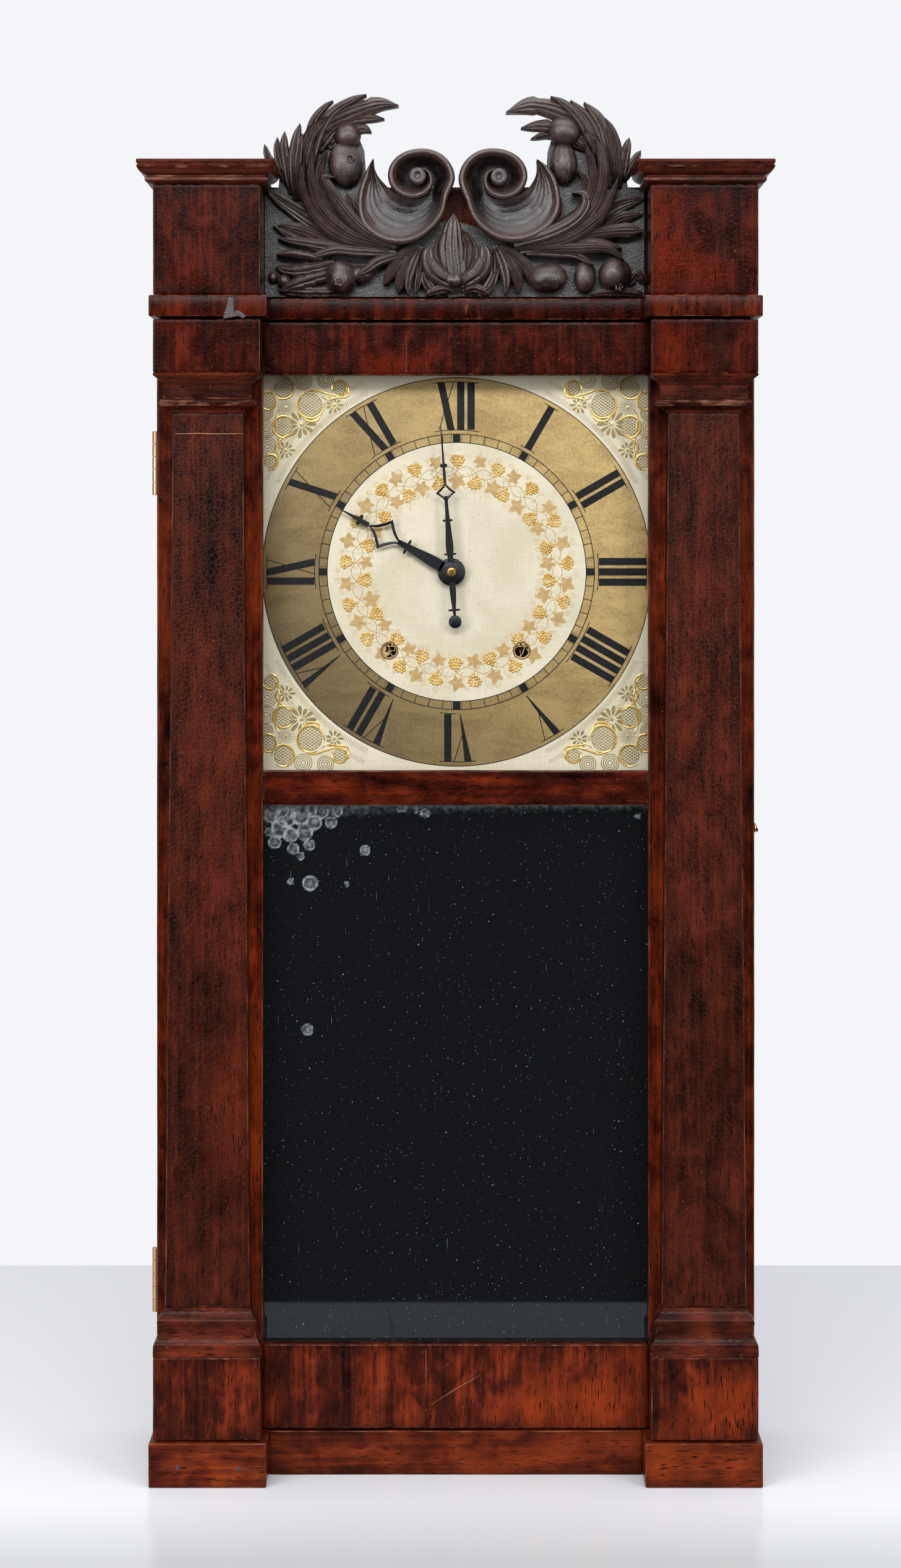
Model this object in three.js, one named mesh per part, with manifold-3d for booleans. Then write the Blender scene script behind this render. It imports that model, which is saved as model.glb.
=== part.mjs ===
// Eight-day weight-driven shelf clock: a tall mahogany case with a carved crest, a full-height
// hinged door between tapered pilasters, a painted dial above a mirror, and behind them the
// movement, the pendulum, the gong and two weights.
//
// Millimetres, +Z up, front towards -Y, +X to the viewer's right.
// The origin is the middle of the bounding box, at floor level.

import * as THREE from 'three';
import { mergeVertices } from 'three/addons/utils/BufferGeometryUtils.js';
import Module from 'manifold-3d';

const wasm = await Module();
wasm.setup();

// ---------------------------------------------------------------- driving dimensions

// fits
const hair = 0.1; // every board is cut this much under its nominal size, on each face
const running = 0.3; // radial clearance of a turning pivot
const doorGapBelow = 1.2; // door above the base
const doorGapAbove = 1.7; // door under the top band
const hingeGap = 1.4; // door back to case front

// case
const caseHalfWidth = 214.6; // middle of the case to the outside of a side board
const caseDepth = 99.6; // front edge of the side boards to the wall
const sideThickness = 13;
const backThickness = 6;
const bottomThickness = 12;

// base
const footHeight = 31.6;
const footOverhang = 2.9; // foot and band blocks past the side of the case
const footInnerLead = 4.4; // foot and band blocks past the inner line of the stiles
const railSetback = 32; // centre rail and band behind the front of the foot blocks

// door
const doorThickness = 20;
const stileWidth = 76.2;
const blockProjection = 31; // plinth and frieze blocks in front of the door frame
const footLead = 3; // foot blocks in front of the plinth blocks
const bottomRailHeight = 60.2;
const mirrorHeight = 387.4;
const middleRailHeight = 24.9;
const dialOpeningHeight = 284.1;
const topRailHeight = 38.1;
const rabbetWidth = 5.5;
const glassThickness = 2.2;
const glassFromBack = 9.6; // front of the glass to the back of the door
const mirrorBoardThickness = 4;

// pilasters, from the plinth block up to the frieze block
const plinthHeight = 58.6;
const baseMouldingHeight = 33.8;
const capitalHeight = 28;
const shaftFootHalfWidth = 30.2;
const shaftHeadHalfWidth = 25.2;

// top
const bandHeight = 15.2;
const topBlockHeight = 78.7;
const topBlockDepth = 57;
const corniceHeight = 16.7;
const corniceOverhang = 10.8;
const crestBoardHeight = 83.3;
const crestBoardThickness = 11;
const crestBoardHalfWidth = 199;
const carvingThickness = 16; // ground of the carving
const carvingRelief = 11; // scrolls and fruit in front of that ground

// dial
const dialSideLap = 11.6; // dial edge hidden behind each stile
const dialMargin = 8; // dial edge hidden behind the door rails, above and below
const dialThickness = 6;
const dialBehindDoor = 8;
const cleatThickness = 12;
const windingHoleRadius = 5;

// hands
const arborX = -3; // centre arbor, left of the middle of the case
const arborAboveMiddle = 0.65; // centre arbor above the middle of the dial opening
const minuteHandLength = 106;
const hourHandLength = 92.7;
const minuteHandAngle = 4.2; // degrees left of upright
const hourHandAngle = 60.5;
const handThickness = 1.2;
const handRim = 1.1; // metal round the open diamond
const minuteHandBehindGlass = 4.6;
const handSpacing = 2.8;
const arborRadius = 1.2;
const pipeWall = 1.2;

// movement
const plateHalfWidth = 86;
const plateHeight = 180;
const plateBelowWinding = 40;
const plateThickness = 2;
const plateSpacing = 34;
const frontPlateBehindDial = 18;
const pillarRadius = 3;
const pillarInset = 6;
const windingOffset = 48.1; // winding arbors, each side of the middle of the case
const windingDrop = 57.2; // winding arbors below the centre arbor
const windingArborRadius = 2.4;
const drumRadius = 12;
const flangeHeight = 3;
const greatWheelTeeth = 68;
const centreWheelTeeth = 60;
const pinionLeaves = 9;
const gearModule = 1;
const toothHeight = 0.75; // above the pitch circle, as a share of the module
const toothRoot = 1.05; // below the pitch circle, as a share of the module
const wheelThickness = 1.6;
const escapeWheelRadius = 15;
const escapeWheelTeeth = 30;
const vergeRise = 25.4; // verge arbor above the escape arbor
const palletClearance = 3;
const suspensionRise = 8; // pendulum pivot above the verge arbor
const pendulumBehindPlate = 6;
const pendulumLength = 416;
const pendulumRodRadius = 1.2;
const bobRadius = 30;
const bobThickness = 12;
const crutchLength = 54;
const hammerDrop = 78; // hammer arbor below the centre arbor
const hammerReachX = 39;
const hammerReachZ = 115;
const hammerHeadRadius = 5;
const gongRadius = 38;
const gongTurns = 2.5;
const gongWireRadius = 1.2;
const gongEyeRadius = 9;
const gongBlockSize = 14;
const gongBelowHammer = 2.5; // clear space between the hammer head and the gong

// weights
const weightSideGap = 4.6; // weight to the side board
const weightWidth = 46;
const weightDepth = 46;
const weightHeight = 180;
const weightAboveBottom = 8;
const weightHookHeight = 12;
const cordRadius = 0.9;
const pulleyRadius = 10;
const pulleyGroove = 1.6;
const pulleyThickness = 7;
const pulleyBelowBand = 17;
const pulleyCheek = 4;

// hinges and catch
const hingeHeight = 46.5;
const upperHingeBelowTop = 100.6; // door top to the middle of the upper hinge
const lowerHingeAboveFoot = 102.3; // door bottom to the middle of the lower hinge
const knuckleRadius = 2.5;
const knuckles = 5;
const leafWidth = 20;
const leafThickness = 0.6;
const pinFromSide = 2.8; // hinge pin outside the case side
const hookAboveMirror = 369; // hook above the lower edge of the mirror
const hookReach = 17;
const hookThickness = 1.6;
const hookPinRadius = 1.3;

// ---------------------------------------------------------------- derived planes

// depths run back from the front of the foot blocks
const plinthFront = footLead;
const doorFront = plinthFront + blockProjection;
const doorBack = doorFront + doorThickness;
const caseFront = doorBack + hingeGap;
const caseBack = caseFront + caseDepth;
const corniceFront = plinthFront - corniceOverhang;
const middleDepth = (corniceFront + caseBack - hair) / 2;
const backBoardFront = caseBack - backThickness;
const glassFront = doorBack - glassFromBack;
const dialFront = doorBack + dialBehindDoor;
const dialBack = dialFront + dialThickness;
const frontPlate = dialBack + frontPlateBehindDial;
const gearSpace = frontPlate + plateThickness;
const backPlate = gearSpace + plateSpacing;
const pendulumDepth = backPlate + plateThickness + pendulumBehindPlate;
const hingeDepth = doorBack + hingeGap / 2;
const minuteHandFront = glassFront + glassThickness + minuteHandBehindGlass;
const hourHandFront = minuteHandFront + handThickness + handSpacing;
const carvingBack = plinthFront + topBlockDepth;
const carvingFront = carvingBack - carvingThickness;

// widths
const openingHalfWidth = caseHalfWidth - stileWidth;
const blockMiddle = (openingHalfWidth + caseHalfWidth) / 2;
const blockHalfWidth = stileWidth / 2;
const bandInner = openingHalfWidth - footInnerLead;
const bandOuter = caseHalfWidth + footOverhang;
const insideHalfWidth = caseHalfWidth - sideThickness;
const dialHalfWidth = openingHalfWidth + dialSideLap;
const weightX = insideHalfWidth - weightSideGap - weightWidth / 2;

// heights
const doorBottom = footHeight + doorGapBelow;
const mirrorBottom = doorBottom + bottomRailHeight;
const mirrorTop = mirrorBottom + mirrorHeight;
const dialOpeningBottom = mirrorTop + middleRailHeight;
const dialOpeningTop = dialOpeningBottom + dialOpeningHeight;
const doorTop = dialOpeningTop + topRailHeight;
const bandBottom = doorTop + doorGapAbove;
const bandTop = bandBottom + bandHeight;
const topBlockTop = bandTop + topBlockHeight;
const plinthTop = doorBottom + plinthHeight;
const shaftBottom = plinthTop + baseMouldingHeight;
const shaftTop = dialOpeningTop - capitalHeight;
const arborHeight = dialOpeningBottom + dialOpeningHeight / 2 + arborAboveMiddle;
const hookHeight = mirrorBottom + hookAboveMirror;
const windingHeight = arborHeight - windingDrop;
const plateBottom = windingHeight - plateBelowWinding;
const plateTop = plateBottom + plateHeight;
const pulleyHeight = bandBottom - pulleyBelowBand;
const weightBottom = footHeight + weightAboveBottom;
const weightTop = weightBottom + weightHeight;

// movement centres
const centreWheelRadius = (gearModule * centreWheelTeeth) / 2;
const pinionRadius = (gearModule * pinionLeaves) / 2;
const gearPlay = 0.2; // wheel and pinion set this much further apart than their pitch circles
const escapeHeight = arborHeight + centreWheelRadius + pinionRadius + gearPlay;
const vergeHeight = escapeHeight + vergeRise;
const suspensionHeight = vergeHeight + suspensionRise;
const bobHeight = suspensionHeight - pendulumLength;
const hammerHeight = arborHeight - hammerDrop;
const hammerHeadX = arborX + hammerReachX;
const hammerHeadZ = hammerHeight - hammerReachZ;
const gongX = hammerHeadX + 4;
const gongZ = hammerHeadZ - hammerHeadRadius - gongBelowHammer - gongWireRadius - gongRadius;
const gongDepth = backBoardFront - 8;
const greatWheelFront = gearSpace + 2;
const drumFront = greatWheelFront + wheelThickness + 1;
const drumBack = backPlate - 4;
const centreWheelFront = gearSpace + 9;
const escapeWheelFront = centreWheelFront + 5;
const cordDepth = (drumFront + drumBack) / 2;
const grooveRadius = pulleyRadius - pulleyGroove;
const pulleyX = weightX - grooveRadius - cordRadius;

// ---------------------------------------------------------------- shapes

const toY = (depth) => depth - middleDepth;

/** A three.js geometry as a solid: shared corners merged, collapsed triangles dropped. */
function solid(geometry) {
  const bare = geometry.clone();
  bare.deleteAttribute('normal');
  bare.deleteAttribute('uv');
  const merged = mergeVertices(bare, 1e-4);
  const corners = merged.index.array;
  const kept = [];
  for (let i = 0; i < corners.length; i += 3) {
    const [a, b, c] = [corners[i], corners[i + 1], corners[i + 2]];
    if (a !== b && b !== c && c !== a) kept.push(a, b, c);
  }
  return new wasm.Manifold(new wasm.Mesh({
    numProp: 3,
    vertProperties: new Float32Array(merged.attributes.position.array),
    triVerts: new Uint32Array(kept),
  }));
}

const joined = (...bodies) => bodies.reduce((whole, body) => whole.add(body));
const cutBy = (body, ...tools) => tools.reduce((whole, tool) => whole.subtract(tool), body);

/** Box between two x values, two depths and two heights, trimmed by a hair except at the floor. */
function board([x0, x1], [d0, d1], [z0, z1], trim = hair) {
  const [left, right] = [Math.min(x0, x1) + trim, Math.max(x0, x1) - trim];
  const [low, high] = [z0 === 0 ? 0 : z0 + trim, z1 - trim];
  const geometry = new THREE.BoxGeometry(right - left, d1 - d0 - 2 * trim, high - low);
  geometry.translate((left + right) / 2, toY((d0 + d1) / 2), (low + high) / 2);
  return solid(geometry);
}

/** Box with no trim, for cutting and for small joined details. */
const block = (xs, ds, zs) => board(xs, ds, zs, 0);

/** Solid turned about a line that runs along the depth, from a [depth, radius] profile. */
function turned(x, z, profile, sides = 16) {
  const points = profile.map(([depth, radius]) => new THREE.Vector2(radius, toY(depth)));
  const geometry = new THREE.LatheGeometry(points, sides);
  geometry.translate(x, 0, z);
  return solid(geometry);
}

/** Round bar along the depth. */
const bar = (x, z, [d0, d1], radius, sides = 16) =>
  turned(x, z, [[d0, 0], [d0, radius], [d1, radius], [d1, 0]], sides);

/** Pipe along the depth. */
const pipe = (x, z, [d0, d1], inner, outer, sides = 20) =>
  turned(x, z, [[d0, inner], [d0, outer], [d1, outer], [d1, inner], [d0, inner]], sides);

/** Upright solid of revolution from a [height, radius] profile. */
function upright(x, depth, profile, sides = 12) {
  const points = profile.map(([height, radius]) => new THREE.Vector2(radius, height));
  const geometry = new THREE.LatheGeometry(points, sides);
  geometry.rotateX(Math.PI / 2);
  geometry.translate(x, toY(depth), 0);
  return solid(geometry);
}

/** Flat outline of [x, z] points, standing up, from one depth to another. */
function outline(points, [d0, d1]) {
  const shape = new THREE.Shape(points.map(([x, z]) => new THREE.Vector2(x, z)));
  const geometry = new THREE.ExtrudeGeometry(shape, { depth: d1 - d0, bevelEnabled: false });
  geometry.rotateX(Math.PI / 2);
  geometry.translate(0, toY(d1), 0);
  return solid(geometry);
}

/** Rounded lump with its own half sizes along x, depth and z. */
function lump(x, depth, z, [halfX, halfDepth, halfZ]) {
  const geometry = new THREE.SphereGeometry(1, 14, 9);
  geometry.scale(halfX, halfDepth, halfZ);
  geometry.translate(x, toY(depth), z);
  return solid(geometry);
}

/** Tube along a list of points. */
function tube(points, radius, steps, sides) {
  const section = new THREE.Shape();
  for (let i = 0; i < sides; i += 1) {
    const angle = (2 * Math.PI * i) / sides;
    const [u, v] = [radius * Math.cos(angle), radius * Math.sin(angle)];
    if (i === 0) section.moveTo(u, v);
    else section.lineTo(u, v);
  }
  const path = new THREE.CatmullRomCurve3(points.map(([x, depth, z]) => new THREE.Vector3(x, toY(depth), z)));
  return solid(new THREE.ExtrudeGeometry(section, { steps, bevelEnabled: false, extrudePath: path }));
}

/**
 * Stack of level rectangles joined by straight walls: a moulding that runs along the front of a
 * block and returns along both its sides. Each tier is [height, half width, front depth].
 */
function tierStack(middleX, backDepth, tiers) {
  const corners = [];
  for (const [height, half, front] of tiers) {
    corners.push(middleX - half, toY(front), height);
    corners.push(middleX + half, toY(front), height);
    corners.push(middleX + half, toY(backDepth), height);
    corners.push(middleX - half, toY(backDepth), height);
  }
  const faces = [0, 2, 1, 0, 3, 2];
  for (let tier = 0; tier < tiers.length - 1; tier += 1) {
    for (let side = 0; side < 4; side += 1) {
      const [a, b] = [tier * 4 + side, tier * 4 + ((side + 1) % 4)];
      faces.push(a, b, b + 4, a, b + 4, a + 4);
    }
  }
  const top = (tiers.length - 1) * 4;
  faces.push(top, top + 1, top + 2, top, top + 2, top + 3);
  const geometry = new THREE.BufferGeometry();
  geometry.setAttribute('position', new THREE.Float32BufferAttribute(corners, 3));
  geometry.setIndex(faces);
  return solid(geometry);
}

/** Toothed disc; the first tooth tip points at the given angle from +X towards +Z. */
function toothedWheel(x, z, [d0, d1], teeth, pitchRadius, tipAngle) {
  const [tip, root] = [pitchRadius + toothHeight * gearModule, pitchRadius - toothRoot * gearModule];
  const step = (2 * Math.PI) / teeth;
  const rootHalf = 0.26 * step;
  const points = [];
  for (let i = 0; i < teeth; i += 1) {
    const angle = tipAngle + i * step;
    for (const [turn, radius] of [[-rootHalf, root], [0, tip], [rootHalf, root]]) {
      points.push([x + radius * Math.cos(angle + turn), z + radius * Math.sin(angle + turn)]);
    }
  }
  return outline(points, [d0, d1]);
}

/** Turns [across, along] points of a hand about the arbor: along runs to the tip. */
function handPoints(points, degreesLeft) {
  const turn = (degreesLeft * Math.PI) / 180;
  return points.map(([across, along]) => [
    arborX + across * Math.cos(turn) - along * Math.sin(turn),
    arborHeight + across * Math.sin(turn) + along * Math.cos(turn),
  ]);
}

// ---------------------------------------------------------------- scene

const finish = (color, roughness, metalness = 0) =>
  new THREE.MeshStandardMaterial({ color, roughness, metalness });

const materials = {
  mahogany: finish(0x5e2114, 0.42),
  darkMahogany: finish(0x3a1611, 0.5),
  carved: finish(0x2a1c17, 0.55),
  pine: finish(0xa98455, 0.75),
  dialPaint: finish(0xe0dac8, 0.6),
  glass: new THREE.MeshStandardMaterial({ color: 0xdfe8e6, roughness: 0.05, transparent: true, opacity: 0.3 }),
  mirror: finish(0x1a1c20, 0.06, 1),
  brass: finish(0xb48a45, 0.35, 1),
  steel: finish(0x6d7074, 0.4, 1),
  iron: finish(0x232325, 0.6, 0.8),
  blackIron: finish(0x18191b, 0.45, 0.6),
  cord: finish(0xb9a98a, 0.9),
};

const clock = new THREE.Group();
const caseGroup = new THREE.Group();
const doorGroup = new THREE.Group();
const movementGroup = new THREE.Group();
doorGroup.position.set(-(caseHalfWidth + pinFromSide), toY(hingeDepth), doorBottom);
movementGroup.position.set(arborX, toY(gearSpace), arborHeight);
clock.add(caseGroup, doorGroup, movementGroup);

/** Adds a solid to a group as a named mesh, placed by the middle of its own box. */
function add(group, name, body, material) {
  const { vertProperties, triVerts } = body.getMesh();
  const geometry = new THREE.BufferGeometry();
  geometry.setAttribute('position', new THREE.BufferAttribute(new Float32Array(vertProperties), 3));
  geometry.setIndex(new THREE.BufferAttribute(new Uint32Array(triVerts), 1));
  geometry.computeBoundingBox();
  const middle = geometry.boundingBox.getCenter(new THREE.Vector3());
  geometry.translate(-middle.x, -middle.y, -middle.z);
  geometry.computeVertexNormals();
  const mesh = new THREE.Mesh(geometry, material);
  mesh.name = name;
  mesh.position.copy(middle.sub(group.position));
  group.add(mesh);
}

const sides = [{ hand: 'left', sign: -1 }, { hand: 'right', sign: 1 }];

// ---------------------------------------------------------------- case

/** Side board with the cleat that carries the edge of the dial. */
function caseSide(sign) {
  const plank = board([sign * insideHalfWidth, sign * caseHalfWidth], [caseFront, caseBack], [0, bandBottom]);
  const cleat = block(
    [sign * openingHalfWidth, sign * (insideHalfWidth + 1)],
    [dialBack + hair, dialBack + cleatThickness],
    [dialOpeningBottom - dialMargin, dialOpeningTop + dialMargin],
  );
  return joined(plank, cleat);
}

/** Band block over the door's frieze block, with the lugs and axle of its cord pulley below. */
function bandBlock(sign) {
  const cap = board([sign * bandInner, sign * bandOuter], [0, caseBack], [bandBottom, bandTop]);
  const reach = pulleyRadius + 2;
  const lugXs = [sign * (pulleyX - reach), sign * (pulleyX + reach)];
  const lugZs = [pulleyHeight - 4, bandBottom + 1];
  const halfGap = pulleyThickness / 2 + running;
  const lugs = [-1, 1].map((end) => {
    const near = cordDepth + end * halfGap;
    const far = cordDepth + end * (halfGap + pulleyCheek);
    return block(lugXs, [Math.min(near, far), Math.max(near, far)], lugZs);
  });
  const span = halfGap + pulleyCheek / 2;
  const axle = bar(sign * pulleyX, pulleyHeight, [cordDepth - span, cordDepth + span], arborRadius);
  return joined(cap, ...lugs, axle);
}

function addCase() {
  for (const { hand, sign } of sides) {
    const side = sign > 0 ? joined(caseSide(sign), hookPivot()) : caseSide(sign);
    add(caseGroup, `${hand}_case_side`, side, materials.mahogany);
    add(caseGroup, `${hand}_foot_block`,
      board([sign * bandInner, sign * bandOuter], [0, caseFront], [0, footHeight]), materials.mahogany);
    add(caseGroup, `${hand}_band_block`, bandBlock(sign), materials.mahogany);
    add(caseGroup, `${hand}_top_block`,
      board([sign * openingHalfWidth, sign * caseHalfWidth], [plinthFront, carvingBack], [bandTop, topBlockTop]),
      materials.mahogany);
  }
  const inside = [-insideHalfWidth, insideHalfWidth];
  const bottomZs = [footHeight - bottomThickness, footHeight];
  add(caseGroup, 'back_board',
    board(inside, [backBoardFront, caseBack], [bottomZs[0], bandBottom]), materials.pine);
  add(caseGroup, 'bottom_board', board(inside, [caseFront, backBoardFront], bottomZs), materials.pine);
  add(caseGroup, 'base_rail', board([-bandInner, bandInner], [railSetback, caseFront], [0, footHeight]),
    materials.mahogany);
  add(caseGroup, 'top_board', board([-bandInner, bandInner], [railSetback, caseBack], [bandBottom, bandTop]),
    materials.mahogany);
}

// cornice profile, from its foot: share of the height, share of the overhang
const corniceProfile = [
  [0, 0.14], [0.07, 0.42], [0.18, 0.5], [0.27, 0.47], [0.28, 0.34], [0.35, 0.34], [0.36, 0.48],
  [0.47, 0.76], [0.61, 0.95], [0.74, 1], [0.75, 0.92], [0.83, 0.92], [0.84, 1], [1, 1],
];

function cornice(sign) {
  const tiers = corniceProfile.map(([rise, reach]) => [
    topBlockTop + hair + rise * (corniceHeight - hair),
    blockHalfWidth + reach * corniceOverhang,
    plinthFront - reach * corniceOverhang,
  ]);
  return tierStack(sign * blockMiddle, carvingBack - hair, tiers);
}

// ---------------------------------------------------------------- crest carving

const carvingGap = 1.9; // carving to the top blocks
const neckGap = 2.4; // carving to the ends of the cornices, between them
const shelfGap = 1; // carving to the cornices, under and over them
const drawnHalfWidth = 136.5; // half width at which the outline below is drawn
const drawnShelf = 96.4; // height of the cornice tops in that drawing

// [x, z] from the middle of the carving's foot; the leaf sprays run from the outside inwards
const leftSpray = [
  [-135.8, 96.4], [-137.6, 112.9], [-132.3, 108.9], [-127.8, 117.3], [-122.5, 122.3],
  [-118.9, 119.5], [-113.1, 127.2], [-106.8, 123.6], [-96.6, 140.1], [-88.1, 144.1], [-87.6, 139.2],
  [-78.7, 145.5], [-64.4, 148.1], [-65.3, 143.7], [-56.4, 145.5], [-48.3, 144.6], [-40.8, 140.6],
  [-46.1, 135.6], [-52.8, 135.2], [-51, 132.5], [-55.5, 127.2], [-65.3, 126.7], [-60.4, 122.3],
  [-68, 115.1], [-71, 110], [-65, 102], [-64, 93], [-59.5, 101.3], [-55, 95], [-53, 84],
];
const rightSpray = [
  [52.8, 84], [54.6, 96.4], [57.5, 101.3], [65.5, 95], [67.5, 103], [70, 109.8], [64.2, 115.5],
  [54.3, 116.9], [46.7, 124.5], [53, 128.9], [44.1, 128.9], [36.5, 135.2], [46.3, 142.3], [53, 143.7],
  [64.2, 142.3], [69.1, 146.8], [81.1, 143.2], [90.9, 140.1], [93.2, 142.3], [99.9, 139.2],
  [106.6, 128.5], [109.3, 130.7], [117.7, 116.9], [125.8, 117.3], [128.5, 109.8], [132.9, 108],
  [131.1, 96.4],
];

// middle of each scroll eye, and its radius
const volutes = [{ x: -27.1, z: 87.9, radius: 20.5 }, { x: 31.4, z: 89, radius: 19.8 }];

// lower sweep of each scroll: middle, outer half sizes and inner half sizes
const sweeps = [
  { x: -57.7, z: 86.6, outer: [55.8, 51.3], inner: [37, 36] },
  { x: 60.4, z: 86.6, outer: [57.2, 50], inner: [38, 35] },
];

// fruit, nuts and leaf clusters: middle, half width and half height
const fruits = [
  [-78.7, 119.1, 10.5, 10], [-76.5, 94.6, 12.5, 15.6], [-81.6, 17.8, 12, 12.5], [-121, 16, 14, 14],
  [-32, 16, 13, 15], [-0.6, 18, 17, 16], [33, 17, 13, 15.5], [78.4, 122.3, 11.6, 11.4],
  [77.6, 99, 9.5, 14.7], [67, 16.8, 13.6, 12], [93.2, 17.7, 8, 11.5], [114.4, 17.8, 11.5, 12],
];

/** Half ellipse that opens upwards, as [x, z] points. */
function lowerHalf(x, z, [halfX, halfZ], steps) {
  const points = [];
  for (let i = 0; i <= steps; i += 1) {
    const angle = Math.PI + (Math.PI * i) / steps;
    points.push([x + halfX * Math.cos(angle), z + halfZ * Math.sin(angle)]);
  }
  return points;
}

function crestCarving() {
  const edge = openingHalfWidth - carvingGap;
  const neck = openingHalfWidth - corniceOverhang - neckGap;
  const foot = 2 * hair;
  const under = topBlockHeight - shelfGap;
  const over = topBlockHeight + corniceHeight + shelfGap;
  const widen = edge / drawnHalfWidth;
  const raise = over - drawnShelf;
  const lift = ([x, z]) => [x, bandTop + z];
  const drawn = ([x, z]) => [x * widen, z + raise];
  const ground = [
    [-edge, foot], [-edge, under], [-neck, under], [-neck, over], ...leftSpray.map(drawn),
    ...rightSpray.map(drawn), [neck, over], [neck, under], [edge, under], [edge, foot],
  ];
  const back = carvingBack - hair;
  const scrollFront = carvingFront - carvingRelief * 0.7;
  const parts = [outline(ground.map(lift).reverse(), [carvingFront, back])];
  for (const { x, z, outer, inner } of sweeps) {
    const rim = [...lowerHalf(x, z, outer, 14), ...lowerHalf(x, z, inner, 10).reverse()];
    parts.push(outline(rim.map(drawn).map(lift), [scrollFront, carvingFront + 1]));
  }
  for (const [x, z, halfX, halfZ] of fruits) {
    const [middle, height] = lift(drawn([x, z]));
    parts.push(lump(middle, carvingFront + 1, height, [halfX * widen, carvingRelief, halfZ]));
  }
  for (const { x, z, radius } of volutes) {
    const front = carvingFront - carvingRelief;
    const face = [
      [front, 0], [front, radius * 0.3], [front + 6, radius * 0.36], [front + 6, radius * 0.55],
      [front + 1, radius * 0.7], [front + 4, radius], [back, radius], [back, 0],
    ];
    const [middle, height] = lift(drawn([x, z]));
    parts.push(turned(middle, height, face, 24));
  }
  return joined(...parts);
}

function addTop() {
  for (const { hand, sign } of sides) {
    add(caseGroup, `${hand}_cornice`, cornice(sign), materials.mahogany);
  }
  add(caseGroup, 'crest_board',
    board([-crestBoardHalfWidth, crestBoardHalfWidth], [carvingBack, carvingBack + crestBoardThickness],
      [bandTop, bandTop + crestBoardHeight]), materials.darkMahogany);
  add(caseGroup, 'crest_carving', crestCarving(), materials.carved);
}

// ---------------------------------------------------------------- door

/** Room for a pane and its backing in the back of the door. */
function rabbet([low, high]) {
  return block(
    [-openingHalfWidth - rabbetWidth, openingHalfWidth + rabbetWidth],
    [glassFront, doorBack + 1],
    [low - rabbetWidth, high + rabbetWidth],
  );
}

/** Pane in a rabbet, clear of its edges. */
function pane([low, high], depths) {
  const half = openingHalfWidth + rabbetWidth - running;
  return board([-half, half], depths, [low - rabbetWidth + running, high + rabbetWidth - running]);
}

// share of the height and of the step from the neck out to the block, from the foot up
const capitalProfile = [
  [0, -0.77], [0.06, -0.55], [0.13, 0], [0.17, 0.28], [0.25, 0.43], [0.34, 0.28], [0.36, 0],
  [0.71, 0], [0.74, 0.12], [0.82, 0.36], [0.9, 0.72], [0.95, 0.94], [1, 1],
];
const baseProfile = [
  [0, 0.97], [0.05, 1], [0.15, 1], [0.24, 0.97], [0.3, 0.88], [0.31, 0.8], [0.4, 0.6], [0.56, 0.52],
  [0.65, 0.5], [0.66, 0.62], [0.74, 0.6], [0.8, 0.5], [0.82, 0.34], [0.9, 0.12], [1, 0],
];

/** Moulding around three sides of a pilaster, between an inner and an outer half width. */
function pilasterMoulding(sign, [low, high], [innerHalf, outerHalf], profile) {
  const tiers = profile.map(([rise, reach]) => {
    const half = innerHalf + reach * (outerHalf - innerHalf);
    return [low + hair + rise * (high - low - 2 * hair), half, plinthFront + blockHalfWidth - half];
  });
  return tierStack(sign * blockMiddle, doorFront - hair, tiers);
}

function pilaster(sign) {
  const front = (half) => plinthFront + blockHalfWidth - half;
  return tierStack(sign * blockMiddle, doorFront - hair, [
    [shaftBottom + hair, shaftFootHalfWidth, front(shaftFootHalfWidth)],
    [shaftTop - hair, shaftHeadHalfWidth, front(shaftHeadHalfWidth)],
  ]);
}

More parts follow.
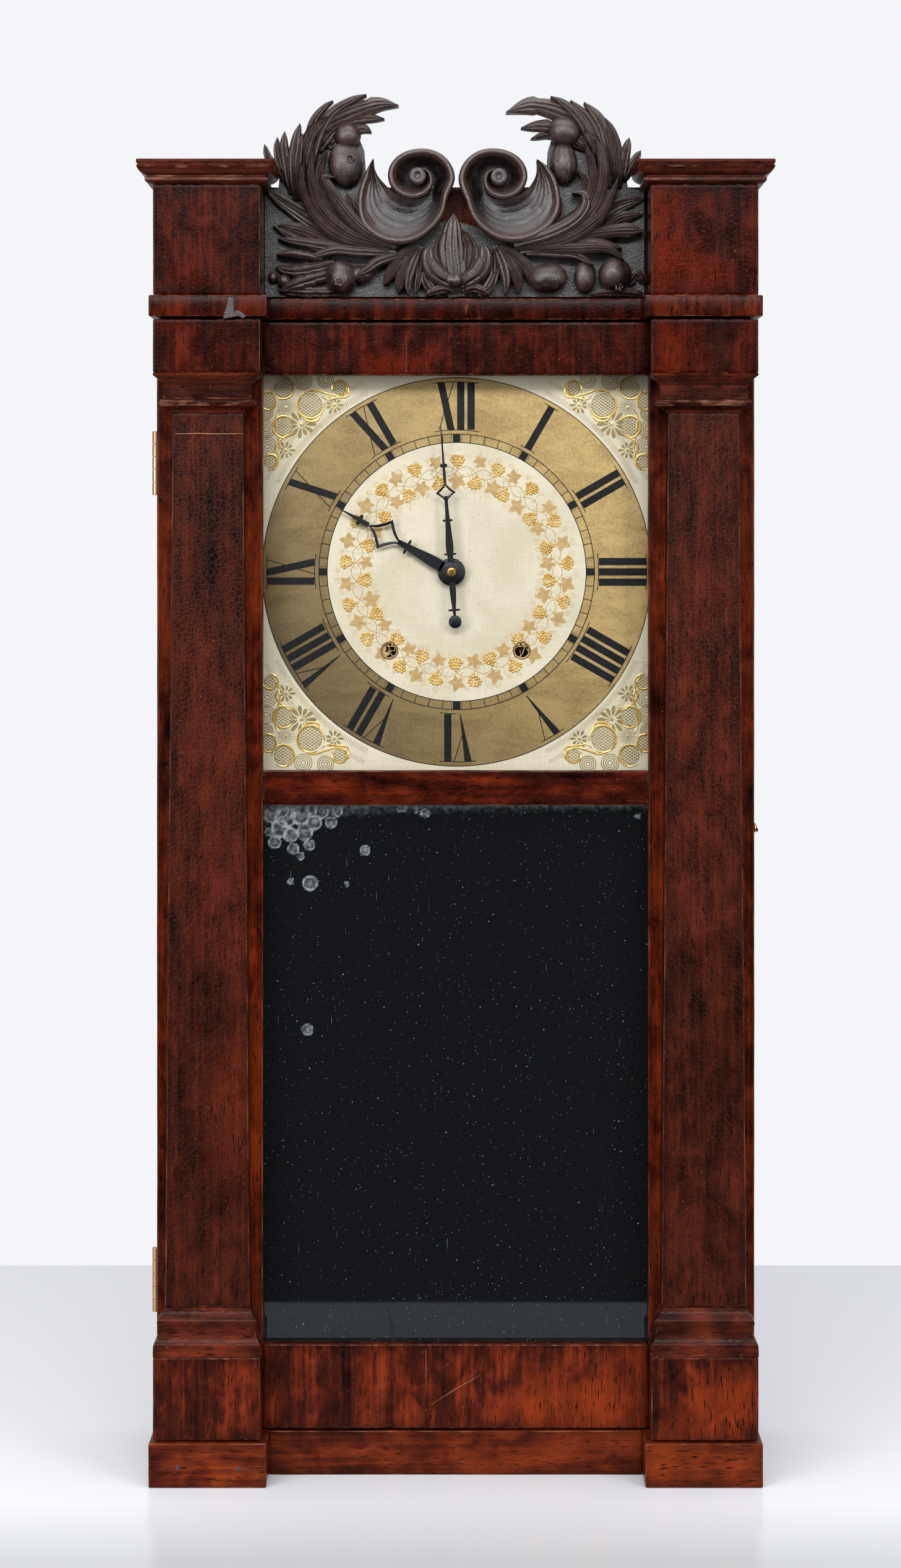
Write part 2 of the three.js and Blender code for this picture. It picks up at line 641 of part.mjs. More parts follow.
function addDoor() {
  const neckHalfWidth = shaftHeadHalfWidth + 5.9;
  const dialSpan = [dialOpeningBottom, dialOpeningTop];
  const mirrorSpan = [mirrorBottom, mirrorTop];
  const rabbets = [rabbet(dialSpan), rabbet(mirrorSpan)];
  const frame = [doorFront, doorBack];
  for (const { hand, sign } of sides) {
    const blockXs = [sign * openingHalfWidth, sign * caseHalfWidth];
    let stile = cutBy(board(blockXs, frame, [doorBottom, doorTop]), ...rabbets);
    if (sign > 0) stile = joined(stile, hookPin());
    add(doorGroup, `door_${hand}_stile`, stile, materials.mahogany);
    add(doorGroup, `${hand}_plinth_block`,
      board(blockXs, [plinthFront, doorFront], [doorBottom, plinthTop]), materials.mahogany);
    add(doorGroup, `${hand}_frieze_block`,
      board(blockXs, [plinthFront, doorFront], [dialOpeningTop, doorTop]), materials.mahogany);
    add(doorGroup, `${hand}_pilaster`, pilaster(sign), materials.darkMahogany);
    add(doorGroup, `${hand}_capital`,
      pilasterMoulding(sign, [shaftTop, dialOpeningTop], [neckHalfWidth, blockHalfWidth], capitalProfile),
      materials.mahogany);
    add(doorGroup, `${hand}_base_moulding`,
      pilasterMoulding(sign, [plinthTop, shaftBottom], [shaftFootHalfWidth, blockHalfWidth], baseProfile),
      materials.mahogany);
  }
  const rails = {
    door_bottom_rail: [doorBottom, mirrorBottom],
    door_middle_rail: [mirrorTop, dialOpeningBottom],
    door_top_rail: [dialOpeningTop, doorTop],
  };
  for (const [name, span] of Object.entries(rails)) {
    const rail = board([-openingHalfWidth, openingHalfWidth], frame, span);
    add(doorGroup, name, cutBy(rail, ...rabbets), materials.mahogany);
  }
  const glassBack = glassFront + glassThickness;
  add(doorGroup, 'dial_glass', pane(dialSpan, [glassFront, glassBack]), materials.glass);
  add(doorGroup, 'mirror_plate', pane(mirrorSpan, [glassFront, glassBack]), materials.mirror);
  add(doorGroup, 'mirror_backboard', pane(mirrorSpan, [glassBack, glassBack + mirrorBoardThickness]),
    materials.pine);
}

// ---------------------------------------------------------------- hinges and hook

/** One leaf of a hinge with every other knuckle; the case leaf also holds the pin. */
function hingeLeaf(middle, leaf) {
  const pinX = -(caseHalfWidth + pinFromSide);
  const [bottom, step] = [middle - hingeHeight / 2, hingeHeight / knuckles];
  const onCase = leaf === 'case';
  const plateDepths = onCase
    ? [hingeDepth + 0.05, hingeDepth + 0.05 + leafThickness]
    : [hingeDepth - 0.05 - leafThickness, hingeDepth - 0.05];
  const relief = pinX + knuckleRadius + 0.5;
  const parts = [block([relief, relief + leafWidth], plateDepths, [bottom, bottom + hingeHeight])];
  for (let i = onCase ? 0 : 1; i < knuckles; i += 2) {
    const [low, high] = [bottom + i * step + hair, bottom + (i + 1) * step - hair];
    const wall = [[low, 0.9], [low, knuckleRadius], [high, knuckleRadius], [high, 0.9], [low, 0.9]];
    const knuckle = upright(pinX, hingeDepth, wall, 14);
    const tab = cutBy(
      block([pinX, relief + 1], plateDepths, [low, high]),
      upright(pinX, hingeDepth, [[low - 1, 0], [low - 1, 0.9], [high + 1, 0.9], [high + 1, 0]], 14),
    );
    parts.push(joined(knuckle, tab));
  }
  if (onCase) {
    const pinRadius = 0.95;
    const freeRadius = 0.6;
    const pin = [[bottom, 0], [bottom, freeRadius], [bottom + hingeHeight, freeRadius], [bottom + hingeHeight, 0]];
    parts.push(upright(pinX, hingeDepth, pin, 14));
    for (const end of [bottom + hair, bottom + hingeHeight - step + hair, middle - step / 2 + hair]) {
      const length = step - 2 * hair;
      parts.push(upright(pinX, hingeDepth, [[end, 0], [end, pinRadius], [end + length, pinRadius], [end + length, 0]], 14));
    }
  }
  return joined(...parts);
}

function addHinges() {
  const heights = {
    upper: doorTop - upperHingeBelowTop,
    lower: doorBottom + lowerHingeAboveFoot,
  };
  for (const [level, height] of Object.entries(heights)) {
    add(caseGroup, `${level}_hinge_case_leaf`, hingeLeaf(height, 'case'), materials.brass);
    add(doorGroup, `${level}_hinge_door_leaf`, hingeLeaf(height, 'door'), materials.brass);
  }
}

const hookPivotDepth = caseFront + 6;
const hookPinDepth = hookPivotDepth - hookReach;

/** Round bar along x at the height of the hook, standing out of the right side. */
function sidePin(radius, length, depth) {
  const geometry = new THREE.CylinderGeometry(radius, radius, length + 2, 12);
  geometry.rotateZ(Math.PI / 2);
  geometry.translate(caseHalfWidth + length / 2 - 1, toY(depth), hookHeight);
  return solid(geometry);
}

/** Pin in the edge of the door for the hook to catch. */
const hookPin = () => sidePin(hookPinRadius, 3.6, hookPinDepth);

/** Screw in the case side that the hook turns on. */
const hookPivot = () => sidePin(hookPinRadius, 3.2, hookPivotDepth);

/** Flat hook on the right side of the case, swung just clear above its pin. */
function doorHook() {
  const lift = hookPinRadius + 0.5;
  const profile = new THREE.Shape();
  profile.moveTo(4, -3);
  profile.lineTo(4, 3);
  profile.lineTo(-hookReach - 3.2, lift + 4.2);
  profile.lineTo(-hookReach - 4.4, lift + 1.2);
  profile.lineTo(-hookReach - 3.4, lift - 0.2);
  profile.lineTo(-hookReach + 3, lift);
  profile.lineTo(-4, -2.2);
  const geometry = new THREE.ExtrudeGeometry(profile, { depth: hookThickness, bevelEnabled: false });
  geometry.rotateX(Math.PI / 2);
  geometry.rotateZ(Math.PI / 2);
  geometry.translate(caseHalfWidth + running, toY(hookPivotDepth), hookHeight);
  return cutBy(solid(geometry), sidePin(hookPinRadius + running, 3.6, hookPivotDepth));
}

// ---------------------------------------------------------------- dial and hands

function addDial() {
  const sheet = board([-dialHalfWidth, dialHalfWidth], [dialFront, dialBack],
    [dialOpeningBottom - dialMargin, dialOpeningTop + dialMargin]);
  const through = [dialFront - 1, dialBack + 1];
  const holes = [bar(arborX, arborHeight, through, arborRadius + 2 * pipeWall + 3 * running + 0.5, 24)];
  for (const { sign } of sides) holes.push(bar(sign * windingOffset, windingHeight, through, windingHoleRadius, 24));
  add(caseGroup, 'dial_board', cutBy(sheet, ...holes), materials.dialPaint);
}

const minutePipeInner = arborRadius + running;
const hourPipeInner = minutePipeInner + pipeWall + running;

/** Open diamond with hollow sides, as a ring of [across, along] points, outer and inner. */
function openDiamond(low, widest, high, halfWidth, wall) {
  const hollow = 0.45;
  const corner = (half, from, to) => [
    [0, from], [half * hollow, (from + widest) / 2], [half, widest], [half * hollow, (to + widest) / 2],
    [0, to], [-half * hollow, (to + widest) / 2], [-half, widest], [-half * hollow, (from + widest) / 2],
  ];
  return {
    outer: corner(halfWidth, low, high),
    inner: corner(halfWidth - 2.2 * wall, low + 2 * wall, high - 2 * wall),
  };
}

function hand(angle, front, parts, diamond) {
  const depths = [front, front + handThickness];
  const flat = (points) => outline(handPoints(points, angle), depths);
  const wider = [depths[0] - 1, depths[1] + 1];
  const opening = outline(handPoints(diamond.inner, angle), wider);
  return cutBy(joined(flat(diamond.outer), ...parts.map(flat)), opening);
}

const strip = (half0, along0, half1, along1) =>
  [[-half0, along0], [half0, along0], [half1, along1], [-half1, along1]];

function disc(along, radius, count) {
  const points = [];
  for (let i = 0; i < count; i += 1) {
    const angle = (2 * Math.PI * i) / count;
    points.push([radius * Math.cos(angle), along + radius * Math.sin(angle)]);
  }
  return points;
}

/** The same outline with every length times a unit, so that a hand keeps its shape at any length. */
const scaled = (points, unit) => points.map(([across, along]) => [across * unit, along * unit]);

/** Hollow pipe behind a hand, and the hand's plate bored out to it. */
function onPipe(plate, [front, back], inner) {
  const bore = bar(arborX, arborHeight, [front - 1, back + 1], inner, 20);
  return joined(cutBy(plate, bore), pipe(arborX, arborHeight, [front, back], inner, inner + pipeWall));
}

function minuteHand() {
  const unit = minuteHandLength / 100;
  const diamond = openDiamond(50.5 * unit, 54.2 * unit, 62.3 * unit, 7 * unit, handRim);
  const plate = hand(minuteHandAngle, minuteHandFront, [
    disc(0, 7, 20), strip(1.5, 4.7, 2.5, 15), strip(2.5, 14.2, 1.2, 51), strip(4, 26.9, 4, 28.8),
    strip(3.3, 34.4, 3.3, 36.3), strip(1.2, 60.4, 0.85, 72.6), strip(2.1, 71.7, 2.1, 74),
    strip(0.85, 72.6, 0.33, 100), strip(1.2, -26, 2.1, -4.7), strip(3.8, -27, 3.8, -25.3),
    strip(0.95, -32, 0.95, -25.5), disc(-34.2, 4.4, 16),
  ].map((points) => scaled(points, unit)), diamond);
  return onPipe(plate, [minuteHandFront, frontPlate - 1], minutePipeInner);
}

function hourHand() {
  const unit = hourHandLength / 100;
  const diamond = openDiamond(44.2 * unit, 59.9 * unit, 75.3 * unit, 13 * unit, 1.4 * handRim);
  const plate = hand(hourHandAngle, hourHandFront, [
    disc(0, 10.8, 22), strip(4.7, 8.6, 2.6, 45.3), strip(5.6, 38.6, 5.6, 40.8), strip(1.8, 74.4, 1.8, 85.2),
    strip(4.3, 80.9, 4.3, 83.9), strip(1.8, 85.2, 0.43, 100),
  ].map((points) => scaled(points, unit)), diamond);
  return onPipe(plate, [hourHandFront, dialBack + 4], hourPipeInner);
}

// ---------------------------------------------------------------- movement

const pivotRadius = 1;

/** Both plates with their pillars, the posts to the back board, and every pivot hole. */
function movementFrame() {
  const xs = [-plateHalfWidth, plateHalfWidth];
  const parts = [
    block(xs, [frontPlate, gearSpace], [plateBottom, plateTop]),
    block(xs, [backPlate, backPlate + plateThickness], [plateBottom, plateTop]),
  ];
  for (const { sign } of sides) {
    const x = sign * (plateHalfWidth - pillarInset);
    for (const z of [plateBottom + pillarInset, plateTop - pillarInset]) {
      parts.push(bar(x, z, [gearSpace - 1, backPlate + 1], pillarRadius, 10));
      parts.push(bar(x, z, [backPlate + 1, backBoardFront - hair], pillarRadius + 1, 10));
    }
  }
  const stub = [backPlate + 1, pendulumDepth + 2.5];
  parts.push(bar(arborX, suspensionHeight, stub, 2, 12));
  const bothPlates = [frontPlate - 1, backPlate + plateThickness + 1];
  const front = [frontPlate - 1, gearSpace + 1];
  const back = [backPlate - 1, backPlate + plateThickness + 1];
  const holes = [
    bar(arborX, arborHeight, front, 2 + running),
    bar(arborX, arborHeight, back, pivotRadius + running),
    bar(arborX, escapeHeight, bothPlates, pivotRadius + running),
    bar(arborX, vergeHeight, front, pivotRadius + running),
    bar(arborX, vergeHeight, back, 2 + running),
    bar(arborX, hammerHeight, front, pivotRadius + running),
    bar(arborX, hammerHeight, back, 2 + running),
  ];
  for (const { sign } of sides) {
    holes.push(bar(sign * windingOffset, windingHeight, front, windingArborRadius + running));
    holes.push(bar(sign * windingOffset, windingHeight, back, pivotRadius + running));
  }
  return cutBy(joined(...parts), ...holes);
}

/** Arbor between the plates with a small pivot in each plate. */
function arborProfile(radius, [frontEnd, frontRadius], [backEnd, backRadius]) {
  const [near, far] = [gearSpace + running, backPlate - running];
  return [
    [frontEnd, 0], [frontEnd, frontRadius], [near, frontRadius], [near, radius], [far, radius],
    [far, backRadius], [backEnd, backRadius], [backEnd, 0],
  ];
}

const frontPivot = [frontPlate + 0.2, pivotRadius];
const backPivot = [backPlate + plateThickness - 0.2, pivotRadius];

/** Great wheel, cord drum and winding arbor, with the square end behind its hole in the dial. */
function barrel(sign) {
  const [x, z] = [sign * windingOffset, windingHeight];
  const greatPitch = (gearModule * greatWheelTeeth) / 2;
  const wheel = toothedWheel(x, z, [greatWheelFront, greatWheelFront + wheelThickness], greatWheelTeeth,
    greatPitch, 0);
  const flange = drumRadius + flangeHeight;
  const drum = turned(x, z, [
    [drumFront, 0], [drumFront, flange], [drumFront + 2, flange], [drumFront + 2, drumRadius],
    [drumBack - 2, drumRadius], [drumBack - 2, flange], [drumBack, flange], [drumBack, 0],
  ], 20);
  const squareStart = frontPlate - 3;
  const arbor = turned(x, z,
    arborProfile(windingArborRadius + 1.6, [squareStart - 1, windingArborRadius], backPivot));
  const square = 1.7;
  const key = block([x - square, x + square], [dialBack + 2, squareStart], [z - square, z + square]);
  return joined(wheel, drum, arbor, key);
}

function centreWheel() {
  const wheel = toothedWheel(arborX, arborHeight, [centreWheelFront, centreWheelFront + wheelThickness],
    centreWheelTeeth, centreWheelRadius, Math.PI / 2);
  const shaft = turned(arborX, arborHeight, [
    [minuteHandFront - 2, 0], [minuteHandFront - 2, arborRadius], [frontPlate - 0.6, arborRadius],
    [frontPlate - 0.6, 2], [backPlate - running, 2], [backPlate - running, pivotRadius],
    [backPivot[0], pivotRadius], [backPivot[0], 0],
  ]);
  return joined(wheel, shaft);
}

function escapeWheel() {
  const points = [];
  const step = (2 * Math.PI) / escapeWheelTeeth;
  for (let i = 0; i < escapeWheelTeeth; i += 1) {
    const angle = i * step;
    for (const [turn, radius] of [[0, escapeWheelRadius - 3], [0.8 * step, escapeWheelRadius]]) {
      points.push([arborX + radius * Math.cos(angle + turn), escapeHeight + radius * Math.sin(angle + turn)]);
    }
  }
  const wheel = outline(points, [escapeWheelFront, escapeWheelFront + wheelThickness]);
  const gap = Math.PI / pinionLeaves;
  const pinion = toothedWheel(arborX, escapeHeight, [centreWheelFront - 1.2, escapeWheelFront + 0.2],
    pinionLeaves, pinionRadius, -Math.PI / 2 + gap);
  return joined(wheel, pinion, turned(arborX, escapeHeight, arborProfile(1.6, frontPivot, backPivot)));
}

/** Pallet strip over the escape wheel, its arbor, and the crutch that drives the pendulum. */
function verge() {
  const depths = [escapeWheelFront - 1, escapeWheelFront + wheelThickness + 1];
  const reach = escapeWheelRadius + palletClearance;
  const spread = (35 * Math.PI) / 180;
  const tip = [reach * Math.sin(spread), escapeHeight + reach * Math.cos(spread)];
  const strap = outline([
    [arborX - tip[0] - 1.4, tip[1]], [arborX - tip[0], tip[1] - 0.4], [arborX - 3, vergeHeight - 3],
    [arborX + 3, vergeHeight - 3], [arborX + tip[0], tip[1] - 0.4], [arborX + tip[0] + 1.4, tip[1]],
    [arborX + 2.4, vergeHeight + 2.6], [arborX - 2.4, vergeHeight + 2.6],
  ], depths);
  const crutchDepths = [backPlate + plateThickness + 1, backPlate + plateThickness + 2.2];
  const arbor = turned(arborX, vergeHeight, [
    [frontPivot[0], 0], frontPivot, [gearSpace + running, pivotRadius], [gearSpace + running, 2],
    [crutchDepths[1], 2], [crutchDepths[1], 0],
  ]);
  const foot = vergeHeight - crutchLength;
  const arm = block([arborX - 1.6, arborX + 1.6], crutchDepths, [foot, vergeHeight]);
  const slot = pendulumRodRadius + 0.6;
  const cross = block([arborX - slot - 1.5, arborX + slot + 1.5], crutchDepths, [foot - 1, foot + 3]);
  const prongs = sides.map(({ sign }) => block(
    [arborX + sign * slot, arborX + sign * (slot + 1.5)],
    [crutchDepths[0], pendulumDepth + 2], [foot - 1, foot + 3],
  ));
  return joined(strap, arbor, arm, cross, ...prongs);
}

function pendulumRod() {
  const eye = pipe(arborX, suspensionHeight, [pendulumDepth - 1.5, pendulumDepth + 1.5], 2 + running, 4.4, 16);
  const ratingNut = bobHeight - bobRadius - 4;
  const rod = upright(arborX, pendulumDepth, [
    [ratingNut - 4, 0], [ratingNut - 4, pendulumRodRadius], [ratingNut, pendulumRodRadius], [ratingNut, 3.5],
    [bobHeight - bobRadius - 0.6, 3.5], [bobHeight - bobRadius - 0.6, pendulumRodRadius],
    [suspensionHeight - 3.4, pendulumRodRadius], [suspensionHeight - 3.4, 0],
  ], 10);
  return joined(eye, rod);
}

function pendulumBob() {
  const half = bobThickness / 2;
  const lens = turned(arborX, bobHeight, [
    [pendulumDepth - half, 0], [pendulumDepth - half, bobRadius * 0.35],
    [pendulumDepth - half * 0.72, bobRadius * 0.75], [pendulumDepth - 0.8, bobRadius],
    [pendulumDepth + 0.8, bobRadius], [pendulumDepth + half * 0.72, bobRadius * 0.75],
    [pendulumDepth + half, bobRadius * 0.35], [pendulumDepth + half, 0],
  ], 24);
  const bore = pendulumRodRadius + running;
  const [low, high] = [bobHeight - bobRadius - 1, bobHeight + bobRadius + 1];
  return cutBy(lens, upright(arborX, pendulumDepth, [[low, 0], [low, bore], [high, bore], [high, 0]], 10));
}

/** Strike hammer: arbor in the plates, bent rod behind them, head above the gong. */
function hammer() {
  const rodDepth = backPlate + plateThickness + 2;
  const arbor = turned(arborX, hammerHeight, [
    [frontPivot[0], 0], frontPivot, [gearSpace + running, pivotRadius], [gearSpace + running, 2],
    [rodDepth + 1, 2], [rodDepth + 1, 0],
  ]);
  const length = Math.hypot(hammerReachX, hammerReachZ);
  const [sideX, sideZ] = [hammerReachZ / length, hammerReachX / length];
  const rod = outline([
    [arborX - sideX, hammerHeight - sideZ], [hammerHeadX - sideX, hammerHeadZ - sideZ],
    [hammerHeadX + sideX, hammerHeadZ + sideZ], [arborX + sideX, hammerHeight + sideZ],
  ], [rodDepth - 0.8, rodDepth + 0.8]);
  const head = bar(hammerHeadX, hammerHeadZ, [rodDepth - 2, gongDepth + 3], hammerHeadRadius, 14);
  return joined(arbor, rod, head);
}

/** Spiral wire gong on an iron block on the back board. */
function gong() {
  const points = [];
  const steps = Math.round(gongTurns * 12);
  for (let i = 0; i <= steps; i += 1) {
    const share = i / steps;
    const angle = 2 * Math.PI * gongTurns * share;
    const radius = gongEyeRadius + (gongRadius - gongEyeRadius) * share;
    points.push([gongX - radius * Math.cos(angle), gongDepth, gongZ + radius * Math.sin(angle)]);
  }
  points.unshift([gongX - 2, gongDepth, gongZ]);
  const half = gongBlockSize / 2;
  const seat = block([gongX - half, gongX + half - 2], [gongDepth - 3, backBoardFront - hair], [gongZ - half, gongZ + half]);
  return joined(tube(points, gongWireRadius, steps + 4, 6), seat);
}

// ---------------------------------------------------------------- weights, cords and pulleys

function weight(sign) {
  const x = sign * weightX;
  const [half, halfDepth] = [weightWidth / 2, weightDepth / 2];
  const body = block([x - half, x + half], [cordDepth - halfDepth, cordDepth + halfDepth], [weightBottom, weightTop]);
  const eyeZ = weightTop + weightHookHeight / 2;
  const shank = block([x - 2, x + 2], [cordDepth - 1.5, cordDepth + 1.5], [weightTop - 1, weightTop + weightHookHeight]);
  return joined(body, cutBy(shank, bar(x, eyeZ + 1, [cordDepth - 3, cordDepth + 3], 1, 10)));
}

function pulley(sign) {
  const half = pulleyThickness / 2;
  const bore = arborRadius + running;
  return turned(sign * pulleyX, pulleyHeight, [
    [cordDepth - half, bore], [cordDepth - half, pulleyRadius], [cordDepth - half + 1, pulleyRadius],
    [cordDepth - 1.2, grooveRadius], [cordDepth + 1.2, grooveRadius], [cordDepth + half - 1, pulleyRadius],
    [cordDepth + half, pulleyRadius], [cordDepth + half, bore], [cordDepth - half, bore],
  ], 24);
}

const cordClear = cordRadius + running;

/** Cord from the drum up to its pulley and over it, to the start of the drop. */
function cordLead(sign) {
  const [reach, over] = [drumRadius + cordClear, grooveRadius + cordClear];
  const [dx, dz] = [pulleyX - windingOffset, pulleyHeight - windingHeight];
  const side = Math.atan2(dz, dx) + Math.acos((reach - over) / Math.hypot(dx, dz));
  const along = (length, radius) => {
    const share = length / Math.hypot(dx, dz);
    const [x, z] = [windingOffset + dx * share, windingHeight + dz * share];
    return [sign * (x + radius * Math.cos(side)), cordDepth, z + radius * Math.sin(side)];
  };
  const overlap = 0.6;
  const run = [along(0, reach), along(Math.hypot(dx, dz) + overlap, over)];
  const arc = [];
  const arcSteps = 12;
  for (let i = 0; i <= arcSteps; i += 1) {
    const angle = side * (1 - i / arcSteps);
    arc.push([sign * (pulleyX + over * Math.cos(angle)), cordDepth, pulleyHeight + over * Math.sin(angle)]);
  }
  return joined(tube(run, cordRadius, 1, 8), tube(arc, cordRadius, arcSteps, 8));
}

/** Upright cord from the pulley down to the weight's eye. */
function cordDrop(sign) {
  const [low, high] = [weightTop + weightHookHeight + running, pulleyHeight - 2 * running];
  const x = sign * (pulleyX + grooveRadius + cordClear);
  return upright(x, cordDepth, [[low, 0], [low, cordRadius], [high, cordRadius], [high, 0]], 8);
}

function addMovement() {
  add(movementGroup, 'movement_frame', movementFrame(), materials.brass);
  add(movementGroup, 'centre_wheel', centreWheel(), materials.brass);
  add(movementGroup, 'escape_wheel', escapeWheel(), materials.brass);
  add(movementGroup, 'verge', verge(), materials.steel);
  add(movementGroup, 'pendulum_rod', pendulumRod(), materials.steel);
  add(movementGroup, 'pendulum_bob', pendulumBob(), materials.brass);
  add(movementGroup, 'hammer', hammer(), materials.steel);
  add(movementGroup, 'minute_hand', minuteHand(), materials.blackIron);
  add(movementGroup, 'hour_hand', hourHand(), materials.blackIron);
  add(caseGroup, 'gong', gong(), materials.steel);
  add(caseGroup, 'door_hook', doorHook(), materials.brass);
  for (const { sign } of sides) {
    const train = sign > 0 ? 'time' : 'strike';
    add(movementGroup, `${train}_barrel`, barrel(sign), materials.brass);
    add(caseGroup, `${train}_weight`, weight(sign), materials.iron);
    add(caseGroup, `${train}_pulley`, pulley(sign), materials.brass);
    add(caseGroup, `${train}_cord_lead`, cordLead(sign), materials.cord);
    add(caseGroup, `${train}_cord_drop`, cordDrop(sign), materials.cord);
  }
}

addCase();
addTop();
addDoor();
addHinges();
addDial();
addMovement();

export default clock;
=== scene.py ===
"""Weight-driven shelf clock: a tall mahogany case with a carved crest, a full-height door
between tapered pilasters, a painted dial over an old mirror, and the works behind them.

Every piece is worked out in millimetres as x (to the right), depth (back from the front of
the foot blocks) and z (up from the floor), and is put into its mesh in metres.
"""

import logging
from collections.abc import Callable, Sequence
from dataclasses import dataclass, field
from enum import Enum

import bmesh
import bpy
import numpy as np
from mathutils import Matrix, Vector
from mathutils.geometry import tessellate_polygon


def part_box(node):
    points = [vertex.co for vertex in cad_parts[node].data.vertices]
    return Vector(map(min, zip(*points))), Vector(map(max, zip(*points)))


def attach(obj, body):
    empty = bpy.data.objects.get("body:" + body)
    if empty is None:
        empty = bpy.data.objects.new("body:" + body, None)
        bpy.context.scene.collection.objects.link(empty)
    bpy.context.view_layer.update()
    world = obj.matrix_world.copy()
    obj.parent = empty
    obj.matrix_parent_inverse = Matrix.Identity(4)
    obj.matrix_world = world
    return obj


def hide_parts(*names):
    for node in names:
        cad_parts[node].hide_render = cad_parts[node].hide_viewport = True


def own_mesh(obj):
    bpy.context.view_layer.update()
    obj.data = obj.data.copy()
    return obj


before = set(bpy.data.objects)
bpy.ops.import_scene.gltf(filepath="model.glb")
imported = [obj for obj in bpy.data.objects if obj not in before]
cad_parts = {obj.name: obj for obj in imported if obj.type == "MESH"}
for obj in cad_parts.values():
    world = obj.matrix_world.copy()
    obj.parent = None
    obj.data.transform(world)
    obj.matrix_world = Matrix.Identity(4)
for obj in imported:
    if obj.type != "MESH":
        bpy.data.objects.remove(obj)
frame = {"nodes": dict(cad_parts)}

log = logging.getLogger("shelf_clock")

MIDDLE_DEPTH = 73.55  # depth of the middle of the clock, which is y = 0
METRE = 0.001


class Grain(Enum):
    """Which way the grain of a board runs."""

    UPRIGHT = "upright"
    LEVEL = "level"


class Section(Enum):
    """How a carved leaf is cut across its width."""

    CROWNED = 1.0
    HOLLOW = -1.0


def linear(code: str) -> tuple[float, float, float, float]:
    """Linear colour of an sRGB hex code: ((c + 0.055) / 1.055) ^ 2.4 above the toe.

    Args:
        code: six hex digits.

    Returns:
        Red, green, blue and 1.
    """
    srgb = np.array([int(code[i:i + 2], 16) for i in (0, 2, 4)]) / 255
    light = np.where(srgb <= 0.04045, srgb / 12.92, ((srgb + 0.055) / 1.055) ** 2.4)
    return (*light.tolist(), 1.0)


def connect(tree: bpy.types.NodeTree, node: bpy.types.Node, inputs: dict) -> None:
    """Set or feed the inputs of a node.

    Args:
        tree: the node tree it is in.
        node: the node.
        inputs: value or feeding socket of each input, by name or number.
    """
    for key, value in inputs.items():
        if isinstance(value, bpy.types.NodeSocket):
            tree.links.new(value, node.inputs[key])
        else:
            node.inputs[key].default_value = value


def add(tree: bpy.types.NodeTree, kind: str, inputs: dict | None = None, output: str = "",
        stops: Sequence[tuple[float, str]] = (), **settings: object) -> bpy.types.NodeSocket | None:
    """Add one node to a material.

    Args:
        tree: the node tree it goes into.
        kind: the node's type name after "ShaderNode".
        inputs: value or feeding socket of each input, by name or number.
        output: name of the output wanted, if it isn't the first live one.
        stops: place and hex code of each stop of a colour ramp.
        settings: the node's own properties.

    Returns:
        The output, or None for a node that ends the tree.
    """
    node = tree.nodes.new("ShaderNode" + kind)
    for name, value in settings.items():
        setattr(node, name, value)
    connect(tree, node, inputs or {})
    for number, (place, tone) in enumerate(stops):
        elements = node.color_ramp.elements
        stop = elements[number] if number < 2 else elements.new(place)
        stop.position = place
        stop.color = linear(tone)
    return node.outputs[output] if output else next((out for out in node.outputs if out.enabled), None)


def blank(name: str) -> tuple[bpy.types.Material, bpy.types.NodeTree, bpy.types.Node]:
    """New material with a bare principled surface.

    Args:
        name: the material's name.

    Returns:
        The material, its node tree and its surface node.
    """
    material = bpy.data.materials.new(name)
    material.use_nodes = True
    return material, material.node_tree, material.node_tree.nodes["Principled BSDF"]


# ---------------------------------------------------------------- finishes


class Axis(Enum):
    """Way that the centre line of a turned piece runs."""

    DEPTH = "depth"
    UPRIGHT = "upright"


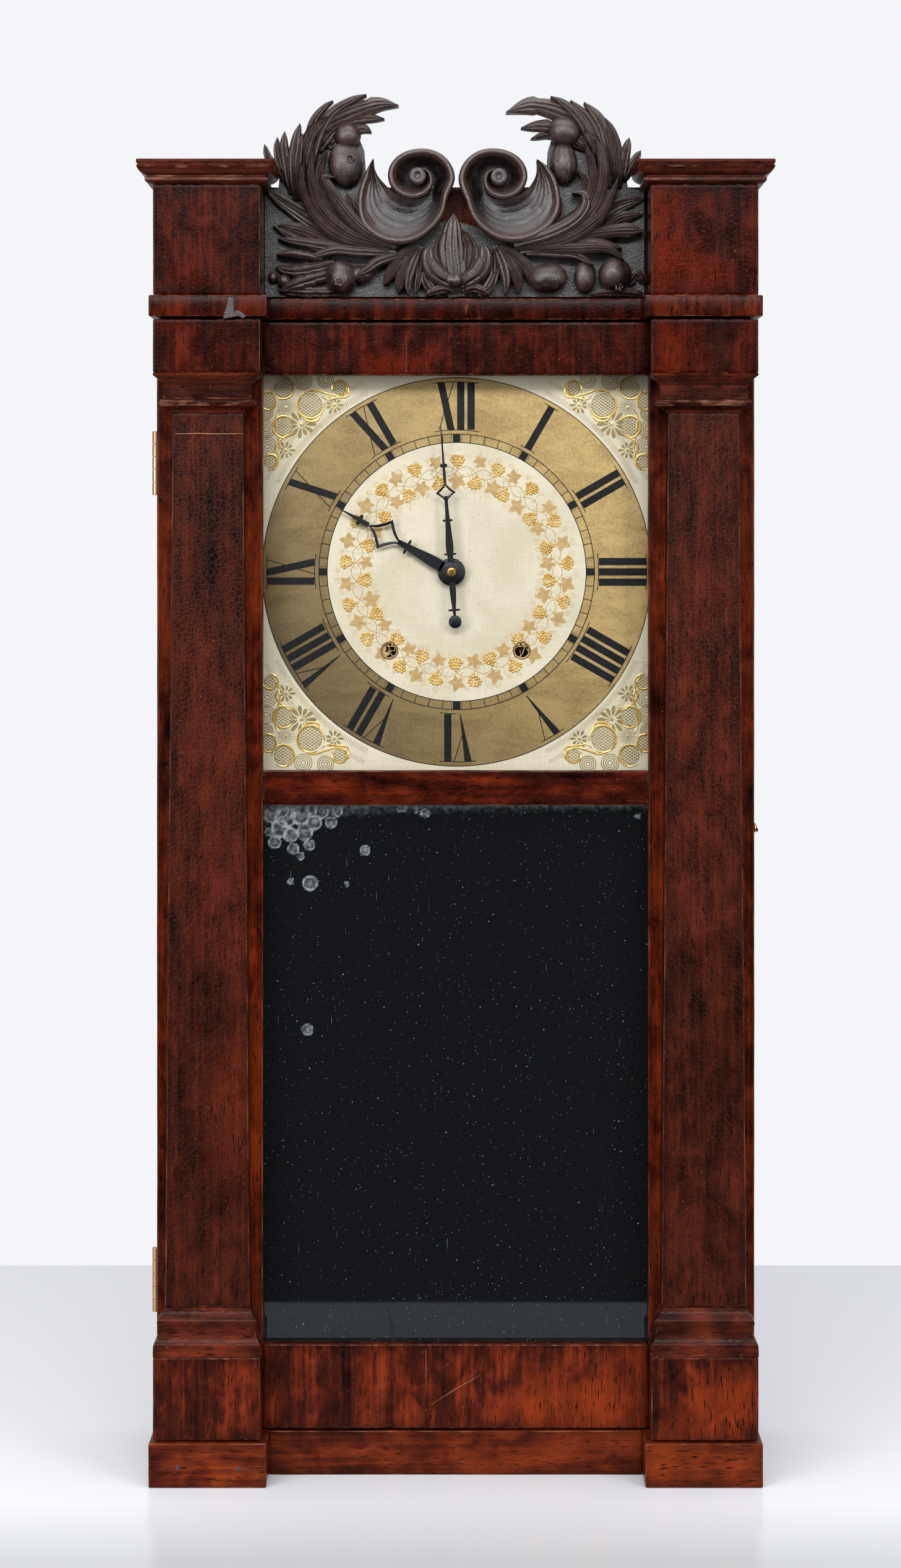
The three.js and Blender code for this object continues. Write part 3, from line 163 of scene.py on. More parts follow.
@dataclass(frozen=True)
class PolishedMahogany:
    """Flame mahogany veneer under old shellac: ribbons of figure 35 mm wide, short dark pores, a deep red
    body with orange patches painted in as sheen where the light gets under the figure, bare pinkish arrises
    where handling wore the polish off, which also stand as painted highlights along every arris, and a
    crazed, softly glossy coat."""

    name: str
    grain: Grain = Grain.UPRIGHT
    shadow: str = "0C0302"
    body: str = "2D0C05"
    light: str = "5C1B09"
    glow: str = "772A0B"
    glow_share: float = 0.4
    worn: str = "7C4A36"
    crackle: float = 0.35
    gloss: float = 0.20

    def per_metre(self, across: float, along: float) -> tuple[float, float, float]:
        """Repeats per metre on each axis of a pattern.

        Args:
            across: its size in mm over the grain.
            along: its size in mm with the grain.

        Returns:
            The three repeats.
        """
        wide, long = 1000 / across, 1000 / along
        return (wide, wide, long) if self.grain is Grain.UPRIGHT else (long, wide, wide)

    def material(self) -> bpy.types.Material:
        """Build the veneer's nodes.

        Returns:
            The material.
        """
        made, tree, surface = blank(self.name)
        place = add(tree, "TexCoord", output="Object")

        # size of each pattern in mm across and along the grain, its detail and distortion;
        # pores are 0.3 mm wide in the wood, drawn 0.9 mm wide so that they show
        noises = []
        for across, along, detail, warp in (
                (34, 120, 3.0, 1.1), (3.2, 90, 3.0, 0.0), (13, 19, 4.0, 0.7),
                (70, 95, 2.0, 0.6), (0.9, 9, 1.0, 0.0), (5, 17, 4.0, 0.0)):
            scale = self.per_metre(across, along)
            vector = add(tree, "Mapping", {0: place, 3: scale})
            noises.append(add(tree, "TexNoise", {
                "Vector": vector, "Scale": 1.0, "Detail": detail, "Distortion": warp}))
        figure, streak, mottle, glowing, pores, rough = noises
        tone = add(tree, "Math", {0: figure, 1: 0.38}, operation="MULTIPLY")
        tone = add(tree, "Math", {0: streak, 1: 0.28, 2: tone}, operation="MULTIPLY_ADD")
        tone = add(tree, "Math", {0: mottle, 1: 0.34, 2: tone}, operation="MULTIPLY_ADD")
        colour = add(tree, "ValToRGB", {0: tone}, stops=[
            (0.36, self.shadow), (0.64, self.light), (0.49, self.body)])
        # painted sheen: orange patches where the light gets under the figure, mixed into the body colour
        lit = add(tree, "MapRange", {0: glowing, 1: 0.5, 2: 0.72, 3: 0.0, 4: self.glow_share})
        colour = add(tree, "Mix", {0: lit, 6: colour, 7: linear(self.glow)}, data_type="RGBA")
        dark = add(tree, "MapRange", {0: pores, 1: 0.60, 2: 0.70, 3: 0.0, 4: 0.9})
        colour = add(tree, "Mix", {0: dark, 6: colour, 7: linear(self.shadow)}, data_type="RGBA")
        # pale flecks 0.5 mm wide, where the polish has flaked out of the grain
        fleck = add(tree, "TexNoise", {"Vector": place, "Scale": 720.0, "Detail": 2.0})
        flecked = add(tree, "MapRange", {0: fleck, 1: 0.70, 2: 0.76, 3: 0.0, 4: 0.6})
        colour = add(tree, "Mix", {0: flecked, 6: colour, 7: linear(self.worn)}, data_type="RGBA")
        # the colour darkens in a band a few millimetres inside each arris; on the arris itself it turns to
        # bare wood, for wear where handling rubbed the polish off and as a painted highlight along the arris
        rim = add(tree, "Attribute", output="Fac", attribute_name="rim")
        shift = add(tree, "Math", {0: rough, 1: -3.2, 2: 1.0}, operation="MULTIPLY_ADD")
        from_edge = add(tree, "Math", {0: rim, 1: shift}, operation="SUBTRACT")
        arris_band_darkening = add(tree, "MapRange", {0: rim, 1: 0.5, 2: 9.0, 3: 0.38, 4: 0.0})
        colour = add(tree, "Mix", {0: arris_band_darkening, 6: colour, 7: linear(self.shadow)}, data_type="RGBA")
        # painted highlight and wear: the pale bare colour laid along each arris
        bare = add(tree, "MapRange", {0: from_edge, 1: 0.45, 2: 1.1, 3: 0.55, 4: 0.0})
        colour = add(tree, "Mix", {0: bare, 6: colour, 7: linear(self.worn)}, data_type="RGBA")
        # craze lines of old shellac stand about 4 mm apart
        crazed = add(tree, "Mapping", {0: place, 3: self.per_metre(3.4, 3.8)})
        cell = add(tree, "TexVoronoi", {"Vector": crazed, "Scale": 1.0}, feature="DISTANCE_TO_EDGE")
        craze = add(tree, "MapRange", {0: cell, 1: 0.0, 2: 0.10, 3: 0.0, 4: 1.0})
        height = add(tree, "Math", {0: streak, 1: 0.5, 2: mottle}, operation="MULTIPLY_ADD")
        height = add(tree, "Math", {0: craze, 1: self.crackle, 2: height}, operation="MULTIPLY_ADD")
        bump = add(tree, "Bump", {"Strength": 0.5, "Distance": 0.00022, "Height": height})
        sheen = add(tree, "MapRange", {0: mottle, 1: 0.3, 2: 0.7, 3: self.gloss, 4: self.gloss + 0.14})
        connect(tree, surface, {
            "Base Color": colour, "Roughness": sheen, "Normal": bump, "Coat Weight": 0.012,
            "Coat Roughness": 0.12, "Specular IOR Level": 0.06})
        return made


@dataclass(frozen=True)
class CarvedMahogany:
    """Carved mahogany blackened by stain, shellac and dust: painted shade near black in the gouge cuts, a
    painted highlight of dull brown lustre on the ridges, grey dust on what faces up, a pinkish tinge on rims."""

    name: str = "carved_mahogany"
    # colours of the painted shade in the cuts, of the wood, and of the painted highlight on the ridges, then
    # of the dust
    groove: str = "050303"
    wood: str = "150C0A"
    ridge: str = "33231F"
    dust: str = "544947"

    def material(self) -> bpy.types.Material:
        """Build the carving's nodes.

        Returns:
            The material.
        """
        made, tree, surface = blank(self.name)
        place = add(tree, "TexCoord", output="Object")
        flow = add(tree, "UVMap", uv_map="flow")
        # gouge marks are 0.8 mm wide and run 12 mm along each leaf
        along = add(tree, "Mapping", {0: flow, 3: (1 / 0.8, 1 / 12.0, 1.0)})
        gouge = add(tree, "TexNoise", {"Vector": along, "Scale": 1.0, "Detail": 2.0})
        patch = add(tree, "TexNoise", {"Vector": place, "Scale": 170.0, "Detail": 4.0})
        speck = add(tree, "TexNoise", {"Vector": place, "Scale": 900.0, "Detail": 2.0})
        # ridge tells how far forward a point stands; the ramp below turns it into painted shade in the cuts
        # and painted highlight on the raised parts
        ridge = add(tree, "Attribute", output="Fac", attribute_name="ridge")
        tone = add(tree, "Math", {0: gouge, 1: 0.34, 2: -0.17}, operation="MULTIPLY_ADD")
        tone = add(tree, "Math", {0: ridge, 1: tone}, operation="ADD")
        tone = add(tree, "Math", {0: patch, 1: 0.5, 2: tone}, operation="MULTIPLY_ADD")
        colour = add(tree, "ValToRGB", {0: tone}, stops=[
            (0.30, self.groove), (1.16, self.ridge), (0.74, self.wood)])
        facing = add(tree, "NewGeometry", output="Normal")
        upward = add(tree, "SeparateXYZ", {0: facing}, "Z")
        settled = add(tree, "Math", {0: upward, 1: speck}, operation="MULTIPLY")
        dusty = add(tree, "MapRange", {0: settled, 1: 0.12, 2: 0.60, 3: 0.0, 4: 0.5})
        colour = add(tree, "Mix", {0: dusty, 6: colour, 7: linear(self.dust)}, data_type="RGBA")
        height = add(tree, "Math", {0: gouge, 1: 1.0, 2: speck}, operation="MULTIPLY_ADD")
        bump = add(tree, "Bump", {"Strength": 0.85, "Distance": 0.00035, "Height": height})
        shine = add(tree, "MapRange", {0: patch, 1: 0.35, 2: 0.65, 3: 0.30, 4: 0.52})
        connect(tree, surface, {
            "Base Color": colour, "Roughness": shine, "Normal": bump, "Specular IOR Level": 0.55,
            "Coat Weight": 0.15, "Coat Roughness": 0.3})
        return made


@dataclass(frozen=True)
class BarePine:
    """Unfinished pine gone brown with age: straight growth rings 6 mm apart and dry fibres."""

    name: str = "bare_pine"
    ring: str = "6B4322"
    field_tone: str = "A87B4A"

    def material(self) -> bpy.types.Material:
        """Build the pine's nodes.

        Returns:
            The material.
        """
        made, tree, surface = blank(self.name)
        place = add(tree, "TexCoord", output="Object")
        rings = add(tree, "Mapping", {0: place, 3: (1000 / 6, 1000 / 6, 1000 / 260)})
        fibres = add(tree, "Mapping", {0: place, 3: (1000 / 0.8, 1000 / 0.8, 1000 / 30)})
        ring = add(tree, "TexNoise", {"Vector": rings, "Scale": 1.0, "Distortion": 0.5})
        fibre = add(tree, "TexNoise", {"Vector": fibres, "Scale": 1.0, "Detail": 3.0})
        tone = add(tree, "Math", {0: fibre, 1: 0.4, 2: ring}, operation="MULTIPLY_ADD")
        colour = add(tree, "ValToRGB", {0: tone}, stops=[
            (0.5, self.ring), (0.85, self.field_tone)])
        bump = add(tree, "Bump", {"Strength": 0.5, "Distance": 0.0003, "Height": fibre})
        connect(tree, surface, {"Base Color": colour, "Normal": bump, "Roughness": 0.72})
        return made


@dataclass(frozen=True)
class OldPaint:
    """Hand-laid oil paint on a primed wooden dial: brush lines, a linen-fine tooth, yellowed
    and faintly stained, with an eggshell surface."""

    name: str
    light: str
    shade: str
    stain: str
    roughness: float = 0.5
    tooth: float = 0.9  # millimetres between brush lines

    def material(self) -> bpy.types.Material:
        """Build the paint's nodes.

        Returns:
            The material.
        """
        made, tree, surface = blank(self.name)
        place = add(tree, "TexCoord", output="Object")
        fine = 1000 / self.tooth
        upright = add(tree, "Mapping", {0: place, 3: (fine, fine, fine / 14)})
        level = add(tree, "Mapping", {0: place, 3: (fine / 14, fine, fine)})
        warp = add(tree, "TexNoise", {"Vector": upright, "Scale": 1.0, "Detail": 2.0})
        weft = add(tree, "TexNoise", {"Vector": level, "Scale": 1.0, "Detail": 2.0})
        cloud = add(tree, "TexNoise", {"Vector": place, "Scale": 22.0, "Detail": 5.0, "Distortion": 0.6})
        spot = add(tree, "TexNoise", {"Vector": place, "Scale": 260.0, "Detail": 2.0})
        woven = add(tree, "Math", {0: warp, 1: weft}, operation="ADD")
        tone = add(tree, "Math", {0: woven, 1: 0.35, 2: cloud}, operation="MULTIPLY_ADD")
        colour = add(tree, "ValToRGB", {0: tone}, stops=[
            (0.68, self.shade), (1.0, self.light)])
        marked = add(tree, "MapRange", {0: spot, 1: 0.66, 2: 0.76, 3: 0.0, 4: 0.5})
        colour = add(tree, "Mix", {0: marked, 6: colour, 7: linear(self.stain)}, data_type="RGBA")
        bump = add(tree, "Bump", {"Strength": 0.35, "Distance": 0.00012, "Height": woven})
        connect(tree, surface, {"Base Color": colour, "Normal": bump, "Roughness": self.roughness})
        return made


@dataclass(frozen=True)
class BronzePowder:
    """Bronze powder rubbed on gold size: a flat, slightly grainy gold with rubbed streaks."""

    name: str
    light: str
    shade: str
    metallic: float = 0.45
    roughness: float = 0.44
    spread: float = 30.0  # millimetres across the rubbed patches
    # colour of the painted shade that the tarnish attribute mixes in
    tarnish: str = "3A2E19"

    def material(self) -> bpy.types.Material:
        """Build the bronze powder's nodes.

        Returns:
            The material.
        """
        made, tree, surface = blank(self.name)
        place = add(tree, "TexCoord", output="Object")
        rubbed = add(tree, "Mapping", {0: place, 3: (700 / self.spread, 1.0, 1700 / self.spread)})
        patch = add(tree, "TexNoise", {"Vector": rubbed, "Scale": 1.0, "Detail": 6.0,
                                                 "Roughness": 0.62, "Distortion": 0.8})
        grit = add(tree, "TexNoise", {"Vector": place, "Scale": 1000.0, "Detail": 2.0})
        tone = add(tree, "Math", {0: grit, 1: 0.75, 2: patch}, operation="MULTIPLY_ADD")
        colour = add(tree, "ValToRGB", {0: tone}, stops=[
            (0.66, self.shade), (1.06, self.light)])
        # painted shade: where a piece carries the tarnish attribute, the darker tarnish colour is mixed in as
        # shade falling on one side
        painted_side_shade = add(tree, "Attribute", output="Fac", attribute_name="tarnish")
        colour = add(tree, "Mix", {0: painted_side_shade, 6: colour, 7: linear(self.tarnish)}, data_type="RGBA")
        bump = add(tree, "Bump", {"Strength": 0.3, "Distance": 0.0001, "Height": grit})
        connect(tree, surface, {
            "Base Color": colour, "Normal": bump, "Metallic": self.metallic, "Roughness": self.roughness})
        return made


@dataclass(frozen=True)
class BlackPaint:
    """Lamp black lining paint: nearly black, thin at the edges, eggshell."""

    name: str = "lamp_black"
    light: str = "1B1D21"
    dark: str = "0A0B0D"

    def material(self) -> bpy.types.Material:
        """Build the lining paint's nodes.

        Returns:
            The material.
        """
        made, tree, surface = blank(self.name)
        place = add(tree, "TexCoord", output="Object")
        patch = add(tree, "TexNoise", {"Vector": place, "Scale": 420.0, "Detail": 4.0})
        colour = add(tree, "ValToRGB", {0: patch}, stops=[
            (0.4, self.dark), (0.68, self.light)])
        bump = add(tree, "Bump", {"Strength": 0.3, "Distance": 0.00008, "Height": patch})
        connect(tree, surface, {
            "Base Color": colour, "Normal": bump, "Specular IOR Level": 0.2, "Roughness": 0.5})
        return made


@dataclass(frozen=True)
class ClockMetal:
    """Worked clock metal: file and turning marks a fraction of a millimetre apart, and
    tarnish in soft patches 15 mm across."""

    name: str
    bright: str
    tarnish: str
    tarnish_share: float = 0.55
    metallic: float = 1.0
    roughness: float = 0.3
    marks: float = 0.6  # millimetres between file marks, drawn coarse so that they show

    def material(self) -> bpy.types.Material:
        """Build the metal's nodes.

        Returns:
            The material.
        """
        made, tree, surface = blank(self.name)
        place = add(tree, "TexCoord", output="Object")
        fine = 1000 / self.marks
        filed = add(tree, "Mapping", {0: place, 3: (fine / 12, fine / 12, fine)})
        mark = add(tree, "TexNoise", {"Vector": filed, "Scale": 1.0, "Detail": 2.0})
        patch = add(tree, "TexNoise", {"Vector": place, "Scale": 66.0, "Detail": 5.0, "Roughness": 0.6})
        share = add(tree, "MapRange", {0: patch, 1: 0.38, 2: 0.66, 3: 0.0, 4: self.tarnish_share})
        colour = add(tree, "Mix", {0: share, 6: linear(self.bright), 7: linear(self.tarnish)},
                     data_type="RGBA")
        level = add(tree, "MapRange", {
            0: patch, 1: 0.3, 2: 0.7, 3: self.roughness - 0.07, 4: self.roughness + 0.14})
        bump = add(tree, "Bump", {"Strength": 0.25, "Distance": 0.00006, "Height": mark})
        connect(tree, surface, {
            "Base Color": colour, "Roughness": level, "Normal": bump, "Metallic": self.metallic})
        return made


@dataclass(frozen=True)
class CylinderGlass:
    """Old blown window glass: clear, faintly wavy over 40 mm, reflecting at its surfaces."""

    name: str = "old_glass"

    def material(self) -> bpy.types.Material:
        """Build the glass's nodes: clear in front, a little more seen at a glancing view.

        Returns:
            The material.
        """
        made, tree, surface = blank(self.name)
        place = add(tree, "TexCoord", output="Object")
        wave = add(tree, "TexNoise", {"Vector": place, "Scale": 25.0, "Detail": 1.0})
        bump = add(tree, "Bump", {"Strength": 0.06, "Distance": 0.0003, "Height": wave})
        glance = add(tree, "Fresnel", {"IOR": 1.5})
        body = add(tree, "MapRange", {0: glance, 1: 0.04, 2: 1.0, 3: 0.05, 4: 0.85})
        connect(tree, surface, {
            "Alpha": body, "Normal": bump, "Base Color": linear("141817"), "Roughness": 0.03})
        return made


@dataclass(frozen=True)
class AgedMirror:
    """Tin-mercury mirror gone dark: a deep blue-black image, white fox marks where the foil
    has gone, fine scratches and dust."""

    name: str = "aged_mirror"
    silver: str = "36393D"
    blemish: str = "8F9898"

    def material(self) -> bpy.types.Material:
        """Build the mirror's nodes.

        Returns:
            The material.
        """
        made, tree, surface = blank(self.name)
        place = add(tree, "TexCoord", output="Object")
        foxed = add(tree, "Attribute", output="Fac", attribute_name="foxing")
        fleck = add(tree, "TexNoise", {"Vector": place, "Scale": 650.0, "Detail": 3.0})
        dot = add(tree, "MapRange", {0: fleck, 1: 0.685, 2: 0.74, 3: 0.0, 4: 0.7})
        long = add(tree, "Mapping", {0: place, 2: (0.0, 0.9, 0.0), 3: (1500.0, 1.0, 55.0)})
        line = add(tree, "TexNoise", {"Vector": long, "Scale": 1.0, "Detail": 1.0})
        scratch = add(tree, "MapRange", {0: line, 1: 0.74, 2: 0.8, 3: 0.0, 4: 0.35})
        cloud = add(tree, "TexNoise", {"Vector": place, "Scale": 240.0, "Detail": 6.0})
        broken = add(tree, "Math", {0: foxed, 1: cloud}, operation="MULTIPLY")
        worn = add(tree, "MapRange", {0: broken, 1: 0.1, 2: 0.62, 3: 0.0, 4: 0.9})
        mark = add(tree, "Math", {0: dot, 1: scratch}, operation="MAXIMUM")
        mark = add(tree, "Math", {0: mark, 1: worn}, operation="MAXIMUM")
        colour = add(tree, "Mix", {0: mark, 6: linear(self.silver), 7: linear(self.blemish)},
                     data_type="RGBA")
        metal = add(tree, "MapRange", {0: mark, 1: 0.0, 2: 0.6, 3: 0.88, 4: 0.0})
        level = add(tree, "MapRange", {0: mark, 1: 0.0, 2: 0.5, 3: 0.03, 4: 0.5})
        connect(tree, surface, {"Base Color": colour, "Metallic": metal, "Roughness": level})
        return made


@dataclass(frozen=True)
class StudioPaper:
    """White laminate table with a faint sheen, so that the feet show softly in it."""

    name: str
    tone: str
    far: str
    roughness: float
    near: str = "A9AAAC"

    def material(self) -> bpy.types.Material:
        """Build the table's nodes.

        Returns:
            The material.
        """
        made, tree, surface = blank(self.name)
        place = add(tree, "TexCoord", output="Object")
        cloud = add(tree, "TexNoise", {"Vector": place, "Scale": 3.0, "Detail": 2.0})
        colour = add(tree, "ValToRGB", {0: cloud}, stops=[
            (0.2, self.far), (0.8, self.tone)])
        # the light falls off towards the viewer, from 0.1 m in front of the clock
        back = add(tree, "SeparateXYZ", {0: place}, "Y")
        dim = add(tree, "MapRange", {0: back, 1: -0.24, 2: -0.11, 3: 0.9, 4: 0.0})
        colour = add(tree, "Mix", {0: dim, 6: colour, 7: linear(self.near)}, data_type="RGBA")
        connect(tree, surface, {
            "Base Color": colour, "Roughness": self.roughness, "Specular IOR Level": 0.4})
        return made


class Palette:
    """Every finish of the clock, made once."""

    def __init__(self) -> None:
        """Make each finish's material."""
        self.upright = PolishedMahogany(
            "flame_mahogany_upright", body="3C1207", light="702610", glow="88360F").material()
        self.level = PolishedMahogany(
            "flame_mahogany_level", Grain.LEVEL, body="340E06", light="62200B", glow="7A2C0C").material()
        self.crotch = PolishedMahogany(
            "crotch_mahogany", glow_share=0.55, body="330F07", light="68240E", glow="802E0D").material()
        # painted shade: a darker copy of the crotch mahogany, so that the upper parts of the case and door
        # are drawn darker than the lower ones
        self.frieze = PolishedMahogany(
            "crotch_mahogany_painted_shade", glow_share=0.6, shadow="080201", body="230703", light="4C1305",
            glow="6C1D05").material()
        self.base = PolishedMahogany(
            "foot_mahogany", Grain.LEVEL, shadow="160602", body="401407", light="66260C",
            glow="7C3010", glow_share=0.5).material()
        self.pilaster = PolishedMahogany(
            "crazed_mahogany", Grain.UPRIGHT, shadow="0E0503", body="2E0F08", light="491A0D",
            glow="58200C", glow_share=0.3, crackle=1.0, gloss=0.25).material()
        self.amber = PolishedMahogany(
            "amber_mahogany", Grain.LEVEL, shadow="1C0703", body="4C190A", light="76300F",
            glow="8E3C12", glow_share=0.5).material()
        self.moulding = PolishedMahogany(
            "moulding_mahogany", Grain.LEVEL, shadow="0E0504", body="35130B", light="5E2213",
            glow="6A2E18", glow_share=0.45, worn="8E5F4A").material()
        self.carved = CarvedMahogany().material()
        self.pine = BarePine().material()
        self.cream = OldPaint("cream_dial_paint", "E9E1C8", "DAD1B4", "A3957A").material()
        self.filler = OldPaint("lost_veneer_ground", "33272B", "1A1214", "0E0909", tooth=2.0).material()
        self.bared = OldPaint("bared_wood", "A0714E", "744B33", "4A2C1E", tooth=0.6).material()
        self.gold_ground = BronzePowder("bronze_powder_ring", "C8AC70", "A18551", metallic=0.25).material()
        self.raised_gold = BronzePowder("raised_gilding", "FBDC8C", "D4A852", metallic=0.55,
                                        roughness=0.27, spread=9.0).material()
        self.tan_line = BronzePowder("bronze_powder_leaf", "CFAE74", "B3935C", metallic=0.1,
                                     roughness=0.5, spread=8.0).material()
        self.olive_line = BronzePowder("bronze_powder_line", "A39058", "7E6E42", metallic=0.1,
                                       roughness=0.5, spread=8.0).material()
        self.black = BlackPaint().material()
        self.brass = ClockMetal("clock_brass", "D9B36A", "8A6432").material()
        self.old_brass = ClockMetal("old_movement_brass", "9A7A45", "4A3820", tarnish_share=0.8,
                                    roughness=0.36).material()
        self.hinge_brass = ClockMetal("hinge_brass", "C4A078", "8C6B4C", metallic=0.85,
                                      roughness=0.38).material()
        self.steel = ClockMetal("clock_steel", "A9A9A6", "5B5651", roughness=0.26).material()
        self.iron = ClockMetal("cast_iron", "3B3836", "2A1C14", tarnish_share=0.8, metallic=0.75,
                               roughness=0.62, marks=1.4).material()
        self.blackened = ClockMetal("blackened_steel", "23252B", "151312", tarnish_share=0.8,
                                    metallic=0.6, roughness=0.36).material()
        self.cord = OldPaint("braided_cord", "CDBB96", "A08C62", "5E4D33", roughness=0.8,
                             tooth=0.5).material()
        self.glass = CylinderGlass().material()
        self.mirror = AgedMirror().material()


# ---------------------------------------------------------------- surfaces


@dataclass
class Skin:
    """Points and faces of one piece, gathered part by part in millimetres (x, depth, z), with
    a value at each point for every named attribute and, for carving, its place along the cut."""

    points: list = field(default_factory=list)
    faces: list = field(default_factory=list)
    values: dict = field(default_factory=dict)
    flow: list = field(default_factory=list)
    count: int = 0

    def add(self, points: np.ndarray, faces: np.ndarray, flow: np.ndarray | None = None,
            **values: np.ndarray) -> None:
        """Add one part.

        Args:
            points: its points, one to a row.
            faces: its quads or triangles, counted from its own first point.
            flow: across and along millimetres of each point.
            values: attribute values of its points.
        """
        points = np.asarray(points, float).reshape(-1, 3)
        self.points.append(points)
        self.faces.append(np.asarray(faces, int) + self.count)
        self.flow.append(np.zeros((len(points), 2)) if flow is None else flow.reshape(-1, 2))
        for name, value in values.items():
            self.values.setdefault(name, []).append((self.count, np.asarray(value, float).ravel()))
        self.count += len(points)

    def object(self, name: str, finish: bpy.types.Material, sharp: float = 32.0) -> bpy.types.Object:
        """Weld what was gathered into one mesh with its faces outwards.

        Args:
            name: the piece's name.
            finish: its material.
            sharp: angle in degrees past which an edge stays crisp.

        Returns:
            The piece's object, at the origin.
        """
        points = np.concatenate(self.points)
        keys, first, place = np.unique(np.round(points, 4), axis=0, return_index=True,
                                       return_inverse=True)
        place = place.ravel()
        corners, sizes = [], []
        for block in self.faces:
            ring = place[block]
            if ring.shape[1] == 4:
                same = ring == np.roll(ring, -1, axis=1)
                whole = ring[~same.any(axis=1)]
                pinched = same.sum(axis=1) == 1
                keep = (np.argmax(same[pinched], axis=1)[:, None] + np.arange(1, 4)) % 4
                thin = np.take_along_axis(ring[pinched], keep, axis=1)
            else:
                whole, thin = np.empty((0, 4), int), ring
            thin = thin[(thin[:, 0] != thin[:, 1]) & (thin[:, 1] != thin[:, 2]) & (thin[:, 2] != thin[:, 0])]
            corners += [whole.ravel(), thin.ravel()]
            sizes += [np.full(len(whole), 4), np.full(len(thin), 3)]
        corners, sizes = np.concatenate(corners), np.concatenate(sizes)
        mesh = bpy.data.meshes.new(name)
        mesh.vertices.add(len(keys))
        place_mm = points[first]
        place_m = np.column_stack([place_mm[:, 0], place_mm[:, 1] - MIDDLE_DEPTH, place_mm[:, 2]]) * METRE
        mesh.vertices.foreach_set("co", place_m.astype(np.float32).ravel())
        mesh.loops.add(len(corners))
        mesh.loops.foreach_set("vertex_index", corners.astype(np.int32))
        mesh.polygons.add(len(sizes))
        mesh.polygons.foreach_set("loop_start", (np.cumsum(sizes) - sizes).astype(np.int32))
        mesh.update(calc_edges=True)
        mesh.validate()
        for label, runs in self.values.items():
            level = np.zeros(len(points))
            for start, run in runs:
                level[start:start + len(run)] = run
            mesh.attributes.new(label, "FLOAT", "POINT").data.foreach_set(
                "value", level[first].astype(np.float32))
        flow = np.concatenate(self.flow)[first]
        if flow.any():
            order = np.zeros(len(mesh.loops), np.int32)
            mesh.loops.foreach_get("vertex_index", order)
            layer = mesh.uv_layers.new(name="flow")
            layer.uv.foreach_set("vector", flow[order].astype(np.float32).ravel())
        solid = bmesh.new()
        solid.from_mesh(mesh)
        bmesh.ops.recalc_face_normals(solid, faces=solid.faces)
        solid.to_mesh(mesh)
        solid.free()
        mesh.polygons.foreach_set("use_smooth", np.ones(len(mesh.polygons), bool))
        mesh.set_sharp_from_angle(angle=np.radians(sharp))
        mesh.materials.append(finish)
        made = bpy.data.objects.new(name, mesh)
        bpy.context.scene.collection.objects.link(made)
        return made


def grid_quads(rows: int, columns: int, closed_rows: bool = False,
               closed_columns: bool = False) -> np.ndarray:
    """Quads of a grid of points numbered row by row.

    Args:
        rows: number of rows.
        columns: number of columns.
        closed_rows: the last row joins the first.
        closed_columns: the last column joins the first.

    Returns:
        Corner numbers, one quad to a row.
    """
    r = np.arange(rows if closed_rows else rows - 1)
    c = np.arange(columns if closed_columns else columns - 1)
    r, c = np.meshgrid(r, c, indexing="ij")
    below, right = (r + 1) % rows, (c + 1) % columns
    return np.stack([r * columns + c, r * columns + right, below * columns + right,
                     below * columns + c], axis=-1).reshape(-1, 4)


def capped(rings: np.ndarray) -> np.ndarray:
    """Rings of a bar, closed at both ends.

    Args:
        rings: its rings, one to a row.

    Returns:
        The rings between two that lie wholly in the middle of the first and of the last.
    """
    middles = np.broadcast_to(rings.mean(axis=1, keepdims=True), rings.shape)
    return np.concatenate([middles[:1], rings, middles[-1:]])


def smooth_path(knots: Sequence[Sequence[float]], count: int) -> np.ndarray:
    """Catmull-Rom curve through knots, at evenly spaced lengths.

    Args:
        knots: points of any dimension.
        count: number of points wanted.

    Returns:
        The points, one to a row.
    """
    knots = np.asarray(knots, float)
    ends = np.vstack([2 * knots[0] - knots[1], knots, 2 * knots[-1] - knots[-2]])
    t = np.linspace(0, len(knots) - 1, 24 * (len(knots) - 1) + 1)
    i = np.minimum(t.astype(int), len(knots) - 2)
    u = (t - i)[:, None]
    a, b, c, d = ends[i], ends[i + 1], ends[i + 2], ends[i + 3]
    dense = 0.5 * (2 * b + (c - a) * u + (2 * a - 5 * b + 4 * c - d) * u ** 2
                   + (3 * b - a - 3 * c + d) * u ** 3)
    run = np.concatenate([[0], np.cumsum(np.linalg.norm(np.diff(dense, axis=0), axis=1))])
    wanted = np.linspace(0, run[-1], count)
    return np.column_stack([np.interp(wanted, run, dense[:, k]) for k in range(dense.shape[1])])


def smooth_table(x: np.ndarray, places: Sequence[float], levels: Sequence[float]) -> np.ndarray:
    """Cubic curve through (place, level) pairs, with the slope at each the mean of its sides.

    Args:
        x: where the level is wanted.
        places: rising places.
        levels: level at each.

    Returns:
        The level at each x.
    """
    places, levels = np.asarray(places, float), np.asarray(levels, float)
    slope = np.gradient(levels, places)
    i = np.clip(np.searchsorted(places, x) - 1, 0, len(places) - 2)
    step = places[i + 1] - places[i]
    u = np.clip((x - places[i]) / step, 0, 1)
    return ((2 * u ** 3 - 3 * u ** 2 + 1) * levels[i] + (u ** 3 - 2 * u ** 2 + u) * step * slope[i]
            + (3 * u ** 2 - 2 * u ** 3) * levels[i + 1] + (u ** 3 - u ** 2) * step * slope[i + 1])


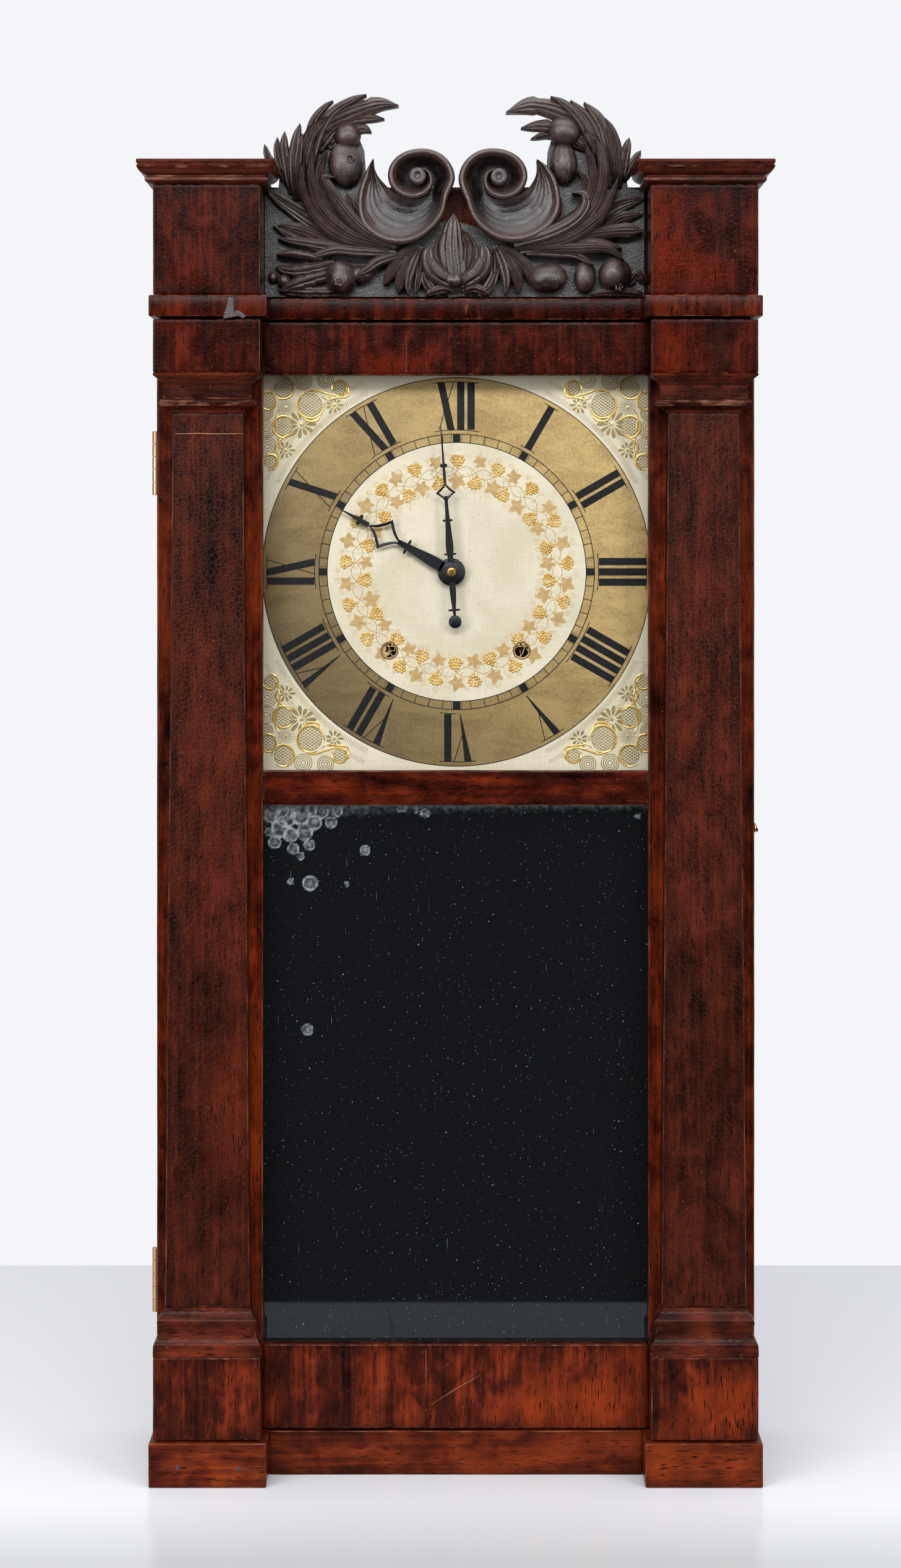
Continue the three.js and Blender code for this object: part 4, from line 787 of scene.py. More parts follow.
def stations(low: float, high: float, radius: float, pitch: float) -> np.ndarray:
    """Places along one side of a board: close together at both arrises, at most pitch apart.

    Args:
        low: where the side starts.
        high: where it ends.
        radius: how much each arris is eased.
        pitch: widest spacing.

    Returns:
        The places, in rising order.
    """
    near = np.array([0.0, 0.3, 1.0]) * radius
    near = np.concatenate([near, [2.4, 6.0]]) if high - low > 16 else near
    middle = np.linspace(low + near[-1], high - near[-1],
                         max(2, int(np.ceil((high - low - 2 * near[-1]) / pitch)) + 1))
    return np.concatenate([low + near[:-1], middle, high - near[:-1][::-1]])


def eased_box(skin: Skin, low: Sequence[float], high: Sequence[float], radius: float = 0.8,
              pitch: float = 16.0, waver: float = 0.10,
              bend: Callable[[np.ndarray], np.ndarray] | None = None) -> None:
    """Board with eased arrises: each point p of the plain box moves to q + r (p - q) / |p - q|,
    where q is the nearest point of the box drawn in by r; then the faces waver by a tenth of a
    millimetre, as hand-planed ones do.

    Args:
        skin: what the board is added to.
        low: lowest x, depth and z.
        high: highest x, depth and z.
        radius: easing of the arrises.
        pitch: most that the points lie apart.
        waver: height of the waver.
        bend: changes the finished points, for a taper.
    """
    low, high = np.minimum(low, high).astype(float), np.maximum(low, high).astype(float)
    radius = min(radius, 0.45 * float((high - low).min()))
    lines = [stations(l, h, radius, pitch) for l, h in zip(low, high)]
    for axis in range(3):
        u, v = [k for k in range(3) if k != axis]
        for end in (low[axis], high[axis]):
            grid = np.zeros((len(lines[u]), len(lines[v]), 3))
            grid[..., axis] = end
            grid[..., u], grid[..., v] = np.meshgrid(lines[u], lines[v], indexing="ij")
            core = np.clip(grid, low + radius, high - radius)
            out = grid - core
            reach = np.linalg.norm(out, axis=-1, keepdims=True)
            point = core + radius * out / np.maximum(reach, 1e-9)
            gap = np.sort(np.minimum(grid - low, high - grid), axis=-1)
            wave = np.sin(point @ np.array([0.031, 0.047, 0.023]) + 1.3) * np.sin(
                point @ np.array([-0.017, 0.029, 0.041]))
            point = point + waver * wave[..., None]
            if bend is not None:
                point = bend(point.reshape(-1, 3)).reshape(point.shape)
            skin.add(point, grid_quads(*grid.shape[:2]), rim=gap[..., 1])


def turned(skin: Skin, x: float, z: float, profile: Sequence[Sequence[float]], sides: int = 48,
           axis: Axis = Axis.DEPTH, **values: float) -> None:
    """Turned form: the profile (place on the axis, radius) carried round the axis, closed at
    both ends where the radius is nought.

    Args:
        skin: what it is added to.
        x: first coordinate of the axis.
        z: second coordinate of the axis, a height, or a depth if the axis is upright.
        profile: places and radii.
        sides: points round.
        axis: which way its centre line runs.
        values: attribute levels of all its points.
    """
    profile = np.asarray(profile, float)
    angle = np.linspace(0, 2 * np.pi, sides, endpoint=False)
    u, v = profile[:, 1:] * np.cos(angle), profile[:, 1:] * np.sin(angle)
    w = np.repeat(profile[:, :1], sides, axis=1)
    grid = np.stack([x + u, w, z + v] if axis is Axis.DEPTH else [x + u, z + v, w], axis=-1)
    skin.add(grid, grid_quads(len(profile), sides, closed_columns=True),
             **{name: np.full(grid.shape[0] * sides, level) for name, level in values.items()})


def swept(skin: Skin, path: np.ndarray, radii: np.ndarray | float, sides: int = 10,
          closed: bool = False, **values: float) -> None:
    """Round bar along a path: a ring of points at each, square to the path, its start turned as
    little as can be; both ends are drawn in to a point.

    Args:
        skin: what it is added to.
        path: points x, depth, z.
        radii: radius at each point, or one for all.
        sides: points round.
        closed: the path closes on itself.
        values: attribute levels of all its points.
    """
    path = np.asarray(path, float)
    radii = np.broadcast_to(np.asarray(radii, float), (len(path),)).copy()
    ahead = np.roll(path, -1, axis=0) - np.roll(path, 1, axis=0) if closed else np.gradient(path, axis=0)
    ahead /= np.linalg.norm(ahead, axis=1, keepdims=True)
    # rings are turned about the direction in which the path reaches least
    side = np.cross(ahead, np.eye(3)[np.argmin(np.ptp(path, axis=0))])
    side /= np.linalg.norm(side, axis=1, keepdims=True)
    over = np.cross(side, ahead)
    if not closed:
        path, side, over = path[[0, *range(len(path)), -1]], side[[0, *range(len(side)), -1]], \
            over[[0, *range(len(over)), -1]]
        radii = np.concatenate([[0.0], radii, [0.0]])
    angle = np.linspace(0, 2 * np.pi, sides, endpoint=False)
    ring = (side[:, None] * np.cos(angle)[None, :, None] + over[:, None] * np.sin(angle)[None, :, None])
    grid = path[:, None] + radii[:, None, None] * ring
    skin.add(grid, grid_quads(len(path), sides, closed, True),
             **{name: np.full(len(path) * sides, level) for name, level in values.items()})


def slab(skin: Skin, outline: np.ndarray, front: float, back: float,
         holes: Sequence[np.ndarray] = (), **values: float) -> None:
    """Flat board of any outline: the outline (x, z), less its holes, filled at both depths, with
    a wall along every edge.

    Args:
        skin: what the board is added to.
        outline: its edge.
        front: depth of its front.
        back: depth of its back.
        holes: edges of the holes through it.
        values: attribute levels of all its points.
    """
    loops = [np.asarray(loop, float) for loop in (outline, *holes)]
    flat = np.vstack(loops)
    count = len(flat)
    points = np.vstack([np.column_stack([flat[:, 0], np.full(count, d), flat[:, 1]]) for d in (front, back)])
    levels = {name: np.full(2 * count, level) for name, level in values.items()}
    triangles = np.array(tessellate_polygon([[(p[0], p[1], 0.0) for p in loop] for loop in loops]))
    first = np.cumsum([0] + [len(loop) for loop in loops])
    walls = []
    for start, loop in zip(first, loops):
        number = np.arange(len(loop))
        after = (number + 1) % len(loop)
        walls.append(np.column_stack([number, after, after + count, number + count]) + start)
    skin.add(points, np.vstack(walls), **levels)
    skin.faces.append(triangles + skin.count - 2 * count)
    skin.faces.append(triangles[:, ::-1] + skin.count - count)


def place(made: bpy.types.Object, body: str, slot: str, *nodes: str) -> bpy.types.Object:
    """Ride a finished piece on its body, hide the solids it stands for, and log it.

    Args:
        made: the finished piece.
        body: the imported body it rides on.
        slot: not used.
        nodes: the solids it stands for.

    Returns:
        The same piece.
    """
    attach(made, body)
    if nodes:
        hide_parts(*nodes)
    log.info("%s: %d faces, rides on %s", made.name, len(made.data.polygons), body)
    return made


def node_box(name: str) -> tuple[np.ndarray, np.ndarray]:
    """Lowest and highest x, depth and z of a solid, in millimetres."""
    shift = np.array([0.0, MIDDLE_DEPTH, 0.0])
    low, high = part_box(name)
    return np.array(low) / METRE + shift, np.array(high) / METRE + shift


def dress(name: str, finish: bpy.types.Material) -> None:
    """Give a solid that stays in view its finish.

    Args:
        name: the solid's node.
        finish: its material.
    """
    item = frame["nodes"][name]
    if not item.material_slots:
        item.data.materials.append(finish)
    for held in item.material_slots:
        held.material = finish
    log.info("%s keeps its solid, in %s", name, finish.name)


SIDES = (("left", -1), ("right", 1))


# ---------------------------------------------------------------- case


@dataclass
class CaseWork:
    """Feet, sides, back, bands and top blocks of the case."""

    palette: Palette
    foot_inner: float = 134.0
    foot_outer: float = 217.5
    case_front: float = 55.4
    case_back: float = 155.0
    inside: float = 201.6
    outside: float = 214.6
    opening: float = 138.4
    band_bottom: float = 829.2
    band_top: float = 844.4
    cleat_front: float = 68.1
    cleat_back: float = 80.0
    pulley_x: float = 164.7
    pulley_z: float = 812.2
    cord_depth: float = 105.3

    def board(self, name: str, finish: bpy.types.Material, slot: str, radius: float = 0.8) -> None:
        """One board, taken from its solid, with eased arrises.

        Args:
            name: the solid's node.
            finish: its material.
            slot: name of its finish, handed to place, which does not use it.
            radius: how much its arrises are eased.
        """
        low, high = node_box(name)
        skin = Skin()
        eased_box(skin, low, high, radius)
        place(skin.object(f"{name}_veneered", finish), "case", slot, name)

    def side(self, hand: str, sign: int) -> None:
        """Side board with its dial cleat and, on the right, the screw of the door hook.

        Args:
            hand: left or right, as in its name.
            sign: -1 on the left, 1 on the right.
        """
        skin = Skin()
        eased_box(skin, (sign * (self.inside + 0.1), self.case_front + 0.1, 0.1),
                  (sign * (self.outside - 0.1), self.case_back - 0.1, self.band_bottom - 0.1), 0.9, 20.0)
        eased_box(skin, (sign * self.opening, self.cleat_front, 497.4),
                  (sign * (self.inside + 0.6), self.cleat_back, 797.3), 0.6)
        if sign > 0:
            axis_z, depth = 462.0, 61.4
            angle = np.linspace(0, 2 * np.pi, 20, endpoint=False)
            stations_x = np.array([213.0, 217.9, 218.5, 218.7, 218.7])
            radii = np.array([1.25, 1.25, 2.3, 1.9, 0.0])
            grid = np.stack([np.repeat(stations_x[:, None], 20, 1),
                             depth + radii[:, None] * np.cos(angle),
                             axis_z + radii[:, None] * np.sin(angle)], axis=-1)
            skin.add(grid, grid_quads(5, 20, closed_columns=True), rim=np.full(100, 9.0))
        place(skin.object(f"{hand}_side_veneered", self.palette.upright), "case", "mahogany",
              f"{hand}_case_side")

    def band_block(self, hand: str, sign: int) -> None:
        """Band block over the frieze, with the two cheeks and the axle of the cord pulley.

        Args:
            hand: left or right, as in its name.
            sign: -1 on the left, 1 on the right.
        """
        skin = Skin()
        eased_box(skin, (sign * (self.foot_inner + 0.1), 0.1, self.band_bottom + 0.1),
                  (sign * (self.foot_outer - 0.1), self.case_back - 0.1, self.band_top - 0.1), 1.1)
        for end in (-1, 1):
            near, far = self.cord_depth + end * 3.8, self.cord_depth + end * 7.8
            eased_box(skin, (sign * (self.pulley_x - 12), min(near, far), self.pulley_z - 4),
                      (sign * (self.pulley_x + 12), max(near, far), self.band_bottom + 0.6), 0.5)
        turned(skin, sign * self.pulley_x, self.pulley_z, [
            (self.cord_depth - 8.4, 0), (self.cord_depth - 8.4, 1.0), (self.cord_depth - 8.2, 1.2),
            (self.cord_depth + 8.2, 1.2), (self.cord_depth + 8.4, 1.0), (self.cord_depth + 8.4, 0)],
               16, rim=9.0)
        place(skin.object(f"{hand}_band_veneered", self.palette.crotch), "case", "mahogany",
              f"{hand}_band_block")

    def build(self) -> None:
        """Build the case from the floor up."""
        for hand, sign in SIDES:
            foot = self.palette.amber if sign < 0 else self.palette.base
            self.board(f"{hand}_foot_block", foot, "mahogany", 1.2)
            self.side(hand, sign)
            self.band_block(hand, sign)
            # painted shade: the top blocks take the darker copy of the crotch mahogany
            self.board(f"{hand}_top_block", self.palette.frieze, "mahogany", 1.0)
        self.board("base_rail", self.palette.base, "mahogany", 1.0)
        # painted shade: the top board takes the darker copy of the crotch mahogany
        self.board("top_board", self.palette.frieze, "mahogany", 1.0)
        self.board("bottom_board", self.palette.pine, "pine", 0.5)
        self.board("back_board", self.palette.pine, "pine", 0.5)


def profile_run(segments: Sequence[Sequence[Sequence[float]]], steps: int = 7) -> np.ndarray:
    """Moulding profile: a smooth curve through the points of each segment, with a crisp
    corner where one segment ends and the next begins."""
    runs = [smooth_path(part, steps) if len(part) > 2 else np.asarray(part, float) for part in segments]
    return np.vstack(runs)


def returned_moulding(skin: Skin, middle: float, back: float, tiers: np.ndarray, pitch: float = 12.0) -> None:
    """Moulding round three sides of a block: at each tier (height, half width, front depth)
    a level loop back, along one side, across the front and along the other, mitred at both
    front corners; the bottom and top are closed flat.

    Args:
        skin: what it is added to.
        middle: x of its middle.
        back: depth of its back.
        tiers: heights, half widths and front depths from the foot up.
        pitch: most that points lie apart along it.
    """
    height, half, front = tiers.T
    deep, wide = back - front.min(), 2 * half.max()
    side = np.linspace(0, 1, max(2, int(deep / pitch) + 1))
    across = stations(0, wide, 1.0, pitch) / wide
    u = np.concatenate([np.zeros(len(side)), across[1:], np.ones(len(side) - 1), across[::-1][1:-1]])
    v = np.concatenate([side[::-1], np.zeros(len(across) - 1), side[1:], np.ones(len(across) - 2)])
    x = middle + half[:, None] * (2 * u - 1)
    depth = front[:, None] + v * (back - front[:, None])
    grid = np.stack([x, depth, np.repeat(height[:, None], len(u), 1)], axis=-1)
    corner = np.minimum(np.hypot(u * wide, v * deep), np.hypot((1 - u) * wide, v * deep))
    rim = np.repeat(np.minimum(corner, 9.0)[None] + 0.4, len(height), 0)
    slope = np.abs(np.gradient(np.gradient(half)))
    rim = np.minimum(rim, (9.0 - 8.5 * np.clip(slope / 0.5, 0, 1))[:, None] + 0 * rim)
    skin.add(grid, grid_quads(len(height), len(u), closed_columns=True), rim=rim)
    for row in (0, -1):
        loop = grid[row]
        hub = np.broadcast_to(loop.mean(axis=0), loop.shape)
        skin.add(np.stack([loop, hub]), grid_quads(2, len(u), closed_columns=True),
                 rim=np.concatenate([rim[row], np.full(len(u), 9.0)]))


@dataclass
class Cornices:
    """Cornice over each top block: bead, cove and fillets, returned along both sides."""

    palette: Palette
    block_middle: float = 176.5
    block_half: float = 38.1
    top: float = 923.1
    height: float = 16.7
    overhang: float = 10.8
    front: float = 3.0
    back: float = 59.9
    segments: tuple = (
        ((0.0, 0.10), (0.04, 0.30), (0.10, 0.46), (0.18, 0.50), (0.25, 0.47), (0.28, 0.38)),
        ((0.28, 0.34), (0.36, 0.34)),
        ((0.36, 0.42), (0.44, 0.68), (0.54, 0.86), (0.66, 0.97), (0.74, 1.0)),
        ((0.74, 0.92), (0.83, 0.92)),
        ((0.83, 0.98), (0.87, 1.0), (0.96, 1.0), (1.0, 0.97)),
    )

    def build(self) -> None:
        """Build both cornices."""
        share = profile_run(self.segments)
        tiers = np.column_stack([
            self.top + 0.1 + share[:, 0] * (self.height - 0.1),
            self.block_half + share[:, 1] * self.overhang,
            self.front - share[:, 1] * self.overhang])
        for hand, sign in SIDES:
            skin = Skin()
            returned_moulding(skin, sign * self.block_middle, self.back, tiers)
            place(skin.object(f"{hand}_cornice_moulded", self.palette.moulding, 24.0), "case",
                  "mahogany", f"{hand}_cornice")


# ---------------------------------------------------------------- door


@dataclass
class Door:
    """Door frame, its glass and its mirror."""

    palette: Palette
    opening: float = 138.4
    outside: float = 214.6
    front: float = 34.0
    glass_front: float = 44.4
    back: float = 54.0
    rabbet: float = 5.5
    bottom: float = 32.8
    mirror: tuple = (93.0, 480.4)
    dial: tuple = (505.3, 789.4)
    top: float = 827.5
    foxing: tuple = (
        # x px, y px and radius px of the fox marks, as they lie in the photograph
        (535, 1330, 10), (501, 1428, 13), (590, 1375, 9), (497, 1665, 10), (470, 1425, 6),
        (560, 1430, 5), (648, 1305, 9), (687, 1315, 8), (672, 1310, 5), (1030, 1320, 5),
        (440, 1318, 14), (462, 1322, 18), (486, 1318, 17), (508, 1330, 13), (452, 1340, 15),
        (470, 1350, 13), (492, 1346, 14), (444, 1362, 11), (474, 1372, 10), (500, 1366, 10),
        (520, 1312, 12), (455, 1308, 14), (545, 1312, 9), (436, 1345, 8), (486, 1384, 7),
    )

    def stile(self, hand: str, sign: int) -> None:
        """Stile: full width in front of the rabbets, narrower behind, whole at the rails.

        Args:
            hand: left or right, as in its name.
            sign: -1 on the left, 1 on the right.
        """
        skin = Skin()
        eased_box(skin, (sign * (self.opening + 0.1), self.front + 0.1, self.bottom + 0.1),
                  (sign * (self.outside - 0.1), self.glass_front, self.top - 0.1), 0.9)
        eased_box(skin, (sign * (self.opening + self.rabbet), self.glass_front - 2, self.bottom + 0.1),
                  (sign * (self.outside - 0.1), self.back - 0.1, self.top - 0.1), 0.9)
        for low, high in ((self.bottom + 0.1, self.mirror[0] - self.rabbet),
                          (self.mirror[1] + self.rabbet, self.dial[0] - self.rabbet),
                          (self.dial[1] + self.rabbet, self.top - 0.1)):
            eased_box(skin, (sign * (self.opening + 0.1), self.glass_front - 2, low),
                      (sign * (self.opening + self.rabbet + 2), self.back - 0.1, high), 0.3)
        if sign > 0:
            angle = np.linspace(0, 2 * np.pi, 16, endpoint=False)
            along = np.array([213.0, 217.8, 218.1, 218.1])
            radii = np.array([1.3, 1.3, 1.0, 0.0])
            grid = np.stack([np.repeat(along[:, None], 16, 1), 44.4 + radii[:, None] * np.cos(angle),
                             462.0 + radii[:, None] * np.sin(angle)], axis=-1)
            skin.add(grid, grid_quads(4, 16, closed_columns=True), rim=np.full(64, 9.0))
        place(skin.object(f"{hand}_stile_veneered", self.palette.upright), "door", "mahogany",
              f"door_{hand}_stile")

    def rail(self, name: str, low: float, high: float, finish: bpy.types.Material) -> None:
        """Rail between the stiles, rabbeted at the back where it meets a pane.

        Args:
            name: the solid's node.
            low: its lower edge.
            high: its upper edge.
            finish: its material.
        """
        skin = Skin()
        half = self.opening - 0.1
        eased_box(skin, (-half, self.front + 0.1, low + 0.1), (half, self.glass_front, high - 0.1), 0.9)
        step_low = self.rabbet if name != "door_bottom_rail" else 0.1
        step_high = self.rabbet if name != "door_top_rail" else 0.1
        eased_box(skin, (-half, self.glass_front - 2, low + step_low),
                  (half, self.back - 0.1, high - step_high), 0.9)
        place(skin.object(f"{name}_veneered", finish), "door", "mahogany", name)

    def panes(self) -> None:
        """Dial glass, mirror with its fox marks, and the mirror's pine back."""
        low, high = node_box("dial_glass")
        skin = Skin()
        eased_box(skin, low, high, 0.3, 30.0, 0.0)
        place(skin.object("dial_pane", self.palette.glass), "door", "clear_glass", "dial_glass")
        low, high = node_box("mirror_plate")
        skin = Skin()
        x, z = np.arange(low[0], high[0] + 0.6, 1.25), np.arange(low[2], high[2] + 0.6, 1.25)
        x[-1], z[-1] = high[0], high[2]
        gx, gz = np.meshgrid(x, z, indexing="ij")
        spots = np.array([(PhotoView.x_at(px, 44.4), PhotoView.z_at(py, 44.4), r * 0.446)
                          for px, py, r in self.foxing])
        away = np.hypot(gx[..., None] - spots[:, 0], gz[..., None] - spots[:, 1]) / spots[:, 2]
        ring = np.exp(-((away - 0.86) / 0.16) ** 2) * 0.75 + np.exp(-(away / 0.72) ** 4) * 0.55
        foxed = np.clip(ring.max(axis=-1), 0, 1)
        # the foil has also let go along the upper edge, most at the left
        edge = np.exp(-(self.mirror[1] - gz) / (4.5 + 9 * np.exp(-(gx + 138) / 55)))
        foxed = np.clip(np.maximum(foxed, 0.75 * edge), 0, 1)
        grid = np.stack([gx, np.full(gx.shape, low[1]), gz], axis=-1)
        skin.add(grid, grid_quads(*gx.shape), foxing=foxed)
        loop = np.concatenate([grid[:, 0], grid[-1, 1:], grid[-2::-1, -1], grid[0, -2:0:-1]])
        behind = loop + np.array([0, high[1] - low[1], 0])
        skin.add(np.stack([loop, behind]), grid_quads(2, len(loop), closed_columns=True))
        hub = np.broadcast_to(behind.mean(axis=0), behind.shape)
        skin.add(np.stack([behind, hub]), grid_quads(2, len(loop), closed_columns=True))
        place(skin.object("old_mirror", self.palette.mirror), "door", "silvered_glass", "mirror_plate")
        low, high = node_box("mirror_backboard")
        skin = Skin()
        eased_box(skin, low, high, 0.5, 24.0)
        place(skin.object("mirror_back_pine", self.palette.pine), "door", "pine", "mirror_backboard")

    def build(self) -> None:
        """Build the door frame and what it holds."""
        for hand, sign in SIDES:
            self.stile(hand, sign)
            # painted shade: the frieze blocks take the darker copy of the crotch mahogany, the plinth blocks
            # the crotch mahogany itself
            for part, finish in (("plinth_block", self.palette.crotch),
                                 ("frieze_block", self.palette.frieze)):
                low, high = node_box(f"{hand}_{part}")
                skin = Skin()
                eased_box(skin, low, high, 1.1)
                place(skin.object(f"{hand}_{part}_veneered", finish), "door", "mahogany", f"{hand}_{part}")
        self.rail("door_bottom_rail", self.bottom, self.mirror[0], self.palette.crotch)
        self.rail("door_middle_rail", self.mirror[1], self.dial[0], self.palette.level)
        # painted shade: the top rail takes the darker copy of the crotch mahogany
        self.rail("door_top_rail", self.dial[1], self.top, self.palette.frieze)
        self.panes()


@dataclass
class Pilasters:
    """Tapered pilasters of the door with their base mouldings and capitals."""

    palette: Palette
    middle: float = 176.5
    block_half: float = 38.1
    foot_half: float = 30.2
    head_half: float = 25.2
    neck_lead: float = 5.9
    plinth_front: float = 3.0
    back: float = 33.9
    plinth_top: float = 91.4
    shaft: tuple = (125.2, 761.4)
    capital_top: float = 789.4
    capital: tuple = (
        ((0.0, -0.77), (0.035, -0.70), (0.075, -0.48), (0.11, -0.16), (0.13, 0.0)),
        ((0.13, 0.0), (0.15, 0.2), (0.19, 0.38), (0.245, 0.44), (0.30, 0.38), (0.34, 0.2), (0.36, 0.0)),
        ((0.36, 0.0), (0.71, 0.0)),
        ((0.71, 0.04), (0.76, 0.12), (0.82, 0.36), (0.88, 0.68), (0.93, 0.90)),
        ((0.93, 0.96), (1.0, 1.0)),
    )
    base: tuple = (
        ((0.0, 0.95), (0.02, 0.99), (0.05, 1.0), (0.14, 1.0), (0.155, 0.98)),
        ((0.17, 0.99), (0.24, 0.97), (0.28, 0.92), (0.31, 0.8)),
        ((0.31, 0.78), (0.36, 0.67), (0.46, 0.56), (0.56, 0.52), (0.65, 0.5)),
        ((0.65, 0.60), (0.68, 0.66), (0.73, 0.65), (0.78, 0.57), (0.80, 0.48)),
        ((0.80, 0.42), (0.83, 0.32), (0.90, 0.12), (1.0, 0.0)),
    )

    def moulding(self, name: str, sign: int, span: tuple, halves: tuple, segments: tuple) -> None:
        """One moulding round the three open sides of a pilaster.

        Args:
            name: the solid's node.
            sign: -1 on the left, 1 on the right.
            span: its foot and head.
            halves: half its width at both.
            segments: its profile from foot to head.
        """
        share = profile_run(segments)
        half = halves[0] + share[:, 1] * (halves[1] - halves[0])
        tiers = np.column_stack([span[0] + 0.1 + share[:, 0] * (span[1] - span[0] - 0.2), half,
                                 self.plinth_front + self.block_half - half])
        skin = Skin()
        returned_moulding(skin, sign * self.middle, self.back, tiers)
        place(skin.object(f"{name}_moulded", self.palette.moulding, 24.0), "door", "mahogany", name)

    def shaft_piece(self, hand: str, sign: int) -> None:
        """Shaft: an eased board drawn in towards the head, in width and in front alike.

        Args:
            hand: left or right, as in its name.
            sign: -1 on the left, 1 on the right.
        """
        low_z, high_z = self.shaft[0] + 0.1, self.shaft[1] - 0.1
        front = self.plinth_front + self.block_half - self.foot_half

        def taper(points: np.ndarray) -> np.ndarray:
            """Draw the points in by their height's share of the taper.

            Args:
                points: points of the straight shaft.

            Returns:
                The points of the tapered one.
            """
            share = (points[:, 2] - low_z) / (high_z - low_z)
            step = share * (self.foot_half - self.head_half)
            x = points[:, 0] - sign * self.middle
            x = x * (1 - step / self.foot_half)
            forward = (self.back - points[:, 1]) / (self.back - front)
            return np.column_stack([x + sign * self.middle, points[:, 1] + step * forward, points[:, 2]])

        skin = Skin()
        eased_box(skin, (sign * self.middle - self.foot_half, front, low_z),
                  (sign * self.middle + self.foot_half, self.back, high_z), 1.3, 14.0, 0.14, taper)
        place(skin.object(f"{hand}_shaft_veneered", self.palette.pilaster), "door", "dark_mahogany",
              f"{hand}_pilaster")

    def build(self) -> None:
        """Build both pilasters."""
        for hand, sign in SIDES:
            self.shaft_piece(hand, sign)
            self.moulding(f"{hand}_capital", sign, (self.shaft[1], self.capital_top),
                          (self.head_half + self.neck_lead, self.block_half), self.capital)
            self.moulding(f"{hand}_base_moulding", sign, (self.plinth_top, self.shaft[0]),
                          (self.foot_half, self.block_half), self.base)


# ---------------------------------------------------------------- carved crest


@dataclass(frozen=True)
class Lobe:
    """One carved leaf: the knots of its spine and its half width in photograph pixels, its
    front depth at root and tip in millimetres, and how it is cut."""

    spine: tuple
    half: float
    root: float
    tip: float
    crown: float = 3.0
    flutes: int = 3
    section: Section = Section.CROWNED
    notches: int = 0
    swell: tuple = (0.5, 0.78, 1.0, 0.86, 0.52, 0.05)


@dataclass(frozen=True)
class Fruit:
    """One carved fruit or nut: middle and half sizes in pixels, turn in degrees, depth of its
    middle, and the kind of surface it has."""

    x: float
    z: float
    half: tuple
    turn: float = 0.0
    depth: float = 47.0
    relief: float = 11.0
    ribs: int = 0
    rib_height: float = 0.0
    scales: bool = False
    calyx: tuple | None = None


@dataclass(frozen=True)
class Scroll:
    """One volute and its bowl: eye in pixels, direction of its sweep, and, at each angle round
    the eye, the outer and inner edge in pixels and the depth of the rim and of the dish."""

    eye: tuple
    sign: int
    eye_radius: float
    angles: tuple
    outer: tuple
    inner: tuple
    rim: tuple
    dish: tuple


